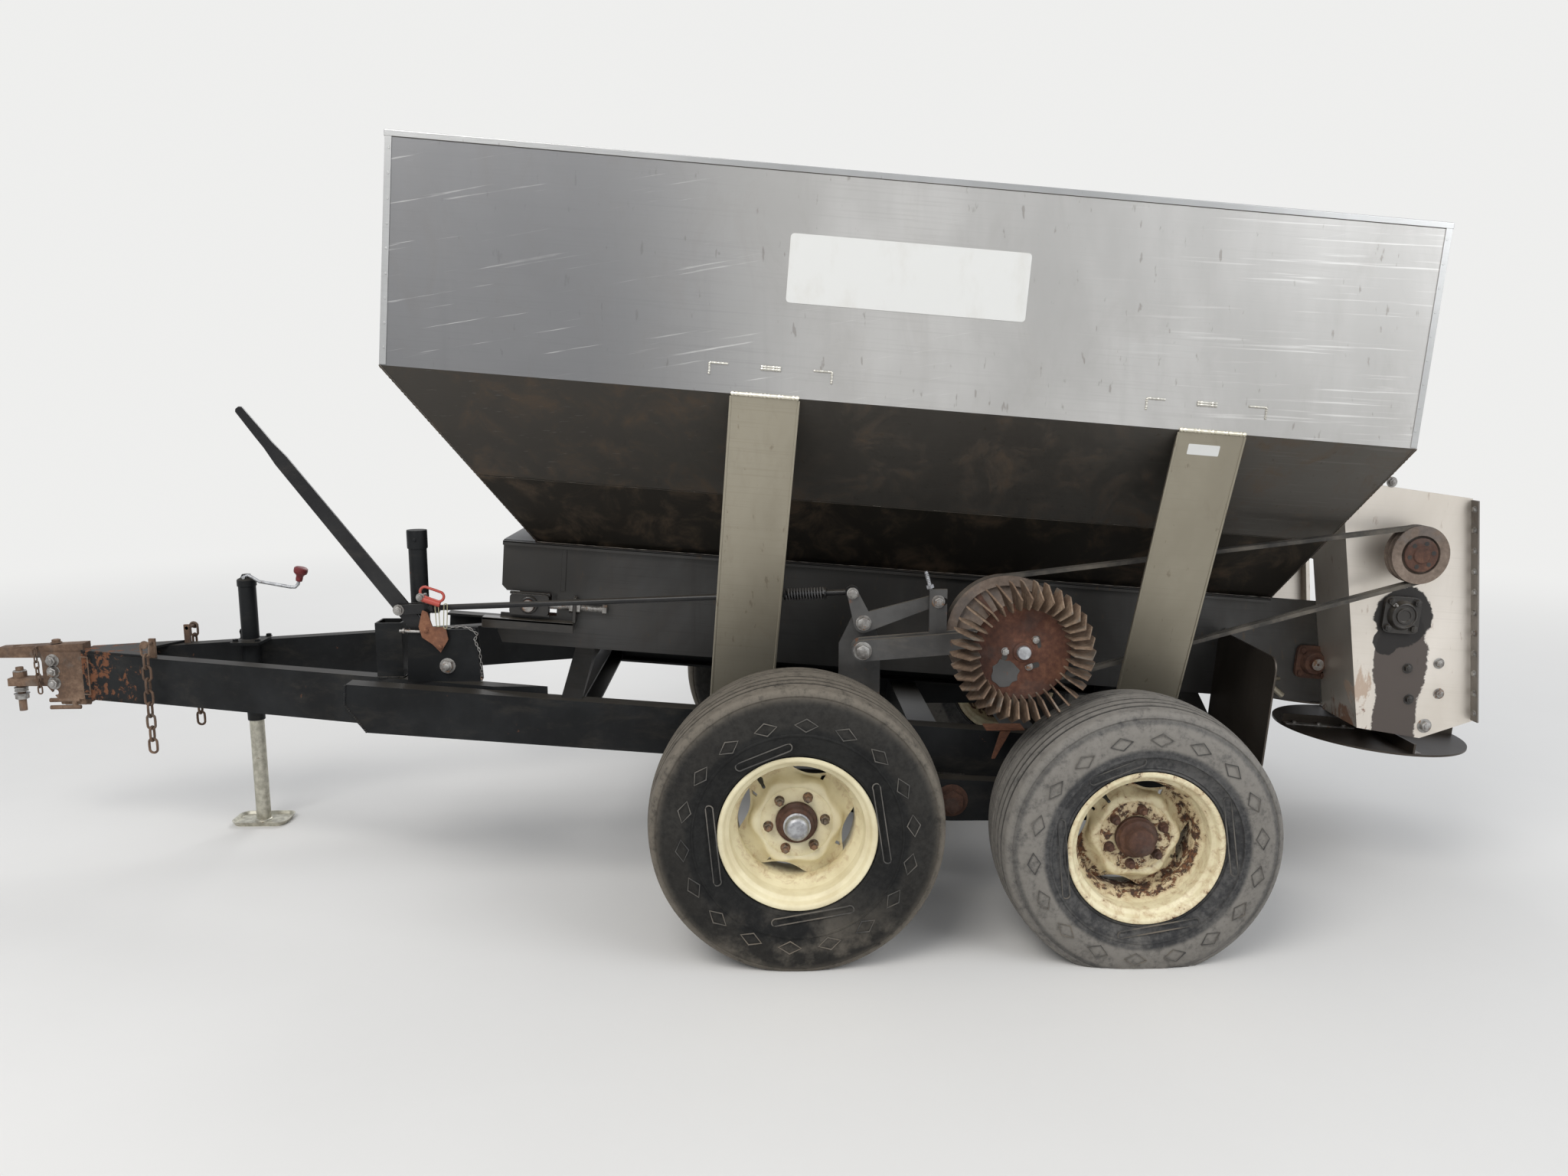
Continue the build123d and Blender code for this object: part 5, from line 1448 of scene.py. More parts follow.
@dataclass
class HopperTrim(Assembly):
    """Folded corners, weld beads, bright hem, lapped lower sheets and blank sign of the hopper."""

    stance = Stance.TIPPED
    front: float = 1.615
    rear: float = -1.089
    half: float = 0.87
    top: float = 2.025
    knee: float = 1.453
    low_front: float = 1.289
    low_rear: float = -1.006
    low_half: float = 0.33
    low: float = 0.956
    fold_width: float = 0.017
    fold_rise: float = 0.0022
    lap_rise: float = 0.31
    hem_height: float = 0.017
    sign_size: Pair = (0.616, 0.172)
    sign_middle: Pair = (0.286, 1.778)
    mark_middles: Pair = (0.618, -0.52)
    mark_half: float = 0.158

    def slope(self, side: Side) -> Matrix:
        """Frame on a side slope at its bottom edge, with Z outward and Y up the slope.

        Args:
            side: Side of the hopper.

        Returns:
            The frame.
        """
        fall = Vector((0.0, side.value * (self.knee - self.low), self.low_half - self.half))
        place = facing((0.0, side.value * self.low_half, self.low), fall)
        return place @ about("Z", math.pi) if side is Side.LEFT else place

    def folds(self) -> None:
        """Build the folded strips at the upright corners and their spot welds."""
        bm = bmesh.new()
        for side in Side:
            face = side.value * self.half
            outer = face + side.value * self.fold_rise
            for corner, inward in ((self.front, -1.0), (self.rear, 1.0)):
                reach = corner + inward * self.fold_width
                add_block(bm, (corner, face, self.knee + 0.002), (reach, outer, self.top - 0.002))
                for index in range(9):
                    height = self.knee + 0.045 + index * 0.061
                    spot = outside(reach - inward * 0.006, self.half + self.fold_rise, height, side)
                    add_turned(bm, [(0, 0.0004), (0.003, 0.0006), (0.0036, 0.0), (0, -0.0004)], spot, 12)
        self.finish("hopper_corner_folds", bm, Palette.bright_sheet, bevel=0.0007)

    def welds(self) -> None:
        """Build the beads up the four hips, along the knee ends and round the trough joint."""
        bm = bmesh.new()
        for side in Side:
            for top, low in ((self.front, self.low_front), (self.rear, self.low_rear)):
                start = (low, side.value * self.low_half, self.low)
                add_weld(bm, start, (top, side.value * self.half, self.knee), 0.0032)
            edge = side.value * (self.low_half + 0.001)
            add_weld(bm, (self.low_rear, edge, self.low), (self.low_front, edge, self.low), 0.0034)
        self.finish("hopper_weld_beads", bm, Palette.weld)

    def laps(self) -> None:
        """Build the lower sheets that lap over the side slopes."""
        bm = bmesh.new()
        run = self.lap_rise / math.hypot(self.half - self.low_half, self.knee - self.low)
        front = self.low_front + (self.front - self.low_front) * run - 0.004
        rear = self.low_rear + (self.rear - self.low_rear) * run + 0.004
        for side in Side:
            sign = -1.0 if side is Side.LEFT else 1.0
            corners = [
                (sign * (self.low_front - 0.004), 0.0),
                (sign * front, self.lap_rise),
                (sign * rear, self.lap_rise),
                (sign * (self.low_rear + 0.004), 0.0),
            ]
            add_plate(bm, corners, 0.0022, self.slope(side))
            for index in range(14):
                spot = sign * (rear + (front - rear) * (index + 0.5) / 14)
                bead = self.slope(side) @ Vector((spot - 0.012, self.lap_rise, 0.0008))
                add_weld(bm, bead, self.slope(side) @ Vector((spot + 0.012, self.lap_rise, 0.0008)), 0.0022)
        # the lapped sheets carry painted shade
        self.finish("hopper_lapped_sheets", bm, Palette.lap_painted_shade_sheet, bevel=0.0006)

    def hem(self) -> None:
        """Build the bright rolled hem round the top edge."""
        bm = bmesh.new()
        middle = (self.front + self.rear) / 2
        length = self.front - self.rear
        proud = 0.0025
        part = bmesh.new()
        bmesh.ops.create_grid(part, x_segments=1, y_segments=1, size=0.5)
        bmesh.ops.scale(part, vec=(length + 2 * proud, 2 * (self.half + proud), 1.0), verts=part.verts)
        bmesh.ops.inset_region(
            part, faces=part.faces[:], thickness=0.016, use_boundary=True, use_even_offset=True
        )
        inner = [face for face in part.faces if len([e for e in face.edges if e.is_boundary]) == 0]
        bmesh.ops.delete(part, geom=inner, context="FACES")
        raise_faces(part, part.faces[:], self.hem_height)
        pour(bm, part, at(middle, 0.0, self.top + 0.0037 - self.hem_height))
        self.finish(
            "hopper_rim_hem", bm, Palette.bright_sheet, replaces="hopper_rim", bevel=0.0024, segments=3
        )

    def marks(self) -> None:
        """Build the weld beads on the side walls above the legs: two corners and a middle one each."""
        bm = bmesh.new()
        for side in Side:
            face = side.value * self.half
            for middle in self.mark_middles:
                high = self.knee + 0.074
                for end in (-1.0, 1.0):
                    corner = middle + end * self.mark_half
                    add_weld(bm, (corner, face, high), (corner - end * 0.048, face, high), 0.0034)
                    add_weld(bm, (corner, face, high), (corner, face, high - 0.03), 0.0034)
                for drop in (0.0, 0.006):
                    add_weld(
                        bm, (middle + 0.026, face, high - drop), (middle - 0.026, face, high - drop), 0.0044
                    )
        self.finish("wall_corner_marks", bm, Palette.pale_weld)

    def sign(self) -> None:
        """Build the blank white plate on the left side."""
        bm = bmesh.new()
        x, z = self.sign_middle
        place = outside(x, self.half - 0.0002, z)
        add_rounded(bm, self.sign_size, 0.01, 0.0014, place)
        self.finish("blank_sign", bm, Palette.white, bevel=0.0004)

    def build(self) -> None:
        """Build all of the hopper's trim."""
        self.folds()
        self.welds()
        self.laps()
        self.hem()
        self.marks()
        self.sign()


@dataclass
class LegTrim(Assembly):
    """Welds, folded edges and a blank label on the slanted legs."""

    stance = Stance.TIPPED
    places: Pair = (0.628, -0.545)
    width: float = 0.176
    foot: Pair = (0.6, 0.534)
    head: Pair = (0.87, 1.453)

    def frame(self, place: float, side: Side) -> Matrix:
        """Frame on a leg's outer face at its foot, with Z outward and Y up the leg.

        Args:
            place: Place of the leg along the machine.
            side: Side of the machine.

        Returns:
            The frame.
        """
        y, z = self.foot
        rise = Vector((0.0, side.value * (self.head[0] - y), self.head[1] - z)).normalized()
        out = Vector((0.0, side.value * rise.z, -abs(rise.y)))
        turn = Matrix((rise.cross(out), rise, out)).transposed()
        return at(place, side.value * y, z) @ turn.to_4x4()

    def build(self) -> None:
        """Build the trim of all four legs."""
        length = math.hypot(self.head[0] - self.foot[0], self.head[1] - self.foot[1])
        beads = bmesh.new()
        tops = bmesh.new()
        edges = bmesh.new()
        for side in Side:
            for place in self.places:
                leg = self.frame(place, side)
                half = self.width / 2
                add_weld(
                    beads, leg @ Vector((-half, 0.003, 0.001)), leg @ Vector((half, 0.003, 0.001)), 0.004
                )
                seam = (side.value * (self.head[0] + 0.0005), self.head[1] + 0.0005)
                add_weld(tops, (place - half, *seam), (place + half, *seam), 0.0058)
                for edge in (-1.0, 1.0):
                    low = (edge * half - 0.0035, 0.004, -0.004)
                    add_block(edges, low, (edge * half + 0.0035, length - 0.006, 0.0016), leg)
        self.finish("leg_weld_beads", beads, Palette.weld)
        self.finish("leg_top_welds", tops, Palette.cream_weld)
        self.finish("leg_folded_edges", edges, Palette.leg_sheet, bevel=0.0018)
        label = bmesh.new()
        spot = self.frame(self.places[1], Side.LEFT) @ at(-0.013, length - 0.05, -0.0002)
        add_rounded(label, (0.084, 0.029), 0.003, 0.0009, spot)
        self.finish("blank_leg_label", label, Palette.white, bevel=0.0003)


# Drawbar


@dataclass
class Hitch(Assembly):
    """Bolts, welds, keeper bracket and chains at the nose."""

    nose_x: float = 2.824
    cheek: float = 0.034
    bolt_x: float = 2.924
    bolt_heights: tuple[float, ...] = (0.624, 0.586, 0.547)
    pin_x: float = 3.057
    chain_x: float = 2.543
    chain_y: float = 0.1693
    chain_top: float = 0.69
    link: tuple[float, float, float] = (0.056, 0.034, 0.008)
    link_count: int = 9

    def bolts(self) -> None:
        """Build the jaw bolts with washers on one side and nuts on the other."""
        bm = bmesh.new()
        for side in Side:
            for height in self.bolt_heights:
                place = outside(self.bolt_x, self.cheek, height, side) @ about("Z", height * 9.0)
                add_bolt(bm, place, 0.0165, 0.0125, stub=0.007)
        self.finish("jaw_bolts", bm, Palette.bolt, bevel=0.0007)
        bm = bmesh.new()
        add_bolt(bm, facing((2.925, 0.0, 0.679), (0.0, 0.0, 1.0)), 0.0135, 0.009)
        for side in Side:
            edge = side.value * self.cheek
            add_weld(bm, (self.nose_x + 0.002, edge, 0.495), (self.nose_x + 0.002, edge, 0.648), 0.0042)
            rail = side.value * 0.058
            add_weld(bm, (self.nose_x - 0.03, rail, 0.512), (self.nose_x - 0.03, rail, 0.64), 0.0026)
            for height in (0.512, 0.64):
                ahead = (self.nose_x - 0.004, rail - side.value * 0.008, height)
                add_weld(bm, (self.nose_x - 0.03, rail, height), ahead, 0.0026)
        self.finish("nose_welds", bm, Palette.hitch_rust, bevel=0.0005)

    def keeper(self) -> None:
        """Build the fork-ended keeper bracket under the cheeks."""
        bm = bmesh.new()
        add_block(bm, (2.828, -0.028, 0.47), (2.9, 0.028, 0.49))
        for level in (0.463, 0.488):
            for side in Side:
                start = (2.845, side.value * 0.03, level)
                path = [start, (2.9, side.value * 0.031, level), (2.945, side.value * 0.034, level)]
                add_sweep(bm, path, 0.0075, 10)
        for across in (0.03, -0.03):
            add_sweep(bm, [(2.862, across, 0.463), (2.866, across, 0.476), (2.862, across, 0.49)], 0.009, 10)
        self.finish("jaw_keeper", bm, Palette.hitch_rust, bevel=0.002)

    def pin(self) -> None:
        """Build the washers, nut and snap ring of the drawpin, and its short hanging chain."""
        bm = bmesh.new()
        top = at(self.pin_x, 0.0, 0.58)
        add_turned(bm, [(0, 0), (0.02, 0), (0.0205, 0.002), (0.019, 0.004), (0, 0.004)], top, 28)
        low = at(self.pin_x, 0.0, 0.505) @ about("X", math.pi)
        add_bolt(bm, low, 0.021, 0.016, 1.15)
        for step, radius in enumerate((0.021, 0.0198, 0.0212)):
            add_turned(
                bm, hollow(0.0125, radius, 0.0, 0.0045), at(self.pin_x, 0.0, 0.512 + 0.0052 * step), 28
            )
        self.finish("drawpin_nut_and_washers", bm, Palette.bolt, bevel=0.0006)
        bm = bmesh.new()
        add_bar(bm, (2.978, 0.02, 0.668), (2.978, 0.046, 0.668), 0.0045, sides=12)
        for index in range(7):
            place = at(2.976 - 0.001 * index, 0.04, 0.654 - 0.0215 * index)
            add_link(bm, place @ upright_link(index), (0.032, 0.019, 0.005))
        self.finish("drawpin_chain", bm, Palette.hitch_rust)

    def chains(self) -> None:
        """Build the two safety chains link by link, on their pins."""
        bm = bmesh.new()
        pitch = self.link[0] - 2 * self.link[2] + 0.0003
        for side in Side:
            strand = side.value * self.chain_y
            for index in range(self.link_count):
                place = at(self.chain_x, strand, self.chain_top - index * pitch)
                add_link(bm, place @ upright_link(index), self.link)
            near, far = side.value * 0.1153, side.value * 0.1253
            add_block(bm, (self.chain_x - 0.01, near, 0.652), (self.chain_x + 0.01, far, 0.7157))
            hanger = outside(self.chain_x, 0.1153, 0.7037, side)
            pin = [
                (0, 0), (0.006, 0), (0.006, 0.0576), (0.0115, 0.0582), (0.012, 0.06), (0.01, 0.062),
                (0, 0.0625),
            ]
            add_turned(bm, pin, hanger, 20)
            seam = side.value * 0.1255
            add_weld(bm, (self.chain_x - 0.01, seam, 0.653), (self.chain_x + 0.01, seam, 0.653), 0.003)
        self.finish("safety_chain_links", bm, Palette.hitch_rust, replaces="safety_chains")

    def build(self) -> None:
        """Build every detail of the nose."""
        self.bolts()
        self.keeper()
        self.pin()
        self.chains()


@dataclass
class Jack(Assembly):
    """Screw jack with a bent crank and red knob, and its plated leg on a dished foot."""

    x: float = 2.326
    y: float = -0.12
    radius: float = 0.029
    wall: float = 0.004
    top: float = 0.862
    bottom: float = 0.376
    plate_level: float = 0.652

    def tube(self) -> None:
        """Build the outer tube with its domed cap, base plate and plate bolts."""
        bm = bmesh.new()
        inner = self.radius - self.wall
        radius, low, top = self.radius, self.bottom, self.top
        collar = radius + 0.0012
        profile = [
            (inner, low), (radius, low), (radius, low + 0.05), (collar, low + 0.052), (collar, low + 0.056),
            (radius, low + 0.058), (radius, top - 0.012), (radius + 0.003, top - 0.01),
            (radius + 0.003, top + 0.01), (radius, top + 0.014), (0.019, top + 0.019), (0.014, top + 0.03),
            (0.0, top + 0.031), (0.0, top - 0.004), (inner, top - 0.006),
        ]
        add_turned(bm, profile, at(self.x, self.y, 0.0), 40)
        spot = at(self.x, self.y, self.plate_level)
        add_rounded(bm, (0.1, 0.12), 0.01, 0.01, spot, inner + 0.001)
        ring = [(radius - 0.001, 0), (radius + 0.006, 0), (radius + 0.003, 0.003), (radius - 0.001, 0.007)]
        add_turned(bm, ring, at(self.x, self.y, self.plate_level + 0.0095), 40)
        for side in (-1.0, 1.0):
            for across in (-0.06, 0.036):
                bolt = at(self.x + side * 0.038, self.y + across, self.plate_level + 0.01)
                add_bolt(bm, bolt, 0.009, 0.007)
        loop = [(0.03, 0.0, 0.662), (0.036, 0.0, 0.69), (0.031, 0.004, 0.7), (0.034, 0.0, 0.664)]
        add_sweep(bm, [(self.x + x, self.y + y, z) for x, y, z in loop], 0.0022, 8)
        self.finish("jack_outer_tube", bm, Palette.frame_paint, replaces="jack_tube", bevel=0.0012)

    def crank(self) -> None:
        """Build the cross bolt, the bent crank and its red knob."""
        bm = bmesh.new()
        level = self.top + 0.022
        add_bar(bm, (self.x, self.y - 0.026, level), (self.x, self.y + 0.026, level), 0.006, sides=12)
        path = [
            (0.0, 0.013, 0.0), (-0.012, 0.014, 0.006), (-0.03, 0.014, -0.003), (-0.048, 0.012, -0.016),
            (-0.15, 0.004, -0.037), (-0.166, 0.002, -0.038), (-0.176, 0.0, -0.028), (-0.18, 0.0, -0.012),
            (-0.183, 0.0, 0.024),
        ]
        add_sweep(bm, [(self.x + x, self.y + y, level + z) for x, y, z in path], 0.0058, 14)
        self.finish("jack_crank", bm, Palette.zinc, smooth_angle=50.0)
        bm = bmesh.new()
        knob = [
            (0.0065, -0.006), (0.0105, -0.005), (0.012, 0.004), (0.0115, 0.012),
            (0.015, 0.018), (0.0215, 0.023),
            (0.0235, 0.03), (0.023, 0.04), (0.0185, 0.044), (0.01, 0.045), (0.0, 0.045),
        ]
        place = at(self.x - 0.1805, self.y, level - 0.012) @ about("Y", -0.24)
        add_turned(bm, knob, place, 28)
        self.finish("jack_crank_knob", bm, Palette.red, smooth_angle=40.0)

    def leg(self) -> None:
        """Build the plated inner leg and its dished foot."""
        bm = bmesh.new()
        outer = self.radius - self.wall - 0.0006
        place = at(self.x, self.y, 0.0)
        profile = [(outer - self.wall, 0.006), (outer, 0.006), (outer, 0.566), (outer - self.wall, 0.568)]
        add_turned(bm, profile, place, 36)
        ring = [
            (outer - 0.001, 0.006), (outer + 0.006, 0.0055), (outer + 0.004, 0.01), (outer - 0.001, 0.0135)
        ]
        add_turned(bm, ring, place, 36)
        part = bmesh.new()
        add_rounded(part, (0.196, 0.1274), 0.034, 0.016)
        top = [face for face in part.faces if face.normal.z > 0.9]
        bmesh.ops.inset_region(part, faces=top, thickness=0.006, depth=0.0, use_even_offset=True)
        bmesh.ops.inset_region(part, faces=top, thickness=0.006, depth=-0.009, use_even_offset=True)
        low = [vert for vert in part.verts if vert.co.z < 0.001]
        bmesh.ops.scale(part, vec=(0.9, 0.88, 1.0), verts=low)
        pour(bm, part, place)
        add_weld(bm, (self.x, self.y + outer, 0.012), (self.x, self.y + outer, 0.56), 0.0005)
        self.finish("jack_inner_leg", bm, Palette.jack_zinc, "jack_leg", replaces="jack_leg", bevel=0.0012)

    def build(self) -> None:
        """Build the whole jack."""
        self.tube()
        self.crank()
        self.leg()


@dataclass
class HandControl(Assembly):
    """Hand lever, latch, red pull pin, posts and the long clutch rod."""

    pivot: Pair = (1.49, 0.7)
    tip: Pair = (2.068, 1.467)
    plane: float = 0.45
    pin: Pair = (1.629, 0.87)
    plate_gap: float = 0.021
    rod_end: Point = (0.288, 0.62, 0.945)
    fork_length: float = 0.084
    rod_radius: float = 0.009

    def lever(self) -> None:
        """Build the flat bar lever with its drawn-out grip and pivot eye."""
        bm = bmesh.new()
        low = Vector((self.pivot[0], self.plane, self.pivot[1]))
        high = Vector((self.tip[0], self.plane, self.tip[1]))
        along = (high - low).normalized()
        out = Vector((0.0, 1.0, 0.0))
        bar = at(*low) @ Matrix((along, out.cross(along), out)).transposed().to_4x4()
        length = (high - low).length
        outline = [
            (0.015, -0.024), (length * 0.8, -0.0205), (length * 0.86, -0.015), (length * 0.905, -0.0145),
            (length - 0.006, -0.012), (length, -0.006), (length, 0.006), (length - 0.006, 0.012),
            (length * 0.905, 0.0145), (length * 0.86, 0.015), (length * 0.8, 0.0205), (0.015, 0.024),
        ]
        add_plate(bm, outline, 0.012, bar @ at(0, 0, -0.006))
        add_turned(bm, hollow(0.0135, 0.032, -0.0062, 0.0062), bar, 36)
        self.finish(
            "hand_lever", bm, Palette.lever_paint, "clutch_lever", replaces="clutch_lever", bevel=0.0022,
            segments=3,
        )
        bm = bmesh.new()
        for side in Side:
            spot = facing((self.pin[0], self.plane + side.value * 0.006, self.pin[1]), (0.0, side.value, 0.0))
            add_turned(bm, solid(0.0078, 0.0125), spot, 18)
            add_bolt(bm, spot @ at(0, 0, 0.0122), 0.0125, 0.008, stub=0.004)
        self.finish("lever_clevis_bolt", bm, Palette.bolt, "clutch_lever", bevel=0.0005)

    def quadrant(self) -> None:
        """Build the pivot bolt, the latch and its spring bolt on the quadrant."""
        bm = bmesh.new()
        for side in Side:
            spot = facing(
                (self.pivot[0], self.plane + side.value * self.plate_gap, self.pivot[1]),
                (0.0, side.value, 0.0),
            )
            add_bolt(bm, spot @ about("Z", 0.3), 0.0185, 0.012, 1.3, stub=0.006)
        add_sweep(bm, [(1.626, 0.478, 0.809), (1.612, 0.478, 0.8085), (1.565, 0.478, 0.806)], 0.0045, 10)
        add_turned(
            bm, [(0, 0), (0.008, 0), (0.008, 0.005), (0, 0.005)], facing(
                (1.611, 0.478, 0.8085), (1.0, 0.0, 0.0)
            ), 16
        )
        self.finish("quadrant_bolts", bm, Palette.bolt, bevel=0.0006)
        bm = bmesh.new()
        place = outside(0.0, 0.48, 0.0)
        latch = [
            (1.554, -0.872), (1.539, -0.865), (1.526, -0.822), (1.488, -0.82), (1.481, -0.783),
            (1.505, -0.744), (1.528, -0.769), (1.558, -0.79), (1.567, -0.823),
        ]
        add_plate(bm, latch, 0.006, place)
        for x, z in ((1.506, 0.762), (1.545, 0.812)):
            add_bolt(bm, outside(x, 0.486, z), 0.007, 0.004)
            add_turned(bm, solid(0.009, 0.0078), outside(x, 0.4724, z), 18)
        self.finish("rusty_latch", bm, Palette.latch_rust, bevel=0.0015)

    def pull_pin(self) -> None:
        """Build the red pull pin with its loop handle, two ties and a small keeper chain."""
        bm = bmesh.new()
        loop = at(1.522, 0.487, 0.921) @ about("Y", math.radians(-20.0))
        add_link(bm, loop @ upright_link(0) @ about("Z", math.pi / 2), (0.08, 0.038, 0.0085), 28)
        add_sweep(bm, [(1.556, 0.487, 0.909), (1.53, 0.487, 0.9), (1.5, 0.487, 0.89)], 0.009, 14)
        self.finish("pull_pin_handle", bm, Palette.faded_red, bevel=0.0008)
        bm = bmesh.new()
        add_sweep(bm, [(1.556, 0.487, 0.912), (1.556, 0.47, 0.912), (1.555, 0.44, 0.911)], 0.0065, 12)
        add_bolt(bm, outside(1.556, 0.492, 0.912), 0.0095, 0.006)
        self.finish("pull_pin", bm, Palette.bolt, bevel=0.0005)
        bm = bmesh.new()
        for spot, lean in (((1.509, 0.4885, 0.861), 0.03), ((1.485, 0.4885, 0.855), -0.06)):
            place = Matrix.Translation(spot) @ about("Y", lean) @ upright_link(0)
            add_link(bm, place, (0.078, 0.013, 0.0028), 16)
        self.finish("plastic_ties", bm, Palette.tie)
        bm = bmesh.new()
        path = [
            (1.484, 0.818), (1.44, 0.822), (1.419, 0.816), (1.395, 0.797), (1.405, 0.78), (1.391, 0.746),
            (1.387, 0.689), (1.388, 0.64),
        ]
        count = 0
        for start, end in zip(path, path[1:]):
            span = math.dist(start, end)
            links = max(1, round(span / 0.0105))
            lean = math.atan2(end[0] - start[0], end[1] - start[1])
            for index in range(links):
                share = (index + 0.5) / links
                spot = (start[0] + (end[0] - start[0]) * share, 0.477, start[1] + (end[1] - start[1]) * share)
                place = Matrix.Translation(spot) @ about("Y", lean) @ upright_link(count)
                add_link(bm, place, (0.0145, 0.0085, 0.0021), 12)
                count += 1
        self.finish("keeper_chain", bm, Palette.bolt)

    def posts(self) -> None:
        """Build the welds, capped sleeve and pin of the drawbar posts."""
        bm = bmesh.new()
        x, y = 1.59, 0.375
        sleeve = [
            (0.0272, 1.046), (0.03, 1.044), (0.0305, 1.05), (0.0305, 1.0965),
            (0.029, 1.0998), (0.018, 1.0998),
            (0.0165, 1.098), (0.0, 1.098), (0.0, 1.094), (0.0272, 1.094),
        ]
        add_turned(bm, sleeve, at(x, y, 0.0), 40)
        for sign in (1.0, -1.0):
            spot = facing((x, y + sign * 0.0302, 1.072), (0.0, sign, 0.0))
            add_turned(
                bm, [(0.0, 0.0), (0.0055, 0.0), (0.0055, 0.002), (0.0035, 0.003), (0.0, 0.003)], spot, 16
            )
        foot = [(0.0265, 0.6595), (0.034, 0.66), (0.031, 0.664), (0.0268, 0.668)]
        add_turned(bm, foot, at(x, y, 0.0), 36)
        half = 0.04
        for corner in range(4):
            place = at(1.677, 0.382, 0.6535) @ about("Z", corner * math.pi / 2)
            add_weld(bm, place @ Vector((half, -half, 0.0)), place @ Vector((half, half, 0.0)), 0.004)
        self.finish("post_cap_and_welds", bm, Palette.frame_paint, bevel=0.0008)

    def rod(self) -> None:
        """Build the clutch rod: fork, threaded end, long bar, spring between collars, and eye."""
        bm = bmesh.new()
        start = Vector((self.pin[0], self.plane, self.pin[1]))
        end = Vector(self.rod_end)
        fork_back = Vector((self.pin[0] - self.fork_length, self.plane, self.pin[1] + 0.004))
        middle = (start + fork_back) / 2
        tilt = about("Y", math.atan2(0.004, self.fork_length))
        for sign in (1.0, -1.0):
            place = at(*middle) @ at(0.0, sign * 0.011, 0.0) @ tilt @ about("X", -sign * math.pi / 2)
            add_rounded(bm, (self.fork_length + 0.028, 0.03), 0.0148, 0.006, place)
        add_block(bm, (-0.01, -0.017, -0.015), (0.009, 0.017, 0.015), at(*fork_back))
        axis = (end - start).normalized()
        along = facing(start, axis)
        length = (end - start).length
        stop = length - 0.017
        radius, back = self.rod_radius, self.fork_length + 0.004
        thread = [(radius * (0.86 if index % 2 else 0.98), back + index * 0.0022) for index in range(24)]
        bar = [(0.0, back), *thread, (radius, self.fork_length + 0.06), (radius, stop), (0.0, stop)]
        add_turned(bm, bar, along, 20)
        for reach in (self.fork_length + 0.012, self.fork_length + 0.026):
            nut = add_bar(bm, (0, 0, reach), (0, 0, reach + 0.011), 0.0165, sides=6)
            bmesh.ops.transform(bm, matrix=along, verts=nut)
        add_turned(bm, hollow(0.011, 0.02, -0.006, 0.006), outside(*end), 32)
        for share in (0.855, 0.941):
            add_turned(bm, hollow(0.0088, 0.0175, 0.0, 0.006), along @ at(0, 0, length * share), 24)
        self.finish(
            "clutch_rod_bar", bm, Palette.lever_paint, "clutch_rod", replaces="clutch_rod", bevel=0.001
        )
        bm = bmesh.new()
        turns, wire, coil = 13, 0.0026, 0.0155
        first, last = length * 0.855 + 0.007, length * 0.941 - 0.001
        rise = (last - first) / turns / 16
        steps = range(turns * 16 + 1)
        path = [
            along @ at(0.0, 0.0, first + rise * index) @ about("Z", math.tau * index / 16) for index in steps
        ]
        add_sweep(bm, [spot @ Vector((coil, 0.0, 0.0)) for spot in path], wire, 8)
        self.finish("clutch_rod_spring", bm, Palette.spring, "clutch_rod", smooth_angle=60.0)

    def build(self) -> None:
        """Build the lever, its quadrant, posts and rod."""
        self.lever()
        self.quadrant()
        self.pull_pin()
        self.posts()
        self.rod()


# Ground drive


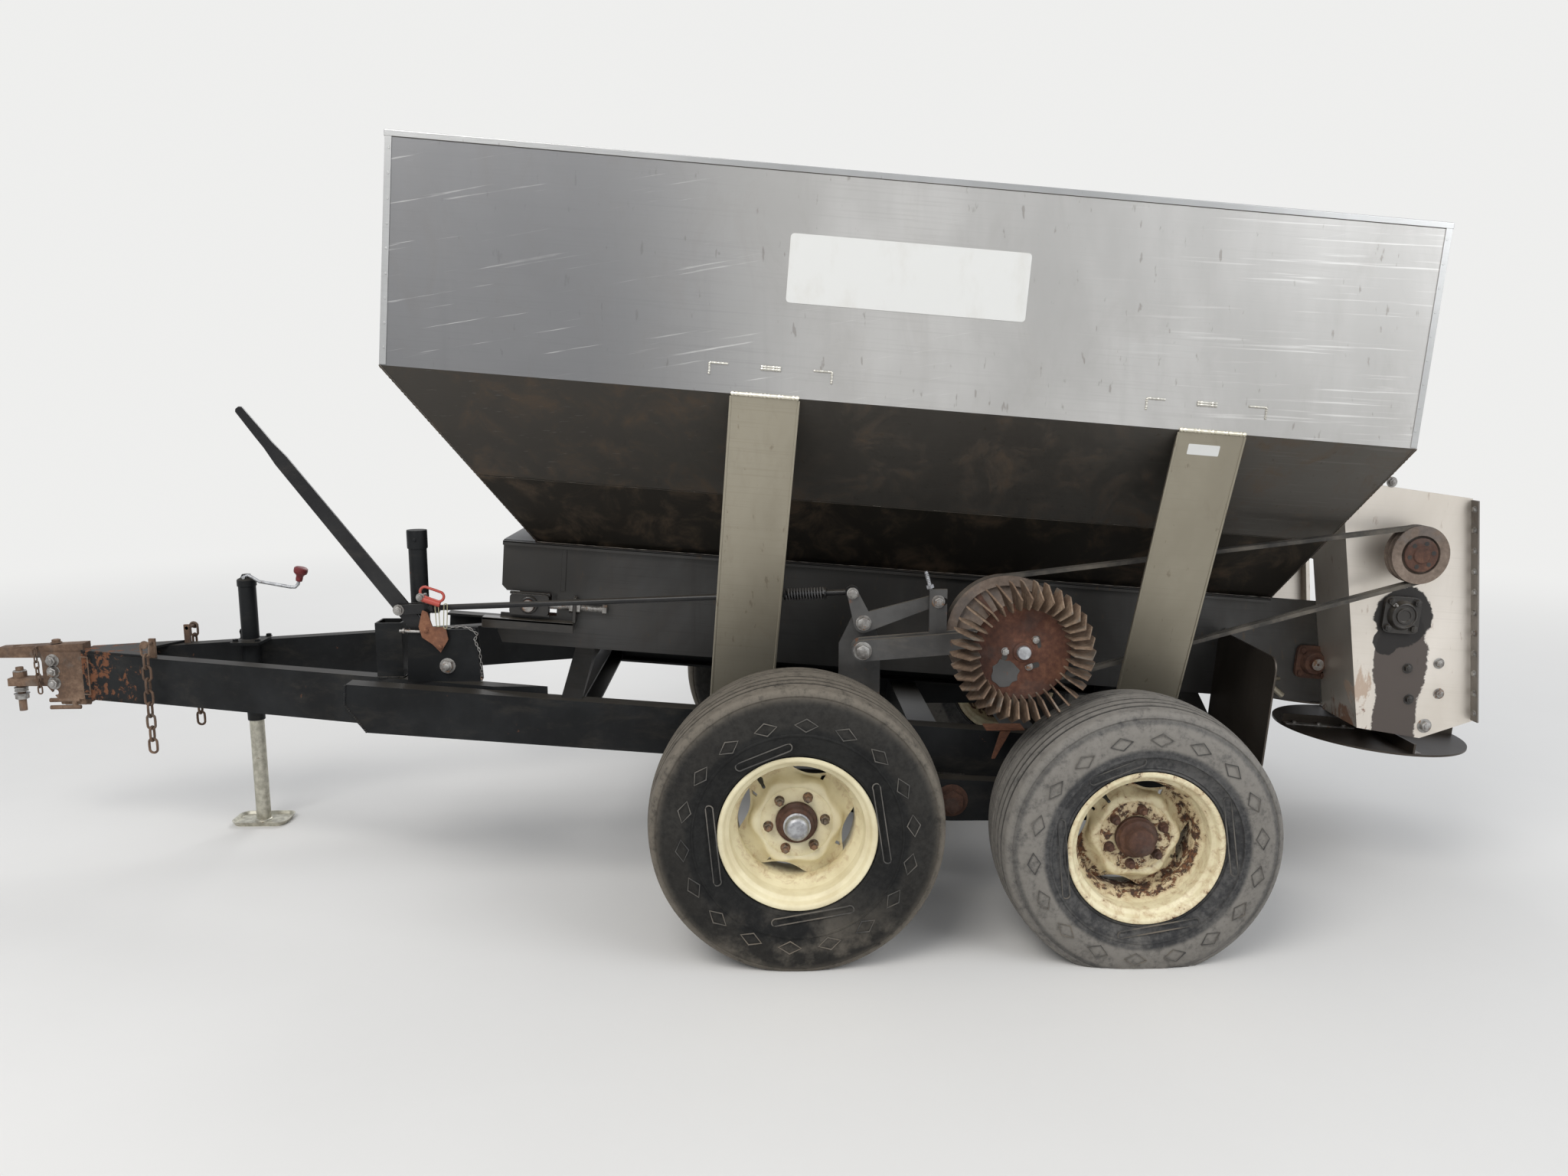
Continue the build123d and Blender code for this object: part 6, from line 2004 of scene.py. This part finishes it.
@dataclass
class GroundDrive(Assembly):
    """Free-cleated drive wheel, its sheave trim and the linkage hardware."""

    x: float = -0.152
    z: float = 0.823
    near: float = 0.975
    width: float = 0.13
    disc_radius: float = 0.132
    disc_plane: float = 0.868
    vertex: float = 0.16
    tip: float = 0.193
    cleat_count: int = 36
    cleat_thickness: float = 0.0046
    cleat_bend: float = 0.17
    belt_plane: float = 0.63

    def wheel(self) -> None:
        """Build the disc, the hub and the bent cleats round it."""
        bm = bmesh.new()
        place = outside(self.x, self.near, self.z)
        face = self.disc_plane - self.near
        disc = [
            (0.0, face - 0.008), (self.disc_radius, face - 0.008), (self.disc_radius, face), (0.046, face),
            (0.034, face + 0.003), (0.028, face + 0.005), (0.026, face + 0.014), (0.0, face + 0.014),
        ]
        add_turned(bm, disc, place, 72)
        back = [
            (0.0, -self.width - 0.001), (0.034, -self.width - 0.001), (0.036, -self.width + 0.004),
            (0.036, face - 0.006), (0.0, face - 0.006),
        ]
        add_turned(bm, back, place, 40)
        self.finish(
            "drive_wheel_disc", bm, Palette.wheel_rust, "drive_wheel", replaces="drive_wheel", bevel=0.0007
        )
        bm = bmesh.new()
        for index in range(self.cleat_count):
            wobble = 0.02 * math.sin(index * 7.3)
            turn = about("Z", math.tau * (index + wobble) / self.cleat_count)
            stand = place @ turn @ at(0.0, self.cleat_thickness / 2, 0.0) @ about("X", math.pi / 2)
            inner = [
                (self.disc_radius - 0.014, -self.width), (self.vertex, -self.width),
                (self.vertex, 0.0), (self.disc_radius - 0.008, -0.04),
            ]
            add_plate(bm, inner, self.cleat_thickness, stand)
            hinge = at(self.vertex - 0.0006, 0.0, 0.0)
            bend = hinge @ about("Y", self.cleat_bend + 0.05 * math.sin(index * 3.1))
            reach = self.tip - self.vertex + 0.0005
            outer = [(0.0, -self.width), (reach, -self.width + 0.004), (reach, -0.084), (0.0, 0.0)]
            add_plate(bm, outer, self.cleat_thickness, stand @ bend)
        self.finish("drive_wheel_cleats", bm, Palette.cleat_steel, "drive_wheel", bevel=0.0005)

    def hub(self) -> None:
        """Build the shaft through the wheel, the hub bolts, dark plates of painted shade in the disc slots
        and the grey patch plate.
        """
        place = outside(self.x, self.disc_plane, self.z)
        bm = bmesh.new()
        end = self.disc_plane - self.belt_plane + 0.032
        shaft = [
            (0.0, -end), (0.0175, -end), (0.019, -end + 0.002), (0.019, 0.0), (0.0185, 0.026),
            (0.0165, 0.0285), (0.0, 0.0285),
        ]
        add_turned(bm, shaft, place, 36)
        self.finish("drive_shaft_end", bm, Palette.zinc, "drive_wheel", bevel=0.0005)
        bm = bmesh.new()
        for angle in (0.0, 3.88, 2.0):
            spot = about("Z", angle) @ at(0.046, 0.0, 0.0)
            add_bolt(bm, place @ spot, 0.0095, 0.007, 1.2, stub=0.003)
        self.finish("drive_hub_bolts", bm, Palette.bolt, "drive_wheel", bevel=0.0004)
        # thin dark plates stand for the slots: painted shade in the openings
        holes = bmesh.new()
        for angle, away in ((0.16, 0.047), (3.7, 0.048), (2.22, 0.05)):
            spot = place @ about("Z", angle) @ at(away, 0.0, 0.0) @ about("Z", 1.2)
            add_rounded(holes, (0.034, 0.015), 0.006, 0.0008, spot)
        self.finish("disc_slot_shades", holes, Palette.grease, "drive_wheel")
        patch = bmesh.new()
        spot = place @ at(0.046, 0.06, -0.0005)
        made = bmesh.ops.create_circle(patch, cap_ends=True, segments=18, radius=0.037)["verts"]
        for index, vert in enumerate(made):
            vert.co *= 1.0 + 0.1 * math.sin(index * 2.7) + 0.05 * math.sin(index * 5.1 + 1.0)
        raise_faces(patch, patch.faces[:], 0.0022)
        patch.transform(spot)
        self.finish("grey_patch_plate", patch, Palette.link_steel, "drive_wheel", bevel=0.0007)

    def sheave(self) -> None:
        """Build the spoked web ribs and lock collar of the drive sheave."""
        bm = bmesh.new()
        place = outside(self.x, self.belt_plane + 0.008, self.z)
        for index in range(5):
            turn = about("Z", math.tau * index / 5 + 0.3)
            add_block(bm, (0.036, -0.008, -0.001), (0.142, 0.008, 0.008), place @ turn)
        collar = [(0.0192, -0.001), (0.033, -0.001), (0.033, 0.01), (0.03, 0.012), (0.0192, 0.012)]
        add_turned(bm, collar, place @ at(0.0, 0.0, 0.014), 32)
        self.finish("sheave_ribs", bm, Palette.hub_rust, "drive_wheel", bevel=0.0012)

    def linkage(self) -> None:
        """Build the bolts, bushes and adjusting screw of the drive linkage."""
        bm = bmesh.new()
        add_bolt(bm, outside(0.264, 0.714, 0.792), 0.0205, 0.014, 1.3, stub=0.004)
        add_bolt(bm, outside(0.256, 0.646, 0.859), 0.019, 0.012, 1.2)
        self.finish("linkage_pivot_bolts", bm, Palette.bolt, bevel=0.0006)
        bm = bmesh.new()
        add_bolt(bm, outside(0.047, 0.674, 0.925), 0.0135, 0.011, 1.4, stub=0.003)
        add_bolt(bm, outside(0.288, 0.646, 0.945), 0.013, 0.009, 1.3)
        self.finish("crank_bolts", bm, Palette.bolt, "bell_crank", bevel=0.0005)
        bm = bmesh.new()
        thread = [(0.0052 if index % 2 else 0.006, 0.0025 * index) for index in range(30)]
        screw = [(0.0, 0.0), *thread, (0.0045, 0.0765), (0.0, 0.0765)]
        lean = facing((0.062, 0.668, 0.938), (0.28, 0.0, 0.96))
        add_turned(bm, screw, lean, 14)
        nut = add_bar(bm, (0, 0, 0.026), (0, 0, 0.036), 0.0115, sides=6)
        bmesh.ops.transform(bm, matrix=lean, verts=nut)
        self.finish("adjusting_screw", bm, Palette.zinc, "drive_arm", bevel=0.0004)
        bm = bmesh.new()
        sleeve = [
            (0.0157, 0.0), (0.0235, 0.0), (0.024, 0.004), (0.0225, 0.0075), (0.024, 0.011),
            (0.0238, 0.015), (0.0157, 0.015),
        ]
        add_turned(bm, sleeve, outside(0.264, 0.675, 0.792), 32)
        add_turned(bm, sleeve, outside(0.264, 0.686, 0.792), 32)
        self.finish("pivot_bushes", bm, Palette.tie)
        bm = bmesh.new()
        add_block(bm, (-0.204, 0.64, 0.554), (-0.094, 0.7, 0.559))
        web = [(-0.166, -0.553), (-0.136, -0.553), (-0.112, -0.47), (-0.122, -0.47)]
        add_plate(bm, web, 0.007, outside(0.0, 0.69, 0.0))
        self.finish("rusty_stay", bm, Palette.latch_rust, bevel=0.0012)

    def build(self) -> None:
        """Build the wheel, the sheave trim and the linkage."""
        self.wheel()
        self.hub()
        self.sheave()
        self.linkage()


# Rear housing and conveyor


@dataclass
class RearHousing(Assembly):
    """Flanges, bolts, bearings, pulley hub and spinner hardware of the rear housing."""

    stance = Stance.TIPPED
    face: float = 0.55
    flange_reach: float = 0.034
    rear_top: Pair = (-1.459, 1.323)
    rear_low: Pair = (-1.573, 0.658)
    bearing: Pair = (-1.3, 0.965)
    pulley: Pair = (-1.275, 1.155)
    spinner: tuple[float, float, float] = (-1.395, 0.3, 0.551)
    side_bolts: tuple[tuple[float, float, float], ...] = (
        (-1.442, 0.827, 0.0115),
        (-1.457, 0.735, 0.0115),
        (-1.35, 0.805, 0.011),
        (-1.369, 0.711, 0.011),
        (-1.43, 0.633, 0.015),
        (-1.212, 1.352, 0.011),
    )

    def flanges(self) -> None:
        """Build the outward rear flanges and their bolts."""
        plates, bolts = bmesh.new(), bmesh.new()
        top = Vector((self.rear_top[0], 0, self.rear_top[1]))
        low = Vector((self.rear_low[0], 0, self.rear_low[1]))
        down = (low - top).normalized()
        ahead = Vector((-down.z, 0.0, down.x))
        length = (low - top).length
        for side in Side:
            turn = Matrix((ahead, down.cross(ahead), down)).transposed().to_4x4()
            place = at(*top) @ at(0.0, side.value * self.face, 0.0) @ turn
            across = (down.cross(ahead)).y * side.value
            reach = across * self.flange_reach
            add_block(plates, (0.0, -across * 0.003, 0.004), (0.005, reach, length - 0.004), place)
            for index in range(11):
                spot = place @ Vector((0.005, across * 0.019, 0.03 + (length - 0.06) * index / 10))
                add_bolt(bolts, facing(spot, ahead), 0.008, 0.0055, 1.3)
        self.finish("housing_rear_flanges", plates, Palette.flange_shade_sheet, bevel=0.001)
        self.finish("housing_flange_bolts", bolts, Palette.bolt)

    def bearings(self) -> None:
        """Build the square flange bearings with bosses, corner bolts and grease nipples."""
        cast, steel = bmesh.new(), bmesh.new()
        for side in Side:
            place = outside(self.bearing[0], self.face, self.bearing[1], side)
            add_rounded(cast, (0.11, 0.11), 0.024, 0.013, place)
            boss = [
                (0.0, 0.01), (0.046, 0.012), (0.042, 0.018), (0.0385, 0.028),
                (0.036, 0.03), (0.033, 0.03),
                (0.032, 0.0255), (0.024, 0.025), (0.0235, 0.03), (0.017, 0.03),
                (0.0165, 0.027), (0.0, 0.027),
            ]
            add_turned(cast, boss, place, 44)
            for across in (-0.039, 0.039):
                for height in (-0.039, 0.039):
                    add_bolt(steel, place @ at(across, height, 0.013), 0.0105, 0.008, stub=0.003)
        self.finish("flange_bearing_castings", cast, Palette.grease, replaces="flange_bearings", bevel=0.0014)
        self.finish("flange_bearing_bolts", steel, Palette.grease, slot="zinc", bevel=0.0004)
        nipples = bmesh.new()
        for side in Side:
            place = outside(self.bearing[0] + 0.03, self.face + 0.016, self.bearing[1] + 0.03, side)
            nipple = [
                (0, 0), (0.0065, 0), (0.0065, 0.006), (0.0038, 0.008), (0.0048, 0.014), (0.003, 0.018),
                (0, 0.0185),
            ]
            add_turned(nipples, nipple, place, 14)
        self.finish("grease_nipples", nipples, Palette.bolt)

    def bolts(self) -> None:
        """Build the bolts scattered over the housing sides, two of them under the grease."""
        clean, greasy = bmesh.new(), bmesh.new()
        for side in Side:
            for index, (x, z, across) in enumerate(self.side_bolts):
                place = outside(x, self.face, z, side)
                target = greasy if index in (2, 3) else clean
                add_bolt(target, place @ about("Z", index * 1.1), across, across * 0.7, 1.45, stub=0.004)
        self.finish("housing_side_bolts", clean, Palette.bolt, bevel=0.0005)
        self.finish("greasy_side_bolts", greasy, Palette.grease, slot="zinc", bevel=0.0005)

    def pulley_hub(self) -> None:
        """Build the rusty hub flange with dark discs of painted shade in its ring of small holes on the
        pulley.
        """
        bm = bmesh.new()
        place = outside(self.pulley[0], 0.652, self.pulley[1])
        hub = [
            (0.0, -0.001), (0.049, -0.001), (0.049, 0.0015), (0.047, 0.003),
            (0.025, 0.0035), (0.024, 0.0055),
            (0.0225, 0.007), (0.0, 0.007),
        ]
        add_turned(bm, hub, place, 48)
        # thin dark discs stand for the holes: painted shade in the openings
        holes = bmesh.new()
        for index in range(6):
            spot = place @ about("Z", math.tau * index / 6 + 0.25) @ at(0.035, 0.0, 0.003)
            add_turned(holes, solid(0.0066, 0.0008), spot, 16)
        self.finish("pulley_hub_hole_shades", holes, Palette.grease, "rear_pulley")
        self.finish("pulley_hub", bm, Palette.hub_rust, "rear_pulley", bevel=0.0005)

    def spinners(self) -> None:
        """Build the hub nuts, blade feet and bolts of the spinner discs."""
        x, y, z = self.spinner
        for side in Side:
            bm = bmesh.new()
            for index in range(4):
                turn = at(x, side.value * y, z) @ about("Z", index * math.pi / 2)
                add_block(bm, (0.052, 0.002, -0.0002), (0.276, 0.024, 0.003), turn)
                for reach in (0.085, 0.165, 0.245):
                    add_bolt(bm, turn @ at(reach, 0.014, 0.003), 0.0065, 0.005)
                    bolt = turn @ at(reach, 0.014, -0.0063) @ about("X", math.pi)
                    add_bolt(bm, bolt, 0.0065, 0.004)
            under = at(x, side.value * y, z - 0.006) @ about("X", math.pi)
            add_bolt(bm, under, 0.024, 0.014, 1.4, stub=0.006)
            collar = [(0.0165, 0.0305), (0.03, 0.0305), (0.03, 0.05), (0.027, 0.053), (0.0165, 0.053)]
            add_turned(bm, collar, at(x, side.value * y, z), 32)
            name = side.name.lower()
            self.finish(f"spinner_hardware_{name}", bm, Palette.bolt, f"spinner_{name}", bevel=0.0004)

    def build(self) -> None:
        """Build all details of the housing."""
        self.flanges()
        self.bearings()
        self.bolts()
        self.pulley_hub()
        self.spinners()


@dataclass
class ConveyorTrim(Assembly):
    """Trough flanges, take-up bearings with screws, rear shaft bearings, splash plate braces and shaft ends.
    """

    stance = Stance.TIPPED
    half: float = 0.33
    shaft_x: float = 1.3
    shaft_height: float = 0.762

    def flanges(self) -> None:
        """Build the folded top flanges of the trough, with their weld tacks."""
        bm = bmesh.new()
        for side in Side:
            inner, outer = side.value * (self.half - 0.002), side.value * (self.half + 0.021)
            add_block(bm, (-1.000, inner, 0.9495), (1.39, outer, 0.9545))
            add_block(bm, (-1.000, outer, 0.941), (1.39, outer - side.value * 0.003, 0.9535))
            seam = side.value * (self.half + 0.0006)
            add_block(bm, (1.196, seam, 0.806), (1.21, seam + side.value * 0.002, 0.948))
        # the flanges are finished dark in painted shade
        self.finish("trough_flanges", bm, Palette.shade_sheet, bevel=0.0008)

    def take_ups(self) -> None:
        """Build the take-up bearings, their screws, brackets and shelf angles."""
        cast, steel = bmesh.new(), bmesh.new()
        for side in Side:
            face = side.value * self.half
            place = facing((self.shaft_x, face, self.shaft_height), (0.0, side.value, 0.0))
            add_rounded(cast, (0.12, 0.066), 0.012, 0.03, place)
            for level in (-0.033, 0.033):
                add_block(cast, (-0.062, level - 0.004, 0.008), (0.062, level + 0.004, 0.02), place)
            boss = [(0.0195, 0.028), (0.028, 0.03), (0.027, 0.04), (0.0225, 0.042), (0.0195, 0.042)]
            add_turned(cast, boss, place, 32)
            rim = face + side.value * 0.04
            add_block(cast, (1.155, face, 0.716), (1.165, face + side.value * 0.034, 0.795))
            add_block(cast, (1.16, face, 0.708), (1.44, rim, 0.716))
            add_block(cast, (1.16, rim, 0.684), (1.44, rim - side.value * 0.006, 0.7155))
            middle = face + side.value * 0.017
            thread = [(0.0088 if index % 2 else 0.01, 0.0027 * index + 0.0002) for index in range(64)]
            screw = [(0.0, 0.0), *thread, (0.0088, 0.1735), (0.0, 0.1735)]
            add_turned(steel, screw, facing((1.243, middle, self.shaft_height), (-1.0, 0.0, 0.0)), 16)
            for start in (1.143, 1.166):
                add_bar(
                    steel, (start, middle, self.shaft_height), (start + 0.011, middle, self.shaft_height),
                    0.0185, sides=6,
                )
            add_bar(
                steel, (1.062, middle, self.shaft_height), (1.076, middle, self.shaft_height), 0.0165,
                sides=6,
            )
        self.finish("take_up_bearings", cast, Palette.grease, replaces="take_ups", bevel=0.0012)
        self.finish("take_up_screws", steel, Palette.bolt, bevel=0.0006)

    def shaft_ends(self) -> None:
        """Build the keyed ends and collars of the conveyor shafts."""
        end = (
            (0, -0.001), (0.0188, -0.001), (0.0178, 0.0012), (0.004, 0.0012), (0.003, -0.0008), (0, -0.0008)
        )
        bm = bmesh.new()
        for side in Side:
            for x in (self.shaft_x, -1.165):
                place = outside(x, 0.3802, self.shaft_height, side)
                add_turned(bm, end, place, 28)
        self.finish("conveyor_shaft_ends", bm, Palette.bolt)

    def rear_bearings(self) -> None:
        """Build the rusty bearings of the rear shaft and the braces behind the splash plates."""
        cast, braces = bmesh.new(), bmesh.new()
        for side in Side:
            face = side.value * self.half
            place = facing((-1.165, face, self.shaft_height), (0.0, side.value, 0.0))
            add_rounded(cast, (0.104, 0.104), 0.02, 0.013, place)
            boss = [(0.0195, 0.011), (0.04, 0.013), (0.036, 0.026), (0.033, 0.034), (0.0195, 0.034)]
            add_turned(cast, boss, place, 32)
            for across in (-0.037, 0.037):
                for height in (-0.037, 0.037):
                    add_bolt(cast, place @ at(across, height, 0.013), 0.0095, 0.007, stub=0.003)
            near, far = side.value * 0.332, side.value * 0.35
            add_sweep(braces, [(-0.872, near, 0.842), (-0.96, far, 0.735), (-1.08, far, 0.65)], 0.0095, 10)
            add_sweep(
                braces, [(-0.868, side.value * 0.42, 0.7), (-1.07, side.value * 0.334, 0.7)], 0.006,
                10,
            )
        self.finish("rear_shaft_bearings", cast, Palette.hub_rust, bevel=0.001)
        self.finish("splash_plate_braces", braces, Palette.leg_sheet)

    def build(self) -> None:
        """Build the conveyor's trim."""
        self.flanges()
        self.rear_bearings()
        self.take_ups()
        self.shaft_ends()


@dataclass
class FrameTrim(Assembly):
    """Weld beads on the black frame."""

    stance = Stance.TIPPED
    rail_face: float = 0.6
    rail_top: float = 0.534
    rail_low: float = 0.394
    places: tuple[float, ...] = (1.125, 0.56, -0.3, -0.79)

    def build(self) -> None:
        """Build the welds of the cross members and the side rail joints."""
        bm = bmesh.new()
        for side in Side:
            for x in self.places:
                for edge in (-0.03, 0.03):
                    inner = side.value * (self.rail_face - 0.061)
                    add_weld(
                        bm, (x + edge, inner, self.rail_low + 0.012),
                        (x + edge, inner, self.rail_top - 0.012), 0.0035,
                    )
            add_weld(
                bm, (-0.05, side.value * 0.598, self.rail_low), (0.05, side.value * 0.598, self.rail_low),
                0.0045,
            )
            face = side.value * self.rail_face
            add_weld(bm, (1.774, face, 0.472), (1.774, face, 0.533), 0.0038)
            add_weld(bm, (1.708, face, 0.395), (1.774, face, 0.471), 0.0038)
        self.finish("frame_welds", bm, Palette.frame_paint)


# Studio


@dataclass
class Studio:
    """Floor, lights and camera."""

    lens: float = 27.19
    place: Point = (0.554, 3.9641, 1.5048)
    heading: float = math.radians(-1.218)
    dip: float = math.radians(9.297)
    roll: float = math.radians(-0.024)
    floor_size: float = 60.0

    def camera(self) -> None:
        """Stand the camera where the photograph was taken."""
        data = bpy.data.cameras.new("camera")
        data.lens = self.lens
        data.sensor_width = 36.0
        data.clip_end = 200.0
        camera = bpy.data.objects.new("camera", data)
        bpy.context.scene.collection.objects.link(camera)
        sh, ch = math.sin(self.heading), math.cos(self.heading)
        sd, cd = math.sin(self.dip), math.cos(self.dip)
        ahead = Vector((sh * cd, -ch * cd, -sd))
        right = Vector((-ch, -sh, 0.0))
        up = Vector((sh * sd, -ch * sd, cd))
        sr, cr = math.sin(self.roll), math.cos(self.roll)
        right, up = right * cr + up * sr, up * cr - right * sr
        turn = Matrix((right, up, -ahead)).transposed()
        camera.matrix_world = LAYOUT.matrix(Stance.STANDING) @ Matrix.Translation(self.place) @ turn.to_4x4()
        bpy.context.scene.camera = camera

    def floor(self) -> None:
        """Lay the plain pale floor."""
        bm = bmesh.new()
        bmesh.ops.create_grid(bm, x_segments=1, y_segments=1, size=self.floor_size / 2)
        mesh = bpy.data.meshes.new("studio_floor")
        bm.to_mesh(mesh)
        bm.free()
        mesh.materials.append(Palette.floor.material())
        floor = bpy.data.objects.new("studio_floor", mesh)
        bpy.context.scene.collection.objects.link(floor)

    def world(self) -> None:
        """Give a pale world that lights softly from above."""
        world = bpy.data.worlds.new("studio")
        bpy.context.scene.world = world
        world.use_nodes = True
        nodes, links = world.node_tree.nodes, world.node_tree.links
        background = nodes["Background"]
        background.inputs["Color"].default_value = (0.86, 0.89, 0.94, 1.0)
        background.inputs["Strength"].default_value = 0.7
        shown = nodes.new("ShaderNodeBackground")
        shown.inputs["Color"].default_value = (0.86, 0.86, 0.85, 1.0)
        rays = nodes.new("ShaderNodeLightPath")
        mix = nodes.new("ShaderNodeMixShader")
        links.new(rays.outputs["Is Camera Ray"], mix.inputs["Fac"])
        links.new(background.outputs["Background"], mix.inputs[1])
        links.new(shown.outputs["Background"], mix.inputs[2])
        links.new(mix.outputs["Shader"], nodes["World Output"].inputs["Surface"])

    def lamp(self, name: str, place: Point, target: Point, size: float, power: float, colour: Point) -> None:
        """Hang one soft area lamp.

        Args:
            name: Lamp name.
            place: Where it hangs.
            target: Point it faces.
            size: Edge length.
            power: Watts.
            colour: Light colour.
        """
        data = bpy.data.lights.new(name, "AREA")
        data.shape = "SQUARE"
        data.size = size
        data.energy = power
        data.color = colour
        lamp = bpy.data.objects.new(name, data)
        bpy.context.scene.collection.objects.link(lamp)
        aim = Vector(target) - Vector(place)
        lamp.matrix_world = Matrix.Translation(place) @ aim.to_track_quat("-Z", "Y").to_matrix().to_4x4()

    def build(self) -> None:
        """Set up floor, world, lamps and camera."""
        bpy.context.scene.view_settings.view_transform = "Standard"
        self.floor()
        self.world()
        self.lamp("key", (2.5, 5.0, 6.0), (-0.3, 0.0, 0.9), 4.0, 330.0, (1.0, 0.98, 0.95))
        self.lamp("fill", (-5.0, 4.0, 4.0), (-0.5, 0.0, 0.9), 4.0, 150.0, (0.95, 0.97, 1.0))
        self.lamp("back", (0.0, -6.0, 5.0), (-0.3, 0.0, 1.2), 4.0, 200.0, (1.0, 1.0, 1.0))
        self.camera()


def dress_frame() -> None:
    """Give every CAD node its finish."""
    sides = [side.name.lower() for side in Side]
    hopper = [f"hopper_{part}" for part in ("front", "rear", "left", "right", "rim")]
    dress_nodes(Palette.sheet, *hopper)
    dress_nodes(Palette.shade_sheet, "trough", "bolsters")
    dress_nodes(Palette.leg_sheet, *(f"leg_{end.value}_{side}" for end in End for side in sides))
    dress_nodes(Palette.splash_dirt_and_shade_sheet, "splash_plates", *(f"spinner_{side}" for side in sides))
    dress_nodes(Palette.housing_sheet, "rear_panel", *(f"housing_{side}" for side in sides))
    paired = [f"{part}_{side}" for part in ("side_rail", "tongue_rail", "walking_beam") for side in sides]
    black = ("cross_members", "nose_gussets", "jack_tube", "drawbar_posts", "quadrant_plates", "centre_axle")
    dress_nodes(Palette.frame_paint, "clutch_lever", *paired, *black)
    dress_nodes(Palette.hitch_rust, "hitch_cheeks", "hitch_jaw", "drawpin", "spinner_gearboxes", "take_ups")
    dress_nodes(Palette.link_steel, "drive_bracket", "bell_crank", "drive_arm")
    dress_nodes(Palette.pulley_steel, "drive_sheave", "rear_pulley")
    dress_nodes(Palette.wheel_rust, "drive_wheel", "conveyor_chain", "conveyor_shafts", "flange_bearings")
    dress_nodes(Palette.zinc, "jack_leg", "safety_chains", "clutch_rod")
    dress_nodes(Palette.belt, "drive_belts")
    for end in End:
        dress_nodes(Palette.tyres[end], *(f"tyre_{end.value}_{side}" for side in sides))
        dress_nodes(Palette.rims[end], *(f"wheel_{end.value}_{side}" for side in sides))


def main() -> None:
    """Build the spreader's looks."""
    logging.basicConfig(level=logging.INFO, format="%(name)s %(message)s")
    dress_frame()
    RunningGear().build()
    HopperTrim().build()
    LegTrim().build()
    Hitch().build()
    Jack().build()
    HandControl().build()
    GroundDrive().build()
    RearHousing().build()
    ConveyorTrim().build()
    FrameTrim().build()
    Studio().build()
    log.info("%d pieces added", len(Assembly.made))


if __name__ == "__main__":
    main()
